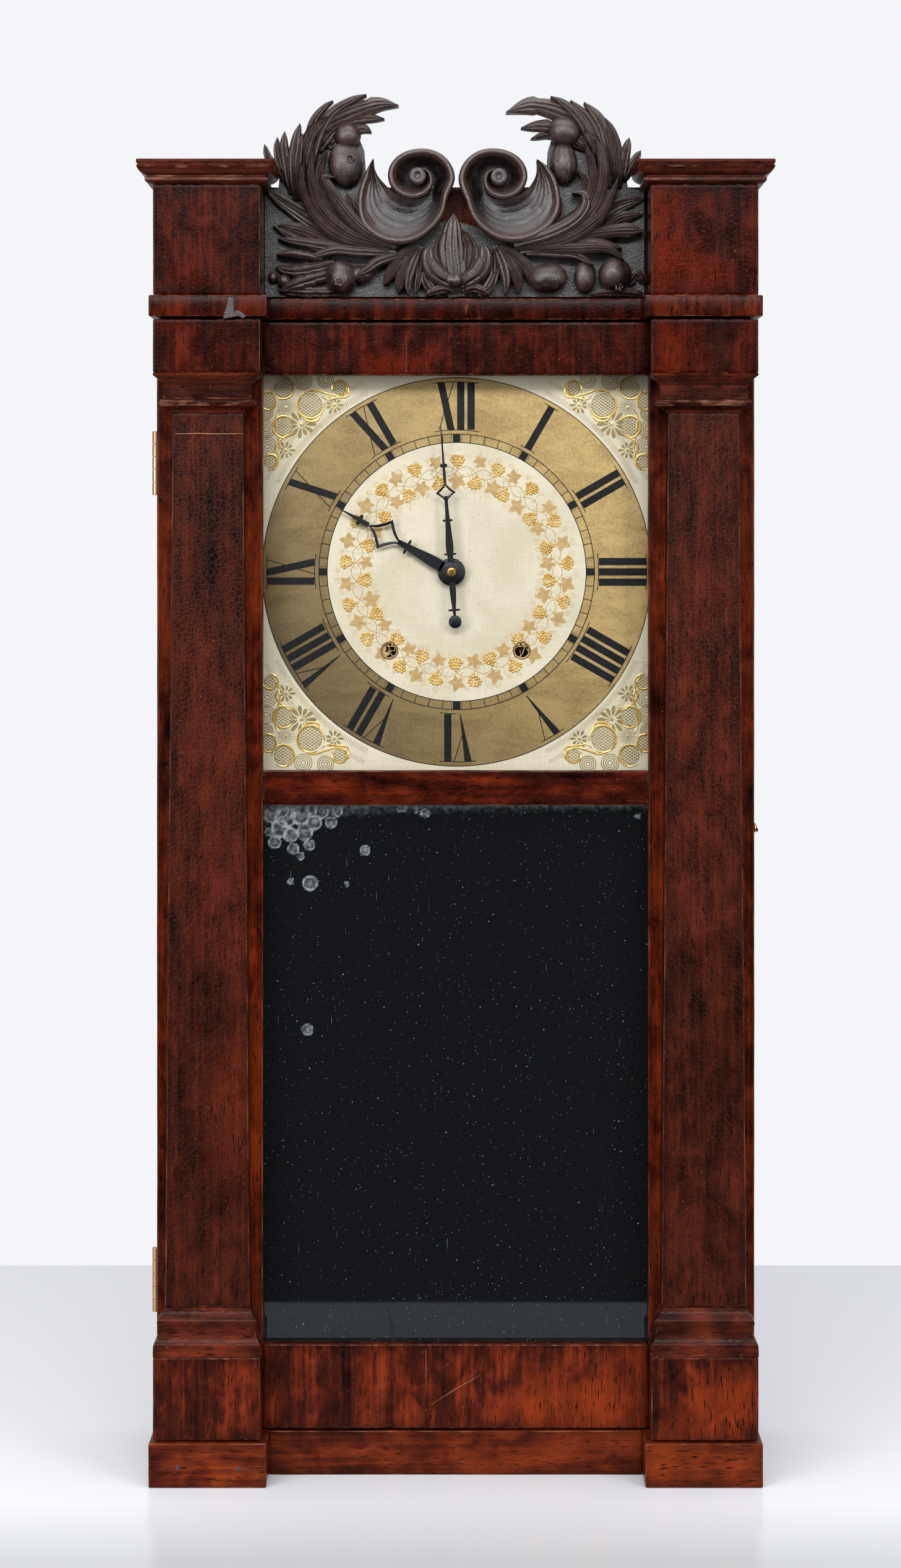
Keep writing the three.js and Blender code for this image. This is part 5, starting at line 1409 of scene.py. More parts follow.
@dataclass
class CarvedCrest:
    """Carved crest: a backboard, a ground, leaf sprays, fruit, two volutes with fluted bowls
    and a palmette between them."""

    palette: Palette
    back: float = 59.85
    ground_front: float = 54.0
    base: float = 844.4
    pixel: float = 0.44645
    middle_px: float = 728.0
    middle_mm: float = -3.7
    ground: tuple = (
        (427, 477), (427, 306), (449, 300), (452, 262), (470, 246), (497, 232), (520, 205), (545, 190),
        (572, 200), (588, 240), (592, 290), (600, 330), (640, 372), (728, 352), (800, 372), (862, 330),
        (882, 290), (886, 240), (900, 196), (930, 190), (958, 206), (985, 232), (1008, 256), (1016, 300),
        (1042, 306), (1042, 477))
    lobes_left_top: tuple = (
        Lobe(((500, 300), (505, 225), (520, 205), (560, 184), (610, 168), (644, 169)), 15, 50, 44, 3.2, 4,
             notches=5, swell=(0.3, 0.55, 0.9, 1.0, 0.62, 0.04)),
        Lobe(((500, 290), (512, 226), (535, 184), (565, 163), (592, 152)), 9, 49, 42, 3.0, 3),
        Lobe(((492, 290), (497, 240), (506, 196), (524, 172), (538, 161)), 8, 50, 45, 2.6, 3),
        Lobe(((515, 240), (545, 204), (580, 190), (621, 190)), 10, 49, 46, 2.4, 3, notches=3),
        Lobe(((530, 235), (560, 214), (585, 206), (600, 211)), 11, 50, 47, 2.2, 3),
        Lobe(((488, 310), (490, 262), (498, 225), (512, 205), (530, 188)), 11, 47, 40, 2.6, 4,
             Section.HOLLOW),
        Lobe(((478, 320), (474, 262), (478, 228), (485, 199)), 10, 50, 43, 2.8, 3),
        Lobe(((470, 310), (463, 262), (459, 236), (460, 211)), 9, 51, 45, 2.6, 3),
        Lobe(((466, 300), (453, 262), (448, 240), (448, 220)), 8, 52, 47, 2.2, 2),
        Lobe(((460, 290), (440, 262), (432, 250), (427, 231)), 7, 52, 48, 2.0, 2),
        Lobe(((486, 320), (482, 270), (484, 240), (489, 215)), 6, 48, 41, 2.0, 2),
    )
    lobes_left_middle: tuple = (
        Lobe(((640, 402), (560, 386), (510, 350), (489, 300), (492, 262)), 10, 44, 39, 3.4, 4),
        Lobe(((640, 400), (570, 380), (522, 340), (504, 290), (506, 248)), 10, 43, 37, 3.2, 4),
        Lobe(((640, 398), (580, 378), (536, 335), (517, 282), (528, 243)), 10, 42, 36, 3.4, 4,
             Section.HOLLOW),
        Lobe(((640, 398), (590, 374), (553, 335), (533, 303), (524, 288), (541, 287)), 11, 41, 37, 3.2, 4),
        Lobe(((645, 396), (600, 372), (572, 342), (560, 313)), 11, 43, 39, 3.0, 3, Section.HOLLOW),
        Lobe(((650, 392), (610, 372), (588, 345), (574, 316)), 9, 45, 42, 2.6, 3),
        Lobe(((630, 412), (580, 402), (520, 400), (470, 380), (440, 362)), 9, 46, 48, 3.0, 3),
        Lobe(((600, 398), (540, 378), (480, 340), (440, 312), (430, 300)), 15, 50, 51, 2.6, 5),
        Lobe(((600, 400), (540, 392), (490, 372), (448, 362)), 13, 48, 49, 3.0, 4, notches=4),
        Lobe(((620, 404), (560, 400), (500, 392), (448, 384)), 10, 46, 45, 3.2, 3),
        Lobe(((640, 409), (580, 406), (540, 404), (500, 416)), 9, 43, 41, 3.0, 3),
        Lobe(((520, 418), (495, 412), (470, 409), (446, 411)), 7, 44, 43, 2.8, 1, notches=7),
        Lobe(((540, 424), (505, 432), (470, 436), (444, 430)), 11, 48, 47, 3.0, 3, notches=5),
        Lobe(((548, 436), (505, 448), (475, 458), (450, 470)), 12, 49, 48, 3.0, 3, notches=5),
        Lobe(((560, 470), (520, 470), (480, 470), (448, 466)), 9, 52, 50, 2.4, 2, notches=4),
        Lobe(((650, 410), (615, 420), (592, 436), (576, 444)), 9, 44, 41, 2.8, 3),
    )
    lobes_middle: tuple = (
        Lobe(((676, 396), (652, 412), (634, 436), (620, 460)), 11, 47, 44, 3.2, 4),
        Lobe(((678, 396), (660, 420), (648, 450), (643, 474)), 11, 46, 43, 3.0, 4),
        Lobe(((680, 398), (668, 425), (660, 452), (660, 476)), 8, 45, 42, 2.6, 3),
        Lobe(((684, 398), (680, 430), (676, 452), (672, 474)), 7, 47, 45, 2.4, 2),
        Lobe(((738, 478), (734, 440), (730, 395), (733, 344)), 22, 50, 45, 3.4, 5,
             swell=(0.6, 0.85, 1.0, 0.86, 0.5, 0.04)),
        Lobe(((735, 450), (718, 425), (712, 398), (722, 374)), 12, 47, 43, 3.0, 3, Section.HOLLOW),
        Lobe(((742, 450), (758, 425), (760, 398), (748, 372)), 12, 47, 43, 3.0, 3, Section.HOLLOW),
        Lobe(((736, 460), (704, 440), (692, 418), (694, 396)), 15, 46, 41, 3.6, 3),
        Lobe(((744, 460), (772, 440), (784, 416), (780, 394)), 15, 46, 41, 3.6, 3),
        Lobe(((706, 478), (694, 462), (686, 448), (684, 436)), 9, 48, 45, 2.6, 2),
        Lobe(((776, 478), (790, 462), (797, 446), (798, 434)), 9, 48, 45, 2.6, 2),
        Lobe(((732, 470), (716, 466), (700, 470), (688, 476)), 8, 47, 45, 2.6, 2),
        Lobe(((748, 470), (764, 464), (778, 468), (790, 476)), 8, 47, 45, 2.6, 2),
        Lobe(((800, 396), (812, 425), (818, 452), (816, 476)), 9, 45, 43, 2.8, 3),
        Lobe(((802, 396), (824, 424), (836, 448), (838, 474)), 11, 46, 43, 3.0, 4),
        Lobe(((806, 396), (838, 418), (856, 440), (866, 466)), 11, 47, 44, 3.2, 4),
        Lobe(((798, 398), (800, 430), (796, 455), (790, 474)), 8, 47, 45, 2.4, 2),
    )
    lobes_right_top: tuple = (
        Lobe(((985, 300), (975, 235), (945, 200), (905, 180), (860, 170), (818, 180)), 16, 50, 44, 3.2, 4,
             notches=5, swell=(0.3, 0.55, 0.9, 1.0, 0.66, 0.04)),
        Lobe(((960, 240), (925, 214), (885, 202), (842, 205)), 11, 49, 46, 2.6, 3, notches=3),
        Lobe(((950, 240), (915, 222), (885, 216), (858, 222)), 8, 50, 48, 2.2, 2),
        Lobe(((985, 290), (965, 240), (935, 190), (910, 166), (890, 155)), 10, 48, 42, 3.0, 3, notches=3),
        Lobe(((985, 290), (972, 240), (952, 194), (922, 161)), 9, 49, 43, 2.8, 3),
        Lobe(((990, 290), (984, 240), (970, 196), (944, 164)), 11, 50, 44, 3.0, 3, notches=3),
        Lobe(((1000, 300), (996, 255), (990, 222), (978, 190)), 12, 50, 44, 3.0, 4),
        Lobe(((1005, 290), (1008, 262), (1012, 242), (1017, 221)), 9, 51, 46, 2.6, 3),
        Lobe(((1010, 290), (1020, 268), (1028, 254), (1036, 241)), 8, 52, 48, 2.2, 2),
        Lobe(((975, 300), (968, 262), (962, 232), (944, 210)), 9, 46, 41, 2.6, 3, Section.HOLLOW),
    )
    lobes_right_middle: tuple = (
        Lobe(((830, 398), (910, 388), (966, 352), (990, 312), (998, 287)), 11, 44, 38, 3.4, 4),
        Lobe(((830, 396), (900, 382), (950, 348), (972, 300), (972, 254), (962, 224)), 12, 43, 37, 3.2, 4),
        Lobe(((830, 396), (895, 378), (938, 345), (957, 300), (955, 262), (944, 231)), 10, 42, 36, 3.2, 4),
        Lobe(((830, 395), (890, 374), (935, 345), (950, 312), (945, 292), (933, 276)), 10, 41, 36, 3.2, 3,
             Section.HOLLOW),
        Lobe(((830, 395), (885, 378), (925, 358), (945, 335), (943, 314), (925, 312)), 11, 40, 36, 3.4, 3),
        Lobe(((825, 392), (870, 376), (900, 350), (906, 320)), 10, 44, 40, 3.0, 3, Section.HOLLOW),
        Lobe(((840, 404), (900, 398), (960, 392), (1006, 400)), 11, 46, 44, 3.0, 3),
        Lobe(((860, 402), (920, 402), (980, 402), (1008, 420)), 9, 42, 38, 3.2, 4),
        Lobe(((880, 398), (940, 380), (1000, 372), (1040, 372)), 11, 48, 42, 3.2, 4,
             swell=(0.4, 0.6, 0.8, 0.95, 0.9, 0.1)),
        Lobe(((890, 396), (950, 362), (1000, 330), (1042, 318)), 16, 51, 52, 2.6, 5),
        Lobe(((890, 400), (960, 384), (1000, 352), (1040, 344)), 13, 50, 50, 2.8, 4),
        Lobe(((850, 408), (890, 408), (930, 412), (960, 428)), 8, 44, 42, 2.6, 3),
        Lobe(((1040, 474), (1010, 470), (985, 470), (955, 474)), 8, 51, 48, 2.6, 2, notches=5),
        Lobe(((1042, 455), (1030, 440), (1020, 450), (1002, 470)), 8, 52, 50, 2.2, 2, notches=4),
    )
    fruits: tuple = (
        Fruit(561, 218, (22, 21), 20, 48.5, 10.0, 6, 0.02),
        Fruit(557, 264, (28, 36), 8, 48.0, 11.5, 3, 0.055, calyx=(566, 257, 7)),
        Fruit(551, 447, (25, 28), 12, 47.0, 11.5, 4, 0.03, calyx=(549, 456, 7)),
        Fruit(582, 442, (20, 15), 0, 49.0, 8.0, 2, 0.04),
        Fruit(735, 452, (17, 12), 0, 46.0, 6.5, 5, 0.08),
        Fruit(912, 211, (27, 24), -10, 48.0, 11.5, 2, 0.03),
        Fruit(911, 262, (22, 33), 4, 48.5, 10.5, scales=True),
        Fruit(886, 448, (30, 24), 5, 47.0, 11.0, 2, 0.05),
        Fruit(945, 446, (18, 27), 0, 49.0, 8.5, 3, 0.05),
        Fruit(993, 442, (27, 28), -15, 47.5, 11.5, 3, 0.05, calyx=(1000, 464, 6)),
        Fruit(458, 452, (12, 11), 0, 50.0, 6.0, scales=True),
        Fruit(440, 446, (8, 9), 0, 51.0, 4.5, scales=True),
    )
    scrolls: tuple = (
        Scroll((675, 286), 1, 14.0,
               (-60, 0, 90, 180, 270, 360, 400, 418, 437, 450, 468, 486, 498, 513, 527, 544, 563),
               (18, 25, 35, 48, 45, 60, 62, 76, 91, 103, 115, 120, 119, 109, 97.5, 85.5, 78),
               (5, 6, 8, 10, 14, 24, 29, 32, 34, 35, 37, 40, 43, 48, 54, 66, 77.5),
               (39, 37.5, 37, 36.5, 35.5, 34.5, 34, 33.7, 33.5, 33.5, 34, 35, 36, 37.5, 38.5, 40, 42),
               (46, 47, 48, 49, 49, 50, 50, 49, 47.5, 46.5, 46, 45.5, 45.5, 45.5, 46, 46, 46)),
        Scroll((806, 287), -1, 14.0,
               (-60, 0, 90, 180, 270, 360, 400, 418, 437, 450, 468, 486, 498, 513, 527, 544, 566),
               (18, 25, 35, 46, 46, 65, 68, 80, 93, 102, 110, 114, 115, 111, 101, 89, 69),
               (5, 6, 8, 10, 14, 24, 29, 32, 34, 35, 37, 40, 43, 48, 53, 60, 68),
               (39, 37.5, 37, 36.5, 35.5, 34.5, 34, 33.7, 33.5, 33.5, 34, 35, 36, 37.5, 38.5, 40, 42),
               (46, 47, 48, 49, 49, 50, 50, 49, 47.5, 46.5, 46, 45.5, 45.5, 45.5, 46, 46, 46)),
    )

    def at(self, pixels: Sequence) -> np.ndarray:
        """x and z in millimetres of photograph pixels on the face of the crest.

        Args:
            pixels: columns and rows in the photograph.

        Returns:
            The places.
        """
        pixels = np.asarray(pixels, float)
        x = self.middle_mm + (pixels[..., 0] - self.middle_px) * self.pixel
        z = self.base - 185.8 + (900 - pixels[..., 1]) * self.pixel
        return np.stack([x, z], axis=-1)

    def leaf(self, skin: Skin, lobe: Lobe, steps: int = 34, across: int = 15) -> None:
        """Leaf: a cut section carried along its spine. With t from root to tip and s from edge
        to edge, the front lies at root + (tip - root) t - crown (1 - |s|^2.2) - flute
        cos(pi flutes s), and the back is sawn flat.

        Args:
            skin: what the leaf is added to.
            lobe: its sizes.
            steps: rings along it.
            across: points over its front.
        """
        spine = smooth_path(self.at(lobe.spine), steps)
        ahead = np.gradient(spine, axis=0)
        ahead /= np.linalg.norm(ahead, axis=1, keepdims=True)
        side = np.column_stack([-ahead[:, 1], ahead[:, 0]])
        t = np.linspace(0, 1, steps)
        half = lobe.half * self.pixel * smooth_table(t, (0, 0.15, 0.42, 0.7, 0.9, 1.0), lobe.swell)
        if lobe.notches:
            saw = np.mod(t * lobe.notches, 1.0)
            half = half * (1.10 - 0.26 * saw ** 1.6 * np.clip(t / 0.3, 0, 1))
        s = np.linspace(-1, 1, across)
        fade = np.clip((1 - t) / 0.25, 0, 1) ** 0.7 * np.clip(t / 0.12, 0.3, 1)
        crown = lobe.section.value * lobe.crown * (1 - np.abs(s) ** 2.2)
        flute = np.cos(np.pi * lobe.flutes * s) * (1 - np.abs(s) ** 6)
        level = lobe.root + (lobe.tip - lobe.root) * t - 0.8 * np.sin(np.pi * t)
        front = level[:, None] - fade[:, None] * (crown + 0.62 * flute)[None]
        shift = side[:, None] * (half[:, None] * s[None])[..., None]
        face = np.stack([spine[:, None, 0] + shift[..., 0], front, spine[:, None, 1] + shift[..., 1]], -1)
        edge = 0.72 * half[:, None] * np.array([1.0, -1.0])[None]
        behind = np.stack([spine[:, None, 0] + side[:, None, 0] * edge, np.full((steps, 2), self.back),
                           spine[:, None, 1] + side[:, None, 1] * edge], axis=-1)
        rings = np.concatenate([face, behind], axis=1)
        count = across + 2
        # painted highlight and shade: flute crests and the forward tip are drawn lighter, the sawn back
        # darkest
        ridge = 0.35 + 0.4 * fade[:, None] * (0.5 + 0.5 * flute[None]) + 0.2 * t[:, None]
        ridge = np.concatenate([ridge, np.zeros((steps, 2))], axis=1)
        run = t * np.linalg.norm(np.diff(spine, axis=0), axis=1).sum()
        flow = np.stack([np.concatenate([half[:, None] * s, edge], 1),
                         np.repeat(run[:, None], count, 1)], axis=-1)
        rings = np.concatenate([np.broadcast_to(rings[:1].mean(1, keepdims=True), (1, count, 3)), rings,
                                np.broadcast_to(rings[-1:].mean(1, keepdims=True), (1, count, 3))])
        ridge = np.concatenate([ridge[:1], ridge, ridge[-1:]])
        flow = np.concatenate([flow[:1], flow, flow[-1:]])
        skin.add(rings, grid_quads(steps + 2, count, closed_columns=True), flow=flow, ridge=ridge)

    def fruit(self, skin: Skin, item: Fruit, rows: int = 28, columns: int = 48) -> None:
        """Fruit: an ellipsoid whose radius is 1 + h cos(ribs a) round its stalk, or, on a cone,
        1 + 0.04 cos(12 a) cos(14 b); a calyx is a ring of short teeth in a dimple.

        Args:
            skin: what the fruit is added to.
            item: its sizes.
            rows: rings from pole to pole.
            columns: points round.
        """
        b = np.linspace(0, np.pi, rows)[:, None]
        a = np.linspace(0, 2 * np.pi, columns, endpoint=False)[None]
        radius = 1 + item.rib_height * np.cos(item.ribs * a) * np.sin(b)
        if item.scales:
            radius = 1 + 0.045 * np.cos(11 * a + 5.5 * (np.round(b * 4.5) % 2)) * np.abs(np.sin(b * 13.5))
        u, v, w = radius * np.sin(b) * np.cos(a), radius * np.cos(b), radius * np.sin(b) * np.sin(a)
        turn = np.radians(item.turn)
        halves = np.array(item.half) * self.pixel
        du, dv = u * halves[0], v * halves[1]
        x, z = du * np.cos(turn) - dv * np.sin(turn), du * np.sin(turn) + dv * np.cos(turn)
        middle = self.at((item.x, item.z))
        depth = item.depth - w * item.relief
        # painted highlight and shade: the fruit is drawn lighter where it faces forward and on its ribs,
        # darker where it turns back
        ridge = np.clip(0.45 + 0.3 * w + (radius - 1) * 3, 0, 1)
        grid = np.stack([middle[0] + x, depth, middle[1] + z], axis=-1)
        flow = np.stack([a * halves.mean() + 0 * b, b * halves.mean() + 0 * a], axis=-1)
        skin.add(grid, grid_quads(rows, columns, closed_columns=True), flow=flow, ridge=ridge)
        if item.calyx:
            px, pz, size = item.calyx
            hub = self.at((px, pz))
            r = size * self.pixel
            away = np.clip(np.hypot((hub[0] - middle[0]) / halves[0],
                                    (hub[1] - middle[1]) / halves[1]), 0, 0.8)
            front = item.depth - item.relief * np.sqrt(1 - away ** 2)
            angle = np.linspace(0, 2 * np.pi, 30, endpoint=False)[None]
            rise = np.array([1.0, 0.2, -0.9, -1.1, -0.4, 0.9, 1.4])[:, None]
            spread = np.array([1.15, 1.1, 1.0, 0.8, 0.55, 0.35, 0.0])[:, None]
            spread = spread * (1 + 0.16 * np.cos(5 * angle) * (rise < 0.5))
            ring = np.stack([hub[0] + r * spread * np.cos(angle), front + 0.9 * rise + 0 * angle,
                             hub[1] + r * spread * np.sin(angle)], axis=-1)
            # painted shade: the calyx is drawn darker where it sinks back, lighter where it stands out
            skin.add(ring, grid_quads(7, 30, closed_columns=True),
                     ridge=np.repeat(np.clip(0.6 - 0.4 * rise, 0, 1), 30, 1))

    def scroll(self, skin: Skin, item: Scroll, steps: int = 300, across: int = 30) -> None:
        """Volute and bowl: a hollow section swept round the eye. At each angle the section runs
        from the back up the outer wall, over a rolled rim, down a hollow to the inner edge, and
        back; in the bowl the hollow is fluted along its sweep.

        Args:
            skin: what the scroll is added to.
            item: its tables.
            steps: sections round it.
            across: points from rim to inner edge.
        """
        angle = np.linspace(item.angles[0], item.angles[-1], steps)
        outer, inner, rim, dish = (smooth_table(angle, item.angles, table)
                                   for table in (item.outer, item.inner, item.rim, item.dish))
        width = np.maximum(outer - inner, 0.3)
        band = np.minimum(13.0, 0.5 * width)
        q = np.linspace(0, 1, across)
        # share of the band over the rolled rim, then the hollow
        roll = q < 0.42
        over = np.clip(q / 0.42, 0, 1)
        into = np.clip((q - 0.42) / 0.58, 0, 1)
        radius = outer[:, None] - band[:, None] * over - (width - band)[:, None] * into
        lip = 3.2 * (1 - np.sqrt(np.clip(1 - (1 - over / 0.45) ** 2, 0, 1))) * (over < 0.45)
        inside = 4.2 * np.clip((over - 0.45) / 0.55, 0, 1) ** 1.8
        hollow = (dish - rim - 4.2)[:, None] * np.sin(0.5 * np.pi * into) ** 0.8
        bowl = (np.clip((angle - 405) / 60, 0, 1)[:, None]
                * np.clip((item.angles[-1] - angle) / 12, 0, 1)[:, None])
        back_up = 5.5 * bowl * np.clip((into - 0.55) / 0.45, 0, 1) ** 1.7
        wave = np.cos(2 * np.pi * (into * 5.5 + 0.1)) * np.sin(np.pi * np.clip(into, 0, 1)) ** 0.5
        depth = rim[:, None] + lip + inside + hollow - back_up - 0.55 * bowl * wave
        # the rim carries a bead line on its roll
        depth = depth + 0.35 * np.exp(-((over - 0.78) / 0.09) ** 2) * roll
        # painted shade and highlight: darker the deeper a point lies behind the rim, lighter on the rim and
        # on the flute crests of the bowl
        ridge = np.clip(0.92 - (depth - rim[:, None]) / 13 + 0.2 * bowl * (0.5 + 0.5 * wave), 0.05, 1.0)
        turn = np.radians(angle)[:, None]
        eye = np.array(item.eye, float)
        px = eye[0] + item.sign * radius * np.cos(turn)
        pz = eye[1] + radius * np.sin(turn)
        place_mm = self.at(np.stack([px, pz], axis=-1))
        face = np.stack([place_mm[..., 0], depth, place_mm[..., 1]], axis=-1)
        edge = np.stack([inner, np.maximum(outer - 3.0, inner)], axis=1)
        behind_px = np.stack([eye[0] + item.sign * edge * np.cos(turn), eye[1] + edge * np.sin(turn)], -1)
        behind_mm = self.at(behind_px)
        behind = np.stack([behind_mm[..., 0], np.full(edge.shape, self.back), behind_mm[..., 1]], -1)
        rings = np.concatenate([face, behind], axis=1)
        ridge = np.concatenate([ridge, np.zeros((steps, 2))], axis=1)
        sweep = np.cumsum(outer * np.gradient(np.radians(angle))) * self.pixel
        flow = np.stack([np.concatenate([radius, edge], 1) * self.pixel,
                         np.repeat(sweep[:, None], across + 2, 1)], axis=-1)
        count = across + 2
        rings = np.concatenate([np.broadcast_to(rings[:1].mean(1, keepdims=True), (1, count, 3)), rings,
                                np.broadcast_to(rings[-1:].mean(1, keepdims=True), (1, count, 3))])
        ridge = np.concatenate([ridge[:1], ridge, ridge[-1:]])
        flow = np.concatenate([flow[:1], flow, flow[-1:]])
        skin.add(rings, grid_quads(steps + 2, count, closed_columns=True), flow=flow, ridge=ridge)
        hub = self.at(item.eye)
        r = item.eye_radius * self.pixel
        front = 33.4
        turned(skin, hub[0], hub[1], [
            (front + 0.3, 0), (front + 0.1, 0.25 * r), (front + 0.5, 0.30 * r), (front + 0.1, 0.36 * r),
            (front, 0.7 * r), (front + 0.3, 0.88 * r), (front + 1.2, 0.99 * r), (front + 6, 1.02 * r),
            (self.back, 1.02 * r), (self.back, 0)], 48, ridge=0.55)

    def backboard(self) -> None:
        """Sawn board behind the carving."""
        low, high = node_box("crest_board")
        skin = Skin()
        eased_box(skin, low, high, 0.9)
        place(skin.object("crest_backboard", self.palette.upright), "case", "dark_mahogany", "crest_board")

    def piece(self, name: str, lobes: Sequence[Lobe], extra: Callable[[Skin], None] | None = None) -> None:
        """One carved piece of the crest, made of leaves and whatever else it carries.

        Args:
            name: its name in the scene.
            lobes: its leaves, back to front.
            extra: adds what else it carries.
        """
        skin = Skin()
        for lobe in lobes:
            self.leaf(skin, lobe)
        if extra is not None:
            extra(skin)
        place(skin.object(name, self.palette.carved, 50.0), "case", "carved_wood", "crest_carving")

    def build(self) -> None:
        """Build the backboard, the ground and every spray."""
        self.backboard()
        # painted shade: the ground behind the sprays is drawn in the darkest tone of the carving
        self.piece("crest_ground", (), lambda skin: slab(
            skin, self.at(self.ground)[::-1], self.ground_front, self.back, ridge=0.0))
        self.piece("crest_left_spray", self.lobes_left_top)
        self.piece("crest_left_leaves", self.lobes_left_middle)
        self.piece("crest_palmette", self.lobes_middle)
        self.piece("crest_right_spray", self.lobes_right_top)
        self.piece("crest_right_leaves", self.lobes_right_middle)
        self.piece("crest_fruit", (), lambda skin: [self.fruit(skin, item) for item in self.fruits])
        self.piece("crest_volutes", (), lambda skin: [self.scroll(skin, item) for item in self.scrolls])


# ---------------------------------------------------------------- dial


class Stroke(Enum):
    """The strokes that hour letters are made of."""

    BAR = "I"
    WEDGE = "V"
    CROSS = "X"


@dataclass
class Dial:
    """Wooden dial: cream ground, a bronze ring with black hour letters, a minute track, a vine
    wreath and gilt corner scrolls."""

    palette: Palette
    front: float = 62.1
    back: float = 67.9
    x: float = 0.8
    z: float = 648.0
    half: float = 144.0
    winding: float = 48.1
    winding_z: float = 590.8
    grommet_hole: float = 4.9
    grommet: float = 6.6
    centre_hole: float = 5.3
    arbor_x: float = -3.0
    ring: tuple = (94.0, 141.6)
    track: tuple = (94.2, 100.2)
    letters: tuple = (103.4, 138.0)
    bar_half: float = 2.65
    pitch: float = 7.5
    hours: tuple = ("XII", "I", "II", "III", "IIII", "V", "VI", "VII", "VIII", "IX", "X", "XI")
    clusters: int = 34
    grapes: tuple = (
        # across and along millimetres of each grape of a bunch, its stalk up
        (-3.0, 2.6), (-1.0, 3.3), (1.1, 3.2), (3.1, 2.5), (-3.9, 0.7), (-1.9, 1.0), (0.1, 1.3), (2.2, 0.9),
        (4.0, 0.5), (-2.7, -1.0), (-0.8, -0.9), (1.3, -1.0), (3.1, -1.2), (-1.6, -2.9), (0.4, -2.9),
        (2.1, -2.9), (0.0, -4.7))
    rims: tuple = (
        # middle, radius and opening angle in pixels of the raised rims of a corner
        (458, 628, 17, 200), (501, 655, 21, -40), (458, 690, 17, 10), (549, 628, 12, 120),
        (437, 747, 12, 130),
        (433, 648, 14, 0))
    scrolls: tuple = (
        ((482, 641), (505, 630), (530, 637), (549, 640), (560, 632)),
        ((478, 700), (460, 706), (446, 722), (450, 740), (440, 758)),
        ((452, 662), (446, 676), (448, 700), (452, 722), (448, 742)),
        ((520, 640), (528, 646), (545, 643), (562, 640), (563, 622)),
        ((520, 668), (512, 680), (496, 680), (486, 668)),
        ((428, 636), (437, 634), (446, 646), (440, 660), (430, 664)))
    circles: tuple = ((490, 616, 12), (526, 614, 11), (430, 694, 12), (432, 722, 13), (430, 668, 9))

    def turned_to(self, across: np.ndarray, outward: np.ndarray,
                  hour_angle: np.ndarray | float) -> np.ndarray:
        """x and z of places given by their distance outward along the ray at an angle clockwise
        from twelve, and across it.

        Args:
            across: distance to the right of the ray.
            outward: distance from the centre.
            hour_angle: the ray's angle in degrees.

        Returns:
            The places.
        """
        a = np.radians(hour_angle)
        return np.stack([self.x + across * np.cos(a) + outward * np.sin(a),
                         self.z - across * np.sin(a) + outward * np.cos(a)], axis=-1)

    def ribbons(self, skin: Skin, paths: np.ndarray, half: np.ndarray | float, lift: float = 0.10) -> None:
        """Painted or raised lines: each path gets a low ridge, with its crest lifted off the dial
        and its foot sunk under the surface.

        Args:
            skin: what they are added to.
            paths: lines, points and (x, z).
            half: half width, one for all, one to a line, or one to a point.
            lift: height of the crest.
        """
        paths = np.asarray(paths, float)
        lines, count = paths.shape[:2]
        half = np.asarray(half, float)
        half = half[:, None] if half.ndim == 1 else half
        half = np.broadcast_to(half, (lines, count))[..., None]
        ahead = np.gradient(paths, axis=1)
        ahead /= np.maximum(np.linalg.norm(ahead, axis=2, keepdims=True), 1e-9)
        side = np.stack([-ahead[..., 1], ahead[..., 0]], axis=-1)
        rows = []
        for across, level in ((-1.0, 0.0), (-0.72, 0.8), (0.0, 1.0), (0.72, 0.8), (1.0, 0.0), (0.0, -1.6)):
            place_mm = paths + across * half * side
            depth = np.full((lines, count), self.front - lift * level)
            rows.append(np.stack([place_mm[..., 0], depth, place_mm[..., 1]], axis=-1))
        ring = np.stack(rows, axis=2)
        cap = np.broadcast_to(ring.mean(axis=2, keepdims=True), ring.shape)
        ring = np.concatenate([cap[:, :1], ring, cap[:, -1:]], axis=1)
        quads = grid_quads(count + 2, 6, closed_columns=True)
        shift = np.arange(lines)[:, None, None] * ring.shape[1] * 6
        skin.add(ring, (quads[None] + shift).reshape(-1, 4))

    def flats(self, skin: Skin, outlines: np.ndarray, lift: float = 0.08) -> None:
        """Flat painted shapes: each outline is fanned from its middle, with a low wall.

        Args:
            skin: mesh it is added to.
            outlines: x and z of each outline's points.
            lift: height over the dial.
        """
        outlines = np.asarray(outlines, float)
        shapes, count = outlines.shape[:2]
        hub = np.broadcast_to(outlines.mean(axis=1, keepdims=True), outlines.shape)
        rows = [np.stack([at[..., 0], np.full((shapes, count), self.front - depth), at[..., 1]], axis=-1)
                for at, depth in ((hub, 1.15 * lift), (0.5 * outlines + 0.5 * hub, 1.1 * lift),
                                  (outlines, lift),
                                  (outlines, -1.5 * lift), (hub, -1.5 * lift))]
        ring = np.stack(rows, axis=1)
        quads = grid_quads(5, count, closed_columns=True)
        shift = np.arange(shapes)[:, None, None] * 5 * count
        skin.add(ring, (quads[None] + shift).reshape(-1, 4))

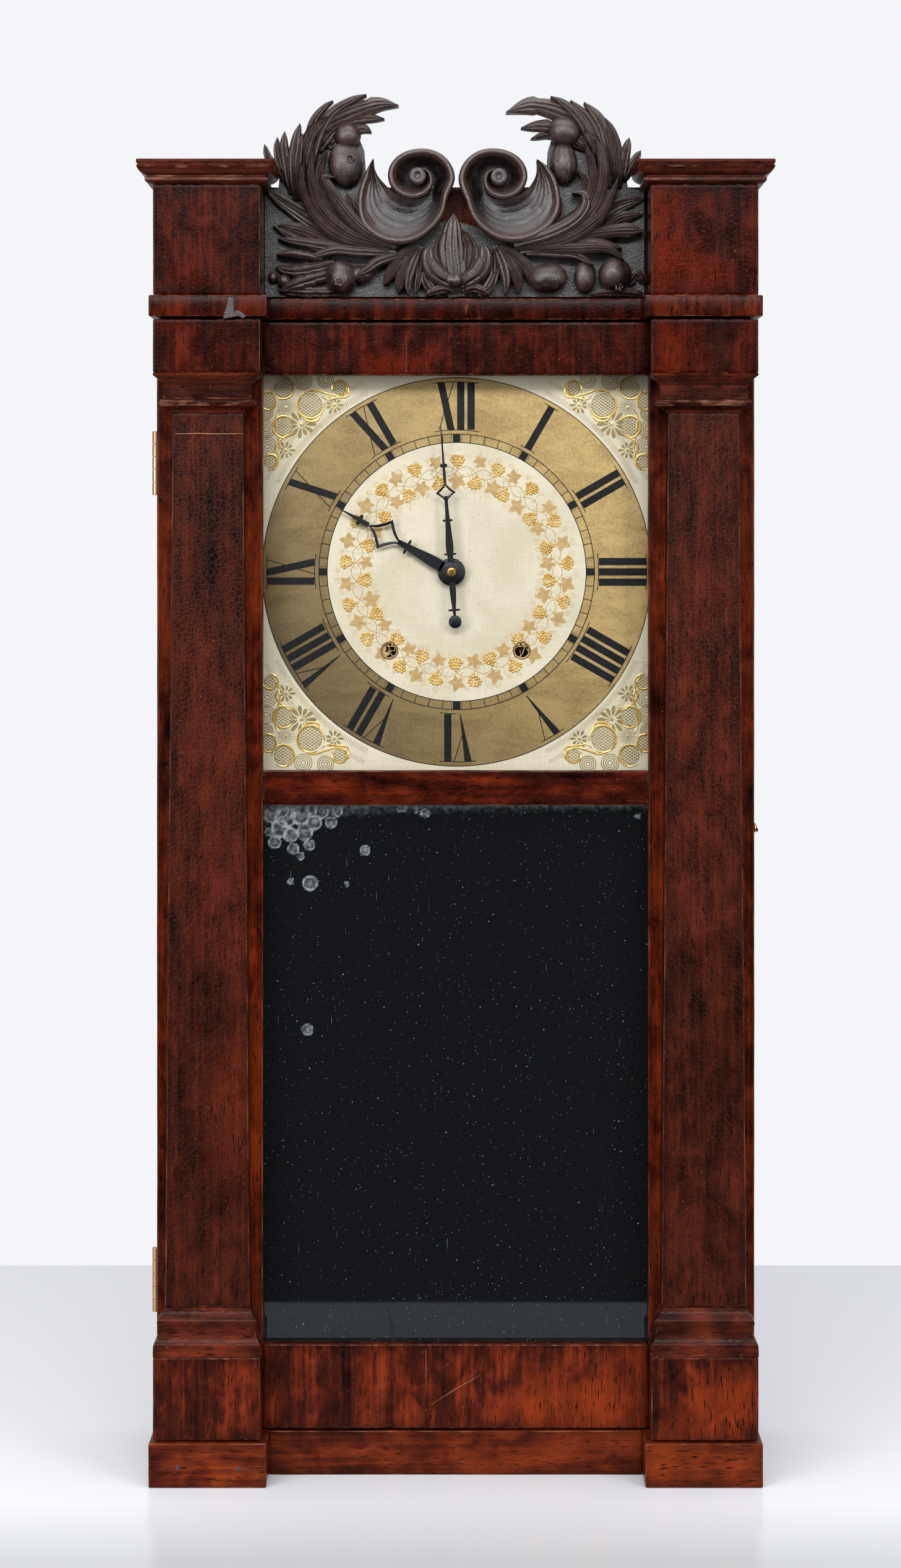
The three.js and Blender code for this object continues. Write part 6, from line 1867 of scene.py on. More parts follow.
    def annulus(self, skin: Skin, low: float, high: float, lift: float, points: int = 256) -> None:
        """Flat ring between two radii, with low walls.

        Args:
            skin: mesh it is added to.
            low: inner radius.
            high: outer radius.
            lift: height over the dial.
            points: points round the ring.
        """
        angle = np.linspace(0, 360, points, endpoint=False)
        rings = [self.turned_to(np.zeros(points), np.full(points, r), angle) for r in (low, low, high, high)]
        levels = (-1.5 * lift, lift, lift, -1.5 * lift)
        grid = np.stack([np.stack([ring[:, 0], np.full(points, self.front - level), ring[:, 1]], axis=-1)
                         for ring, level in zip(rings, levels)])
        skin.add(grid, grid_quads(4, points, True, True))

    def board(self) -> None:
        """Pierced cream board, and the brass grommets of its winding holes."""
        low, high = node_box("dial_board")
        corners = np.array([(low[0], low[2]), (high[0], low[2]), (high[0], high[2]), (low[0], high[2])])
        angle = np.linspace(0, 2 * np.pi, 40, endpoint=False)
        circle = np.column_stack([np.cos(angle), np.sin(angle)])[::-1]
        holes = [np.array([self.arbor_x, self.z]) + self.centre_hole * circle]
        holes += [np.array([sign * self.winding, self.winding_z]) + self.grommet_hole * circle
                  for sign in (-1, 1)]
        skin = Skin()
        slab(skin, corners, self.front, self.back, holes)
        place(skin.object("dial_ground", self.palette.cream), "case", "painted_dial", "dial_board")
        skin = Skin()
        for sign in (-1, 1):
            profile = [(self.front + 2.6, self.grommet_hole - 0.05),
                       (self.front - 0.5, self.grommet_hole - 0.05),
                       (self.front - 1.0, self.grommet_hole + 0.25),
                       (self.front - 1.1, self.grommet_hole + 0.8),
                       (self.front - 0.8, self.grommet_hole + 1.3), (self.front - 0.1, self.grommet),
                       (self.front + 0.4, self.grommet), (self.front + 2.6, self.grommet_hole - 0.05)]
            turned(skin, sign * self.winding, self.winding_z, profile, 56)
        place(skin.object("winding_grommets", self.palette.hinge_brass), "case", "brass")
        skin = Skin()
        for sign in (-1, 1):
            turned(skin, sign * self.winding, self.winding_z, [
                (self.front + 2.2, self.grommet_hole + 0.3), (self.front + 2.2, self.grommet_hole - 0.15),
                (self.back + 0.6, self.grommet_hole - 0.15), (self.back + 0.6, self.grommet_hole + 0.3),
                (self.front + 2.2, self.grommet_hole + 0.3)], 40)
        place(skin.object("winding_hole_sleeves", self.palette.black), "case", "painted_dial")

    def ground_ring(self) -> None:
        """Bronze powder ring with its dark outlines."""
        skin = Skin()
        self.annulus(skin, *self.ring, 0.05)
        # painted shade: the bronze ring is drawn darker towards the left, and darker below than above
        across, up = skin.points[0][:, 0] - self.x, skin.points[0][:, 2] - self.z
        skin.values["tarnish"] = [(0, np.clip(0.29 - 0.0028 * across - 0.0019 * up, 0, 0.8))]
        place(skin.object("bronze_ring", self.palette.gold_ground), "case", "painted_dial")
        skin = Skin()
        for radius in (*self.track, self.ring[1] - 0.3):
            self.annulus(skin, radius - 0.3, radius + 0.3, 0.09)
        minute = np.arange(60) * 6.0
        ends = np.array(self.track)
        ticks = self.turned_to(np.zeros((60, 2)), np.broadcast_to(ends, (60, 2)), minute[:, None])
        self.ribbons(skin, ticks, 0.32, 0.12)
        hour = np.arange(12) * 30.0
        for offset in (-3.7, 3.7):
            self.ribbons(skin, self.turned_to(np.full((12, 2), offset), np.broadcast_to(ends, (12, 2)),
                                              hour[:, None]), 0.2, 0.09)
        across = np.array([-2.7, 2.7, 2.7, -2.7])
        outward = np.array([ends[0], ends[0], ends[1], ends[1]])
        self.flats(skin, self.turned_to(np.broadcast_to(across, (12, 4)), np.broadcast_to(outward, (12, 4)),
                                        hour[:, None]), 0.12)
        place(skin.object("minute_track", self.palette.black), "case", "painted_dial")

    def letter(self, stroke: Stroke, middle: float) -> tuple[list, list, list, list]:
        """Quads (across, outward) of one letter's thick and thin strokes, and the spans of its
        outer and inner serifs.

        Args:
            stroke: which letter.
            middle: where it stands along the numeral.

        Returns:
            The four lists.
        """
        low, high = self.letters
        b = self.bar_half
        thin = 0.32
        if stroke is Stroke.BAR:
            quads = [[(middle - b, low), (middle + b, low), (middle + b, high), (middle - b, high)]]
            return quads, [], [(middle - b, middle + b)], [(middle - b, middle + b)]
        if stroke is Stroke.CROSS:
            quads = [[(middle + 3.4 - b, low), (middle + 3.4 + b, low), (middle - 4.0 + b, high),
                      (middle - 4.0 - b, high)]]
            hair = [[(middle - 5.3 - thin, low), (middle - 5.3 + thin, low), (middle + 5.2 + thin, high),
                     (middle + 5.2 - thin, high)]]
            return quads, hair, [(middle - 4.0 - b, middle + 5.2)], [(middle - 5.3, middle + 3.4 + b)]
        apex = middle + 1.2
        quads = [[(apex - 0.3, low), (apex + 0.3, low), (middle - 4.6 + b, high), (middle - 4.6 - b, high)]]
        join = low + 0.42 * (high - low)
        share = 0.42
        meet = apex + 0.3 + share * (middle - 4.6 + b - apex - 0.3) - 0.6
        hair = [[(meet - thin, join), (meet + thin, join), (middle + 5.6 + thin, high),
                 (middle + 5.6 - thin, high)]]
        return quads, hair, [(middle - 4.6 - b, middle - 4.6 + b), (middle + 5.6 - 1.5, middle + 5.6)], []

    def hour_letters(self) -> None:
        """Black hour letters with hairline serifs that follow the ring."""
        skin = Skin()
        widths = {Stroke.BAR: self.pitch, Stroke.CROSS: 13.4, Stroke.WEDGE: 13.0}
        for number, word in enumerate(self.hours):
            strokes = [Stroke(letter) for letter in word]
            wide = sum(widths[stroke] for stroke in strokes)
            at = -wide / 2
            quads, outer, inner = [], [], []
            for stroke in strokes:
                parts = self.letter(stroke, at + widths[stroke] / 2)
                quads += parts[0] + parts[1]
                outer += parts[2]
                inner += parts[3]
                at += widths[stroke]
            shape = np.array(quads)
            self.flats(skin, self.turned_to(shape[..., 0], shape[..., 1], 30.0 * number), 0.13)
            for spans, radius in ((outer, self.letters[1] + 0.2), (inner, self.letters[0] - 0.2)):
                if not spans:
                    continue
                span = np.array(spans)
                groups = np.split(span, np.flatnonzero(span[1:, 0] - span[:-1, 1] > 5.5) + 1)
                for group in groups:
                    u = np.linspace(group[:, 0].min() - 3.2, group[:, 1].max() + 3.2, 13)
                    path = self.turned_to(0 * u, np.full(13, radius), 30.0 * number + np.degrees(u / radius))
                    self.ribbons(skin, path[None], 0.33, 0.13)
        place(skin.object("hour_letters", self.palette.black), "case", "painted_dial")

    def vine(self) -> None:
        """Vine wreath: two stems r = 73 + 4 sin(17 a) and its mirror, with bunches of gilt
        grapes and flat leaves by turns on both sides, and curled tendrils between them."""
        count = self.clusters
        pick = np.random.default_rng(7)
        angle = np.arange(count) * 360 / count + pick.uniform(-1.2, 1.2, count)
        outside = np.arange(count) % 2 == 0
        radius = np.where(outside, 80.6, 66.4) + pick.uniform(-1.2, 1.2, count)
        grapes = np.array(self.grapes)
        # a dome of 4 rings of 8, half a bead high
        polar = np.linspace(0, 0.5 * np.pi, 4)
        around = np.linspace(0, 2 * np.pi, 8, endpoint=False)
        dome_x = np.sin(polar)[:, None] * np.cos(around)
        dome_z = np.sin(polar)[:, None] * np.sin(around)
        rise = np.repeat(np.cos(polar)[:, None], 8, 1)
        bead = 1.28
        spots = []
        for shift in range(len(grapes)):
            u = grapes[shift, 0] * 1.12 + pick.uniform(-0.15, 0.15, count)
            v = grapes[shift, 1] * np.where(outside, 1.0, -1.0) * 1.08
            spots.append(self.turned_to(u, radius + v, angle))
        spots = np.concatenate(spots)
        size = bead * pick.uniform(0.85, 1.12, len(spots))[:, None, None]
        grid = np.stack([spots[:, None, None, 0] + size * dome_x, self.front + 0.25 - 1.0 * size * rise,
                         spots[:, None, None, 1] + size * dome_z], axis=-1)
        foot = grid[:, -1:].copy()
        foot[..., 1] = self.front + 0.4
        hub = np.broadcast_to(foot.mean(axis=2, keepdims=True), foot.shape)
        grid = np.concatenate([grid, foot, hub], axis=1)
        quads = grid_quads(6, 8, closed_columns=True)
        shift = np.arange(len(spots))[:, None, None] * 48
        skin = Skin()
        skin.add(grid, (quads[None] + shift).reshape(-1, 4))
        place(skin.object("gilt_grapes", self.palette.raised_gold), "case", "painted_dial")

        skin = Skin()
        leaf_angle = angle + pick.uniform(-1.2, 1.2, count)
        leaf_radius = np.where(outside, 66.6, 80.2) + pick.uniform(-1.2, 1.2, count)
        a = np.linspace(0, 2 * np.pi, 72, endpoint=False)
        # five lobes with drawn-out points, the middle one longest, and a notch at the stalk
        place_in_lobe = np.abs(np.mod(a / (2 * np.pi / 5) + 0.5, 1.0) - 0.5) * 2
        lobes = (1.0 - 0.46 * place_in_lobe ** 0.8) * (0.86 + 0.16 * np.cos(a))
        lobes = lobes * (1 + 0.05 * np.cos(24 * a)) * (1 - 0.45 * np.exp(-((a - np.pi) / 0.3) ** 2))
        turn = pick.uniform(-0.9, 0.9, count)[:, None] + np.where(outside, np.pi, 0.0)[:, None]
        reach = 7.4 * pick.uniform(0.86, 1.12, count)[:, None]
        u, v = reach * lobes * np.sin(a + turn), reach * lobes * np.cos(a + turn)
        self.flats(skin, self.turned_to(u, leaf_radius[:, None] + v, leaf_angle[:, None]), 0.10)
        full = np.linspace(0, 360, 361)
        wave = np.sin(np.radians(full * count / 2))
        for sign in (-1, 1):
            path = self.turned_to(0 * full, 73.2 + sign * 3.6 * wave, full)
            self.ribbons(skin, path[None], 0.28, 0.12)
        # stalks run from the stem to each bunch and leaf
        for to_angle, to_radius in ((angle, radius), (leaf_angle, leaf_radius)):
            t = np.linspace(0, 1, 8)
            start = to_angle[:, None] - 3.6 * (1 - t)
            reach = 73.2 + (to_radius[:, None] - 73.2) * t ** 1.3
            self.ribbons(skin, self.turned_to(0 * reach, reach, start), 0.2, 0.10)
        # tendrils: r = a / 3 curls at the ends of short sprigs
        for side, base in ((1, 85.0), (-1, 61.6)):
            many = 2 * count
            hub_angle = np.arange(many) * 360 / many + pick.uniform(-1.5, 1.5, many)
            hub = base + pick.uniform(-1.6, 1.6, many) * 1.4
            curl = np.linspace(0.3, 3.6 * np.pi, 26)
            hand = np.where(np.arange(many) % 2 == 0, 1.0, -1.0)[:, None]
            start = pick.uniform(0, 2 * np.pi, many)[:, None]
            r = (0.35 + curl / curl[-1] * pick.uniform(1.5, 2.5, many)[:, None])
            u = r * np.cos(start + hand * curl)
            v = side * r * np.sin(start + hand * curl)
            tail = np.linspace(0, 1, 8)[None, 1:]
            last_u, last_v = u[:, -1:], v[:, -1:]
            u = np.concatenate([u, last_u + (0 - last_u) * tail + 1.5 * np.sin(np.pi * tail)], 1)
            v = np.concatenate([v, last_v + (73.5 - base - last_v) * tail * 0.9], 1)
            self.ribbons(skin, self.turned_to(u, hub[:, None] + v, hub_angle[:, None]), 0.13, 0.07)
        place(skin.object("vine_leaves", self.palette.tan_line), "case", "painted_dial")

    def corner(self) -> None:
        """Corner scrolls: raised gilt rims round cross-hatched cells, painted coils, petals and
        hatching, drawn once and turned over to all four corners."""
        raised, painted, lattice = Skin(), Skin(), Skin()

        def at(px: np.ndarray) -> np.ndarray:
            """Pixels of the upper left corner as x and z."""
            return np.stack([PhotoView.x_at(px[..., 0], self.front),
                             PhotoView.z_at(px[..., 1], self.front)], -1)

        def four(paths: np.ndarray) -> np.ndarray:
            """The paths in all four corners.

            Args:
                paths: the upper left corner's.

            Returns:
                All of them.
            """
            middle = np.array([self.x, self.z])
            away = paths - middle
            return np.concatenate([middle + away * np.array(turn) for turn in
                                   ((1, 1), (-1, 1), (1, -1), (-1, -1))])

        for x, z, r, opening in self.rims:
            a = np.radians(opening) + np.linspace(0.55, 2 * np.pi - 0.35, 34)
            swell = r * (1 + 0.10 * np.linspace(-1, 1, 34) ** 2)
            ring = at(np.stack([x + swell * np.cos(a), z + swell * np.sin(a)], -1))
            width = 0.95 * np.sin(np.linspace(0.15, np.pi - 0.1, 34)) ** 0.6
            self.ribbons(raised, four(ring[None]), width[None], 0.75)
            # a painted cell with a pale lattice: chords at both slants, 1.8 mm apart
            cell = np.linspace(0, 2 * np.pi, 36, endpoint=False)
            disc = at(np.stack([x + (r - 1.5) * np.cos(cell), z + (r - 1.5) * np.sin(cell)], -1))
            self.flats(painted, four(disc[None]), 0.07)
            step = np.arange(-r + 4, r - 2, 4.0)
            reach = np.sqrt(np.maximum((r - 3.0) ** 2 - step ** 2, 0.1))
            for slant in (0.6, -0.6):
                ends = np.array([-1.0, 1.0])
                along = reach[:, None] * ends
                px = x + along * np.cos(slant) - step[:, None] * np.sin(slant)
                pz = z + along * np.sin(slant) + step[:, None] * np.cos(slant)
                self.ribbons(lattice, four(at(np.stack([px, pz], -1))), 0.3, 0.15)
        for knots in self.scrolls:
            path = at(smooth_path(knots, 30))
            width = 0.9 * np.sin(np.linspace(0.2, np.pi - 0.15, 30)) ** 0.7
            self.ribbons(raised, four(path[None]), width[None], 0.7)
        turn = np.linspace(0, 2 * np.pi, 40)
        for x, z, r in self.circles:
            for share in (0.3, 0.6, 0.9, 1.18):
                px = np.stack([x + share * r * np.cos(turn), z + share * r * np.sin(turn)], -1)
                self.ribbons(painted, four(at(px)[None]), 0.36, 0.08)
        # rosette of beads at the crossing, with rays round it
        for x, z, r, rays in ((462, 659, 15, 22), (487, 686, 22, 11), (540, 655, 14, 9), (462, 728, 14, 9)):
            a = np.arange(rays) * 2 * np.pi / rays
            inner, outer = 0.28 * r, r * (1 + 0.12 * np.cos(3 * a))
            if rays > 20:
                px = x + np.stack([inner + 0 * a, outer], 1) * np.cos(a)[:, None]
                pz = z + np.stack([inner + 0 * a, outer], 1) * np.sin(a)[:, None]
                self.ribbons(painted, four(at(np.stack([px, pz], -1))), 0.2, 0.10)
            else:
                t = np.linspace(0, 2 * np.pi, 14, endpoint=False)
                along = 0.5 * (1 - np.cos(t))
                u = inner + (outer[:, None] - inner) * along
                v = 0.16 * r * np.sin(t) * np.sqrt(np.clip(along, 0, 1)) * 1.2
                px = x + u * np.cos(a)[:, None] - v * np.sin(a)[:, None]
                pz = z + u * np.sin(a)[:, None] + v * np.cos(a)[:, None]
                self.flats(painted, four(at(np.stack([px, pz], -1))), 0.12)
            spot = at(np.stack([x + 2.6 * np.cos(turn), z + 2.6 * np.sin(turn)], -1))
            self.flats(raised, four(spot[None]), 0.6)
        # short hatch strokes stand off the ring and off the scrolls
        polar = np.radians(np.linspace(-47.2, -26.8, 40))
        for low, high, phase in ((143.6, 147.6, 0.0), (152.0, 155.5, 0.5)):
            a = np.degrees(polar) + phase
            u = np.stack([np.zeros(40), np.full(40, 1.0)], 1)
            v = np.stack([np.full(40, low), np.full(40, high)], 1)
            inside = self.turned_to(u, v, a[:, None])
            self.ribbons(painted, four(inside), 0.16, 0.07)
            flipped = self.turned_to(-u, v, -90 - a[:, None])
            self.ribbons(painted, four(flipped), 0.16, 0.07)
        place(raised.object("gilt_corner_scrolls", self.palette.raised_gold), "case", "painted_dial")
        place(painted.object("painted_corner_lines", self.palette.olive_line), "case", "painted_dial")
        place(lattice.object("corner_lattice", self.palette.cream), "case", "painted_dial")

    def build(self) -> None:
        """Build the board and paint it from the ground up."""
        self.board()
        self.ground_ring()
        self.hour_letters()
        self.vine()
        self.corner()


# ---------------------------------------------------------------- hands


@dataclass
class Hands:
    """Blackened steel hands, each cut from sheet with an open diamond, and the brass washer
    and pin that hold them."""

    palette: Palette
    x: float = -3.0
    z: float = 648.0
    thick: float = 1.2
    minute_front: float = 51.2
    hour_front: float = 55.2
    minute_unit: float = 1.06  # a hundredth of the hand's length
    hour_unit: float = 0.927
    minute_turn: float = 4.2  # degrees left of upright
    hour_turn: float = 60.5

    def at(self, across: np.ndarray, along: np.ndarray, unit: float, turn: float) -> np.ndarray:
        """x and z of a place on a hand.

        Args:
            across: distance from the hand's middle line.
            along: distance from the arbor.
            unit: scale of the hand.
            turn: its angle from twelve.

        Returns:
            The place.
        """
        a = np.radians(turn)
        across, along = np.asarray(across, float) * unit, np.asarray(along, float) * unit
        return np.stack([self.x + across * np.cos(a) - along * np.sin(a),
                         self.z + across * np.sin(a) + along * np.cos(a)], axis=-1)

    def blade(self, skin: Skin, along: Sequence[float], half: Sequence[float], front: float, unit: float,
              turn: float) -> None:
        """Part of a hand with a smoothly changing width: its edges are bevelled by 0.25 mm.

        Args:
            skin: mesh it is added to.
            along: places from the arbor outward.
            half: half width at each.
            front: depth of its face.
            unit: scale of the hand.
            turn: its angle from twelve.
        """
        run = np.linspace(along[0], along[-1], 40)
        wide = np.maximum(smooth_table(run, along, half), 0.12)
        inner = wide - np.minimum(0.25 / unit, 0.5 * wide)
        rows = []
        for half_mm, depth in ((-inner, 0.0), (-wide, 0.35), (-wide, 0.8), (-inner, 1.0),
                               (inner, 1.0), (wide, 0.8), (wide, 0.35), (inner, 0.0)):
            edge = self.at(half_mm, run, unit, turn)
            rows.append(np.stack([edge[:, 0], np.full(40, front + depth * self.thick), edge[:, 1]], axis=-1))
        ring = np.stack(rows, axis=1)
        skin.add(capped(ring), grid_quads(42, 8, closed_columns=True))

    def diamond(self, skin: Skin, low: float, widest: float, high: float, half: float, wall: float,
                front: float, unit: float, turn: float) -> None:
        """Open diamond: each side is half t^1.7 wide, t being the share of the way from its
        point to its widest place, and the opening is the same form drawn in by the wall.

        Args:
            skin: mesh it is added to.
            low: its inner point.
            widest: where it is widest.
            high: its outer point.
            half: half its greatest width.
            wall: thickness of its sides.
            front: depth of its face.
            unit: scale of the hand.
            turn: its angle from twelve.
        """
        t = np.linspace(0, 1, 16)

        def loop(foot: float, top: float, wide: float) -> np.ndarray:
            """Across and along of one closed form.

            Args:
                foot: its inner end.
                top: its outer end.
                wide: its greatest half width.

            Returns:
                The places.
            """
            up = np.column_stack([wide * t ** 1.7, foot + (widest - foot) * t])
            down = np.column_stack([wide * t[::-1] ** 1.7, top - (top - widest) * t[::-1]])
            right = np.vstack([up, down[1:]])
            return np.vstack([right, np.column_stack([-right[-2:0:-1, 0], right[-2:0:-1, 1]])])

        outer = loop(low, high, half)
        inner = loop(low + 2.6 * wall, high - 2.6 * wall, half - 2.3 * wall)
        rows = []
        for form, depth in ((inner, 0.8), (inner, 0.25), (0.25 * outer + 0.75 * inner, 0.0),
                            (0.8 * outer + 0.2 * inner, 0.0), (outer, 0.3), (outer, 0.8),
                            (0.8 * outer + 0.2 * inner, 1.0), (0.25 * outer + 0.75 * inner, 1.0)):
            edge = self.at(form[:, 0], form[:, 1], unit, turn)
            rows.append(np.stack([edge[:, 0], np.full(len(form), front + depth * self.thick), edge[:, 1]],
                                 -1))
        skin.add(np.stack(rows, axis=1), grid_quads(len(outer), 8, True, True))

    def boss(self, skin: Skin, along: float, radius: float, front: float, unit: float, turn: float,
             proud: float) -> None:
        """Round boss with an eased edge, a little proud of the hand.

        Args:
            skin: mesh it is added to.
            along: distance from the arbor.
            radius: its radius.
            front: depth of the hand's face.
            unit: scale of the hand.
            turn: the hand's angle from twelve.
            proud: how far it stands out.
        """
        hub = self.at(0.0, along, unit, turn)
        r, back = radius * unit, front + self.thick
        turned(skin, hub[0], hub[1], [
            (front - proud, 0), (front - proud, r - 0.5), (front - proud + 0.15, r - 0.2), (front + 0.3, r),
            (back - 0.2, r), (back, r - 0.3), (back, 0)], 56)

    def build(self) -> None:
        """Build both hands and what holds them."""
        unit, turn, front = self.minute_unit, self.minute_turn, self.minute_front
        skin = Skin()
        self.boss(skin, 0.0, 7.0, front, unit, turn, 0.3)
        self.blade(skin, (4.0, 8.0, 15.0, 30.0, 46.0, 52.0), (1.6, 1.7, 2.55, 1.9, 1.15, 1.15), front, unit,
                   turn)
        self.diamond(skin, 46.5, 54.2, 62.6, 7.0, 1.0, front, unit, turn)
        self.blade(skin, (61.0, 66.0, 73.0, 86.0, 100.0), (0.9, 1.0, 0.85, 0.6, 0.3), front, unit, turn)
        for middle, half, deep in ((72.8, 2.4, 1.25), (35.3, 3.4, 0.75), (12.2, 4.0, 0.7), (-26.1, 4.0, 0.7)):
            self.blade(skin, (middle - deep, middle - 0.5 * deep, middle + 0.5 * deep, middle + deep),
                       (0.8 * half, half, half, 0.8 * half), front - 0.15, unit, turn)
        self.blade(skin, (-32.0, -26.5, -20.0, -12.0, -4.7), (0.9, 1.1, 1.7, 2.2, 1.9), front, unit, turn)
        self.boss(skin, -34.2, 4.4, front, unit, turn, 0.05)
        turned(skin, self.x, self.z, [(front + 0.2, 1.3), (front + 0.2, 2.6), (84.9, 2.6), (84.9, 1.3),
                                      (front + 0.2, 1.3)], 32)
        place(skin.object("minute_hand_cut", self.palette.blackened, 40.0), "minute_train", "blued_steel",
              "minute_hand")

        unit, turn, front = self.hour_unit, self.hour_turn, self.hour_front
        skin = Skin()
        self.boss(skin, 0.0, 10.8, front, unit, turn, 0.0)
        self.blade(skin, (8.0, 16.0, 30.0, 40.0, 48.0), (4.4, 4.6, 3.4, 2.6, 2.0), front, unit, turn)
        self.diamond(skin, 42.5, 59.9, 76.5, 13.0, 1.55, front, unit, turn)
        self.blade(skin, (74.5, 79.0, 85.0, 92.0, 100.0), (2.0, 1.9, 1.6, 0.9, 0.4), front, unit, turn)
        for middle, half, deep in ((39.7, 6.0, 1.1), (82.4, 4.4, 1.5)):
            self.blade(skin, (middle - deep, middle - 0.5 * deep, middle + 0.5 * deep, middle + deep),
                       (0.75 * half, half, half, 0.75 * half), front - 0.15, unit, turn)
        turned(skin, self.x, self.z, [(front + 0.2, 2.9), (front + 0.2, 4.0), (71.9, 4.0), (71.9, 2.9),
                                      (front + 0.2, 2.9)], 32)
        place(skin.object("hour_hand_cut", self.palette.blackened, 40.0), "hour_train", "blued_steel",
              "hour_hand")

        skin = Skin()
        front = self.minute_front - 0.35
        turned(skin, self.x, self.z,
               [(front, 1.2), (front - 1.0, 1.25), (front - 1.25, 1.7), (front - 1.1, 3.0),
                                      (front - 0.6, 3.5), (front, 3.6), (front, 1.2)], 40)
        reach = np.linspace(-4.2, 4.2, 12)
        lean = np.radians(35)
        pin = np.column_stack([self.x + reach * np.cos(lean), np.full(12, front - 1.5),
                               self.z + reach * np.sin(lean)])
        swept(skin, pin, np.linspace(0.28, 0.5, 12), 10)
        place(skin.object("hand_washer", self.palette.brass), "minute_train", "brass")


# ---------------------------------------------------------------- hinges and hook


@dataclass
class DoorIrons:
    """Butt hinges on the left and the wire hook on the right."""

    palette: Palette
    pin_x: float = -217.3
    pin_depth: float = 54.7
    radius: float = 2.48
    leaf: tuple = (-214.3, -194.4)
    leaf_thick: float = 0.58
    knuckles: int = 5
    levels: tuple = (("upper", 703.6, 750.2), ("lower", 111.9, 158.4))
    hook_x: float = 215.7
    hook_depth: float = 61.4
    hook_z: float = 462.0
    catch_depth: float = 44.4

    def hinge_leaf(self, name: str, low: float, high: float, on_case: bool) -> None:
        """One leaf: its plate, its knuckles with eased ends and, on the case, the pin.

        Args:
            name: the solid's node.
            low: its lower end.
            high: its upper end.
            on_case: whether it is the leaf with the pin.
        """
        skin = Skin()
        step = (high - low) / self.knuckles
        near, far = (0.06, 0.06 + self.leaf_thick) if on_case else (-0.06 - self.leaf_thick, -0.06)
        eased_box(skin, (self.leaf[0], self.pin_depth + near, low + 0.1),
                  (self.leaf[1], self.pin_depth + far, high - 0.1), 0.12, 8.0, 0.0)
        for number in range(0 if on_case else 1, self.knuckles, 2):
            foot, top = low + number * step + 0.12, low + (number + 1) * step - 0.12
            turned(skin, self.pin_x, self.pin_depth, [
                (foot, 0.0), (foot, self.radius - 0.35), (foot + 0.35, self.radius),
                (top - 0.35, self.radius), (top, self.radius - 0.35), (top, 0.0)], 32, Axis.UPRIGHT)
            edge = self.pin_depth + (near if on_case else far)
            eased_box(skin, (self.pin_x + 0.5, min(edge, self.pin_depth + (far if on_case else near)), foot),
                      (self.leaf[0] + 0.6, max(edge, self.pin_depth + (far if on_case else near)), top), 0.1,
                      8.0, 0.0)
        if on_case:
            for end, way in ((low + 0.15, -1), (high - 0.15, 1)):
                turned(skin, self.pin_x, self.pin_depth, [
                    (end - way * 0.6, 0.0), (end - way * 0.6, 1.3),
                    (end - way * 0.1, 1.3), (end + way * 0.1, 1.0),
                    (end + way * 0.12, 0.0)][::way], 24, Axis.UPRIGHT)
        body = "case" if on_case else "door"
        place(skin.object(f"{name}_hinge_{body}_brass", self.palette.hinge_brass), body, "brass",
              f"{name}_hinge_{body}_leaf")

    def hook(self) -> None:
        """Brass wire hook: an eye round its screw, a shank and a turned-down end over the pin."""
        skin = Skin()
        angle = np.linspace(0, 2 * np.pi, 40, endpoint=False)
        eye = np.column_stack([np.full(40, self.hook_x), self.hook_depth + 2.7 * np.cos(angle),
                               self.hook_z + 2.7 * np.sin(angle)])
        swept(skin, eye, 0.72, 12, closed=True)
        knots = [(self.hook_x, self.hook_depth - 2.4, self.hook_z + 1.2),
                 (self.hook_x, self.hook_depth - 6.0, self.hook_z + 3.0),
                 (self.hook_x, self.catch_depth + 3.0, self.hook_z + 4.1),
                 (self.hook_x, self.catch_depth - 1.5, self.hook_z + 4.0),
                 (self.hook_x, self.catch_depth - 3.3, self.hook_z + 2.6),
                 (self.hook_x, self.catch_depth - 3.5, self.hook_z + 0.4),
                 (self.hook_x, self.catch_depth - 3.1, self.hook_z - 1.6)]
        path = smooth_path(knots, 60)
        swept(skin, path, np.concatenate([np.full(52, 0.72), np.linspace(0.72, 0.45, 8)]), 12)
        place(skin.object("wire_hook", self.palette.brass), "hook", "brass", "door_hook")

    def build(self) -> None:
        """Build both hinges and the hook."""
        for name, low, high in self.levels:
            self.hinge_leaf(name, low, high, True)
            self.hinge_leaf(name, low, high, False)
        self.hook()


# ---------------------------------------------------------------- wear


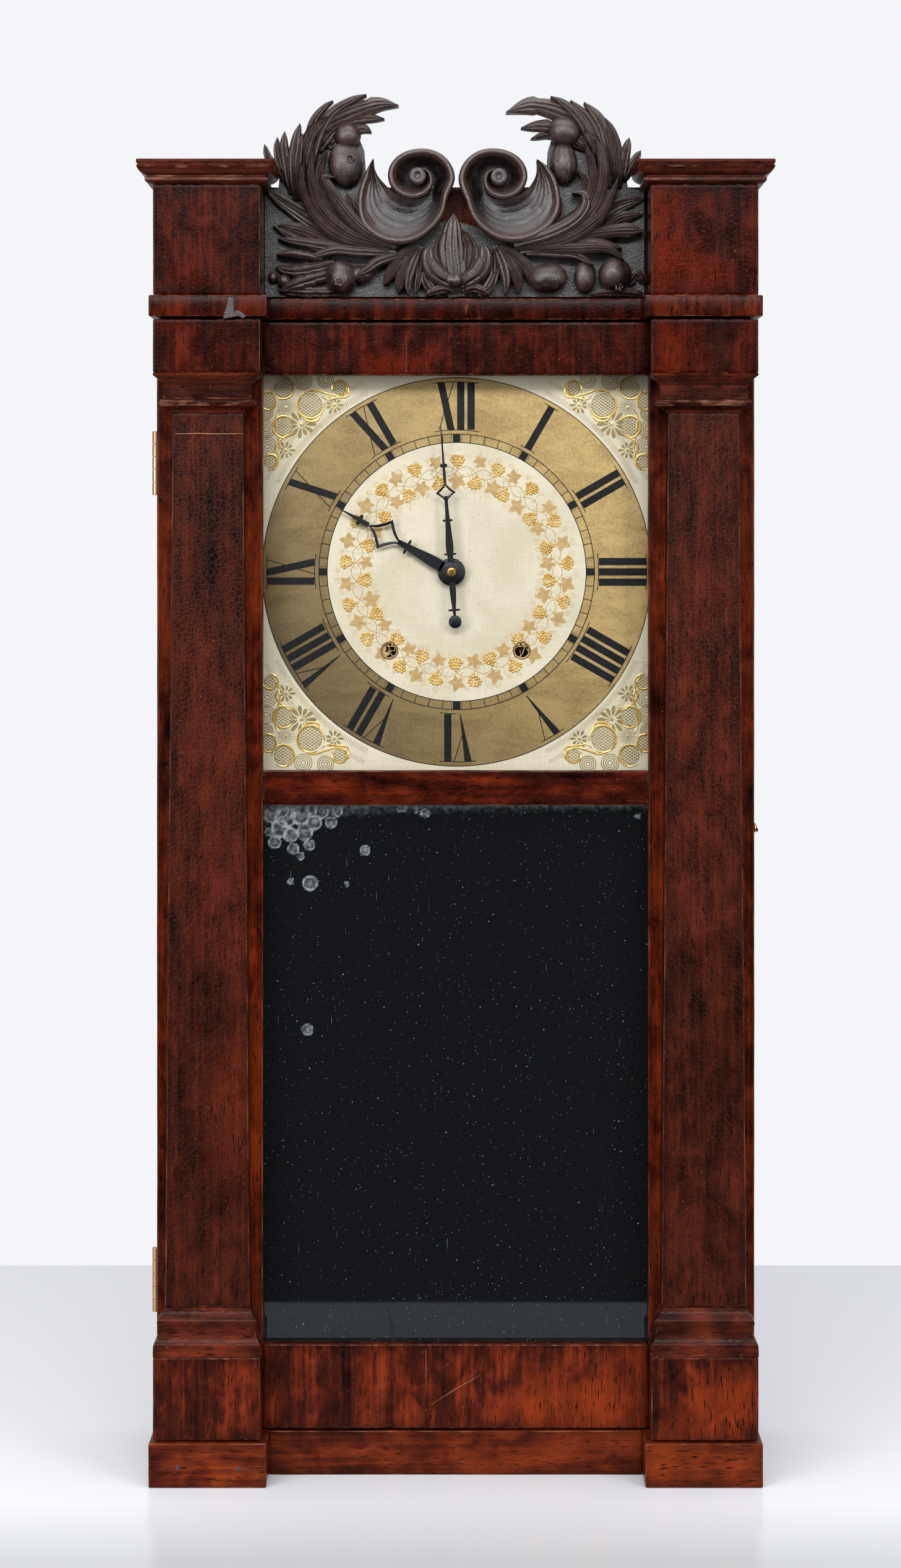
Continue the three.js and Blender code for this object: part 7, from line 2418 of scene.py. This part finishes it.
@dataclass
class Wear:
    """Marks of age on the front: veneer lost from the left band block, filled nail holes in
    the left foot, hairline cracks and scratches, and a crack in the mirror. A mark is drawn
    as knots (x and y in photograph pixels, half width in millimetres) on a surface's depth."""

    palette: Palette
    front: float = 0.1
    frame: float = 34.1
    shaft: float = 15.6
    mirror: float = 44.4
    lost: tuple = (
        ((373, 480, 1.6), (372, 494, 2.4), (371, 506, 3.6), (372, 513, 5.2)),
        ((380, 504, 1.2), (388, 508, 1.7), (395, 513, 1.2)),
        ((286.8, 2369, 0.8), (286.8, 2373, 1.7), (286.8, 2377, 0.8)),
        ((386.4, 2371, 0.8), (386.4, 2375, 1.7), (386.4, 2379, 0.8)))
    scratches: tuple = (
        ((696, 2272, 0.08), (735, 2247, 0.18), (775, 2224, 0.08)),
        ((616.7, 2182, 0.05), (617.2, 2240, 0.08), (616.4, 2300, 0.05)),
        ((688, 2182, 0.07), (688.6, 2220, 0.12), (687.6, 2264, 0.05)),
        ((656, 543, 0.04), (656.4, 575, 0.06), (655.6, 602, 0.05)))
    split: tuple = ((283, 701.6, 0.16), (320, 700.6, 0.30), (350, 701.6, 0.26), (392, 700.8, 0.18))
    cracks: tuple = (
        ((259.9, 1990, 0.15), (259.2, 2030, 0.35), (260.2, 2084, 0.15)),)
    mirror_crack: tuple = ((627.4, 2118, 0.7), (630.9, 2139, 1.1), (633.8, 2156, 0.8), (638, 2174, 1.0))

    def mark(self, skin: Skin, knots: Sequence[Sequence[float]], depth: float, lift: float = 0.14) -> None:
        """One mark: the outline runs up one side of its curve and down the other, is drawn in
        to its middle line in front, and its edge sinks under the surface.

        Args:
            skin: mesh it is added to.
            knots: column and row in the photograph, and half width in mm.
            depth: depth of the surface.
            lift: how far its middle stands out.
        """
        run = smooth_path(knots, 24)
        line = np.column_stack([PhotoView.x_at(run[:, 0], depth), PhotoView.z_at(run[:, 1], depth)])
        ahead = np.gradient(line, axis=0)
        ahead /= np.linalg.norm(ahead, axis=1, keepdims=True)
        side = np.column_stack([-ahead[:, 1], ahead[:, 0]]) * run[:, 2:]
        # ragged edges: the width varies by a fifth over a few millimetres
        ragged = (1 + 0.2 * np.sin(2.1 * np.arange(24) + run[0, 1]))[:, None]
        rows = []
        for share, up in ((-1, -0.25), (-1, 0.02), (-0.6, lift), (0, lift), (0.6, lift), (1, 0.02),
                          (1, -0.25)):
            at = line + share * ragged * side
            rows.append(np.column_stack([at[:, 0], np.full(24, depth - up), at[:, 1]]))
        ring = np.stack(rows, axis=1)
        skin.add(capped(ring), grid_quads(26, 7, closed_columns=True))

    def build(self) -> None:
        """Build the marks, one piece to a finish and body."""
        lost, bared, cracks = Skin(), Skin(), Skin()
        for knots in self.lost:
            self.mark(lost, knots, self.front)
        for knots in self.scratches:
            self.mark(bared, knots, self.frame)
        self.mark(bared, self.split, self.shaft, 0.3)
        for knots in self.cracks:
            self.mark(cracks, knots, self.frame)
        self.mark(cracks, self.mirror_crack, self.mirror, 0.08)
        place(lost.object("lost_veneer_and_nail_holes", self.palette.filler), "case", "mahogany")
        place(bared.object("scratches_and_splits", self.palette.bared), "door", "mahogany")
        place(cracks.object("open_cracks", self.palette.black), "door", "dark_mahogany")


# ---------------------------------------------------------------- movement and weights


@dataclass
class Movement:
    """Weight-driven movement: brass plates and wheels, steel verge and hammer, a wound wire
    gong and the pendulum."""

    palette: Palette
    arbor_x: float = -3.0
    bob_z: float = 300.1
    bob_radius: float = 30.0
    bob_half: float = 6.0
    pendulum_depth: float = 130.0
    nut_z: float = 266.1

    def bob(self) -> None:
        """Brass lens bob: depth = half (1 - (r / R)^2)^0.8 on both faces, with a rolled rim."""
        share = np.linspace(0, 1, 14)
        face = self.bob_half * (1 - share ** 2) ** 0.8
        radius = share * self.bob_radius
        profile = np.vstack([np.column_stack([self.pendulum_depth - 0.6 - 0.9 * face, radius]),
                             np.column_stack([self.pendulum_depth + 0.6 + 0.9 * face, radius])[::-1]])
        skin = Skin()
        turned(skin, self.arbor_x, self.bob_z, profile, 72)
        place(skin.object("lens_bob", self.palette.brass), "pendulum", "brass", "pendulum_bob")
        skin = Skin()
        turned(skin, self.arbor_x, self.pendulum_depth, [
            (self.nut_z - 4.4, 0), (self.nut_z - 4.2, 1.1), (self.nut_z - 0.4, 1.1), (self.nut_z - 0.2, 3.4),
            (self.nut_z + 0.4, 4.1), (self.nut_z + 2.4, 4.1), (self.nut_z + 3.0, 3.4), (self.nut_z + 3.2, 0)],
               40, Axis.UPRIGHT)
        place(skin.object("rating_nut", self.palette.brass), "pendulum", "brass")

    def build(self) -> None:
        """Build the bob and dress what stays as it is."""
        self.bob()
        for name in ("movement_frame", "centre_wheel", "escape_wheel", "time_barrel", "strike_barrel"):
            dress(name, self.palette.old_brass)
        for name in ("verge", "pendulum_rod", "hammer"):
            dress(name, self.palette.steel)
        dress("gong", self.palette.blackened)


@dataclass
class Weights:
    """Cast iron weights on three-strand cords that run over brass pulleys to the drums."""

    palette: Palette
    middle: float = 174.3
    drop_x: float = 174.3
    depth: float = 105.3
    half: float = 23.0
    bottom: float = 39.6
    top: float = 219.6
    eye: float = 231.6
    cord_radius: float = 0.9
    pulley_x: float = 164.7
    pulley_z: float = 812.2
    pulley_radius: float = 10.0
    groove: float = 8.5
    drum_x: float = 48.1
    drum_z: float = 590.8
    drum_radius: float = 12.0
    lift: float = 0.5  # metres that a weight is wound up

    def cord(self, skin: Skin, path: np.ndarray, sides: int = 12) -> None:
        """Laid cord: a swept bar with radius R (0.9 + 0.1 cos 3 (a - 2 pi s / 7 mm)), three
        strands that go once round in 7 mm.

        Args:
            skin: mesh it is added to.
            path: points of its centre line.
            sides: points round it.
        """
        path = np.asarray(path, float)
        step = np.linalg.norm(np.diff(path, axis=0), axis=1)
        run = np.concatenate([[0], np.cumsum(step)])
        count = int(run[-1] / 1.0) + 2
        wanted = np.linspace(0, run[-1], count)
        path = np.column_stack([np.interp(wanted, run, path[:, k]) for k in range(3)])
        ahead = np.gradient(path, axis=0)
        ahead /= np.linalg.norm(ahead, axis=1, keepdims=True)
        side = np.cross(ahead, np.array([0.0, 1.0, 0.0]))
        side /= np.linalg.norm(side, axis=1, keepdims=True)
        over = np.cross(side, ahead)
        angle = np.linspace(0, 2 * np.pi, sides, endpoint=False)[None]
        r = self.cord_radius * (0.88 + 0.12 * np.cos(3 * (angle - 2 * np.pi * wanted[:, None] / 7.0 / 3)))
        ring = path[:, None] + r[..., None] * (side[:, None] * np.cos(angle)[..., None]
                                               + over[:, None] * np.sin(angle)[..., None])
        skin.add(capped(ring), grid_quads(count + 2, sides, closed_columns=True))

    def weight(self, kind: str, sign: int) -> None:
        """Cast block with rounded corners and a wire eye in its top.

        Args:
            kind: time or strike.
            sign: 1 on the right, -1 on the left.
        """
        skin = Skin()
        x = sign * self.middle
        eased_box(skin, (x - self.half, self.depth - self.half, self.bottom),
                  (x + self.half, self.depth + self.half, self.top), 3.2, 9.0, 0.35)
        t = np.linspace(0, 2 * np.pi, 36, endpoint=False)
        loop = np.column_stack([x + 2.4 * np.sin(t), np.full(36, self.depth),
                                self.eye - 3.6 - 2.4 * np.cos(t)])
        swept(skin, loop, 1.15, 12, closed=True)
        turned(skin, x, self.depth, [(self.top - 1, 0), (self.top - 1, 3.4), (self.top + 0.8, 2.4),
                                     (self.top + 3.0, 1.5), (self.top + 6.4, 1.4), (self.top + 6.6, 0)], 24,
               Axis.UPRIGHT)
        place(skin.object(f"{kind}_weight_casting", self.palette.iron), f"{kind}_weight", "cast_iron",
              f"{kind}_weight")

    def pulley(self, kind: str, sign: int) -> None:
        """Turned pulley with a round groove and lightened cheeks.

        Args:
            kind: time or strike.
            sign: 1 on the right, -1 on the left.
        """
        d, r, g = self.depth, self.pulley_radius, self.groove
        profile = [(d - 3.5, 1.35), (d - 3.5, 3.2), (d - 2.7, 3.6), (d - 2.6, 7.2), (d - 3.3, 7.8),
                   (d - 3.4, 9.2),
                   (d - 2.9, r), (d - 2.2, r), (d - 1.4, g + 0.5), (d, g), (d + 1.4, g + 0.5), (d + 2.2, r),
                   (d + 2.9, r), (d + 3.4, 9.2), (d + 3.3, 7.8), (d + 2.6, 7.2), (d + 2.7, 3.6),
                   (d + 3.5, 3.2),
                   (d + 3.5, 1.35), (d - 3.5, 1.35)]
        skin = Skin()
        turned(skin, sign * self.pulley_x, self.pulley_z, profile, 56)
        place(skin.object(f"{kind}_pulley_turned", self.palette.brass), f"{kind}_pulley", "brass",
              f"{kind}_pulley")

    def cords(self, kind: str, sign: int) -> None:
        """Cord over the pulley, its hanging part, and the turns on the drum.

        Args:
            kind: time or strike.
            sign: 1 on the right, -1 on the left.
        """
        reach, over = self.drum_radius + self.cord_radius + 0.2, self.groove + self.cord_radius + 0.2
        dx, dz = self.pulley_x - self.drum_x, self.pulley_z - self.drum_z
        far = np.hypot(dx, dz)
        side = np.arctan2(dz, dx) + np.arccos((reach - over) / far)
        arc = side * (1 - np.linspace(0, 1, 20))
        start = np.array([self.drum_x + reach * np.cos(side), self.drum_z + reach * np.sin(side)])
        round_it = np.column_stack([self.pulley_x + over * np.cos(arc), self.pulley_z + over * np.sin(arc)])
        flat = np.vstack([start, round_it])
        path = np.column_stack([sign * flat[:, 0], np.full(len(flat), self.depth), flat[:, 1]])
        skin = Skin()
        self.cord(skin, path)
        place(skin.object(f"{kind}_cord_over_pulley", self.palette.cord), "case", "cord", f"{kind}_cord_lead")
        skin = Skin()
        x = sign * self.drop_x
        self.cord(skin, np.array([(x, self.depth, self.eye + 0.3), (x, self.depth, self.pulley_z - 0.6)]))
        drop = place(skin.object(f"{kind}_cord_hanging", self.palette.cord), "case", "cord",
                     f"{kind}_cord_drop")
        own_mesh(drop)
        turns = np.linspace(0, 6 * np.pi, 150)
        wound = np.column_stack([sign * self.drum_x + (self.drum_radius + 0.75) * np.cos(side + turns),
                                 self.depth + 0.4 + turns / (2 * np.pi) * 1.9,
                                 self.drum_z + (self.drum_radius + 0.75) * np.sin(side + turns)])
        skin = Skin()
        self.cord(skin, wound)
        place(skin.object(f"{kind}_cord_on_drum", self.palette.cord), f"{kind}_barrel", "cord")

    def build(self) -> None:
        """Build both weights with what they hang from."""
        for kind, sign in (("time", 1), ("strike", -1)):
            self.weight(kind, sign)
            self.pulley(kind, sign)
            self.cords(kind, sign)


# ---------------------------------------------------------------- camera and light


class PhotoView:
    """The photograph's view: a level camera 2.2 m in front of the foot blocks."""

    scale = 0.4375  # millimetres to a pixel at the foot blocks' front
    distance = 2200.0
    middle_px = (728.0, 900.0)
    middle_mm = (-3.7, 659.1)

    @classmethod
    def x_at(cls, pixel: float, depth: float) -> float:
        """x in millimetres of a pixel column, at a depth."""
        return cls.middle_mm[0] + (pixel - cls.middle_px[0]) * cls.scale * (1 + depth / cls.distance)

    @classmethod
    def z_at(cls, pixel: float, depth: float) -> float:
        """Height in millimetres of a pixel row, at a depth."""
        return cls.middle_mm[1] + (cls.middle_px[1] - pixel) * cls.scale * (1 + depth / cls.distance)

    @classmethod
    def build(cls) -> None:
        """Set the camera up."""
        data = bpy.data.cameras.new("photo_view")
        data.lens = 71.4
        data.shift_y = -0.145
        data.clip_end = 50.0
        camera = bpy.data.objects.new("photo_view", data)
        camera.location = (cls.middle_mm[0] * METRE, -(cls.distance + MIDDLE_DEPTH) * METRE,
                           cls.middle_mm[1] * METRE)
        camera.rotation_euler = (np.pi / 2, 0.0, 0.0)
        bpy.context.scene.collection.objects.link(camera)
        bpy.context.scene.camera = camera


@dataclass
class Studio:
    """White table before an evenly lit white wall, soft boxes at both sides, in front and above,
    and a dark room in front."""

    table_front: float = -0.533
    table_back: float = 0.618
    half_width: float = 1.6

    def sheet(self, name: str, corners: Sequence[Sequence[float]], tone: str,
              roughness: float) -> bpy.types.Object:
        """Flat studio surface through four corners, in metres, as a fine grid.

        Args:
            name: its name.
            corners: its corners in order.
            tone: hex code of its colour.
            roughness: how soft its reflections are.

        Returns:
            The sheet.
        """
        a, b, c, d = (np.array(p, float) for p in corners)
        u, v = np.meshgrid(np.linspace(0, 1, 9), np.linspace(0, 1, 9), indexing="ij")
        u, v = u[..., None], v[..., None]
        grid = (a * (1 - u) + b * u) * (1 - v) + (d * (1 - u) + c * u) * v
        mesh = bpy.data.meshes.new(name)
        mesh.from_pydata(grid.reshape(-1, 3).tolist(), [], grid_quads(9, 9).tolist())
        mesh.materials.append(StudioPaper(f"{name}_paper", tone, tone, roughness).material())
        made = bpy.data.objects.new(name, mesh)
        bpy.context.scene.collection.objects.link(made)
        return made

    def light(self, name: str, place_m: Sequence[float], aim: Sequence[float], size: tuple,
              power: float, tone: str = "FFFFFF") -> None:
        """One soft box, pointed at a place.

        Args:
            name: its name.
            place_m: where it stands, in metres.
            aim: the place it points at.
            size: width and height of its face.
            power: its power in watts.
            tone: hex code of its colour.
        """
        data = bpy.data.lights.new(name, "AREA")
        data.shape = "RECTANGLE"
        data.size, data.size_y = size
        data.energy = power
        data.color = linear(tone)[:3]
        lamp = bpy.data.objects.new(name, data)
        lamp.location = place_m
        direction = np.array(aim, float) - np.array(place_m, float)
        lamp.rotation_euler = Vector(direction.tolist()).to_track_quat("-Z", "Y").to_euler()
        bpy.context.scene.collection.objects.link(lamp)

    def build(self) -> None:
        """Lay the table, light the room and place the lights."""
        w, front, back = self.half_width, self.table_front, self.table_back
        self.sheet("table", ((-w, front, 0), (w, front, 0), (w, back, 0), (-w, back, 0)), "CFD0D4", 0.16)
        ground = self.sheet("ground", ((-4, -4, -0.001), (4, -4, -0.001), (4, back, -0.001),
                                       (-4, back, -0.001)), "C2C3C6", 0.5)
        ground.visible_glossy = False
        ground.visible_diffuse = False
        ground.visible_shadow = False
        self.light("left_softbox", (-1.5, -1.9, 0.95), (0, 0, 0.55), (0.9, 1.4), 38)
        self.light("right_softbox", (1.5, -1.9, 0.95), (0, 0, 0.55), (0.9, 1.4), 33)
        self.light("front_softbox", (-0.2, -2.2, 1.7), (0, 0, 0.5), (1.9, 0.5), 44)
        self.light("top_softbox", (0.0, -0.5, 2.3), (0, 0.1, 0.4), (1.8, 1.2), 15)
        world = bpy.data.worlds.new("room")
        bpy.context.scene.world = world
        world.use_nodes = True
        tree = world.node_tree
        tree.nodes.clear()
        aim = add(tree, "TexCoord", output="Generated")
        toward, upward = (add(tree, "SeparateXYZ", {0: aim}, axis) for axis in "YZ")
        # the room is dark in front and below, lit behind and above
        ahead = add(tree, "MapRange", {0: toward, 1: -0.35, 2: 0.5, 3: 0.0, 4: 0.55})
        above = add(tree, "MapRange", {0: upward, 1: 0.05, 2: 0.8, 3: 0.0, 4: 1.25})
        level = add(tree, "Math", {0: ahead, 1: above}, operation="MAXIMUM")
        room = add(tree, "Background", {0: linear("F4F6FA"), 1: level})
        seen = add(tree, "Background", {0: linear("F4F5F8"), 1: 1.0})
        path = add(tree, "LightPath", output="Is Camera Ray")
        mixed = add(tree, "MixShader", {0: path, 1: room, 2: seen})
        add(tree, "OutputWorld", {0: mixed})
        bpy.context.scene.view_settings.view_transform = "Standard"


def main() -> None:
    """Build the clock, its studio and its camera."""
    logging.basicConfig(level=logging.INFO, format="%(name)s: %(message)s")
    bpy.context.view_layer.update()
    palette = Palette()
    PhotoView.build()
    Studio().build()
    CaseWork(palette).build()
    Cornices(palette).build()
    Door(palette).build()
    Pilasters(palette).build()
    CarvedCrest(palette).build()
    Dial(palette).build()
    Hands(palette).build()
    DoorIrons(palette).build()
    Wear(palette).build()
    Movement(palette).build()
    Weights(palette).build()


if __name__ == "__main__":
    main()
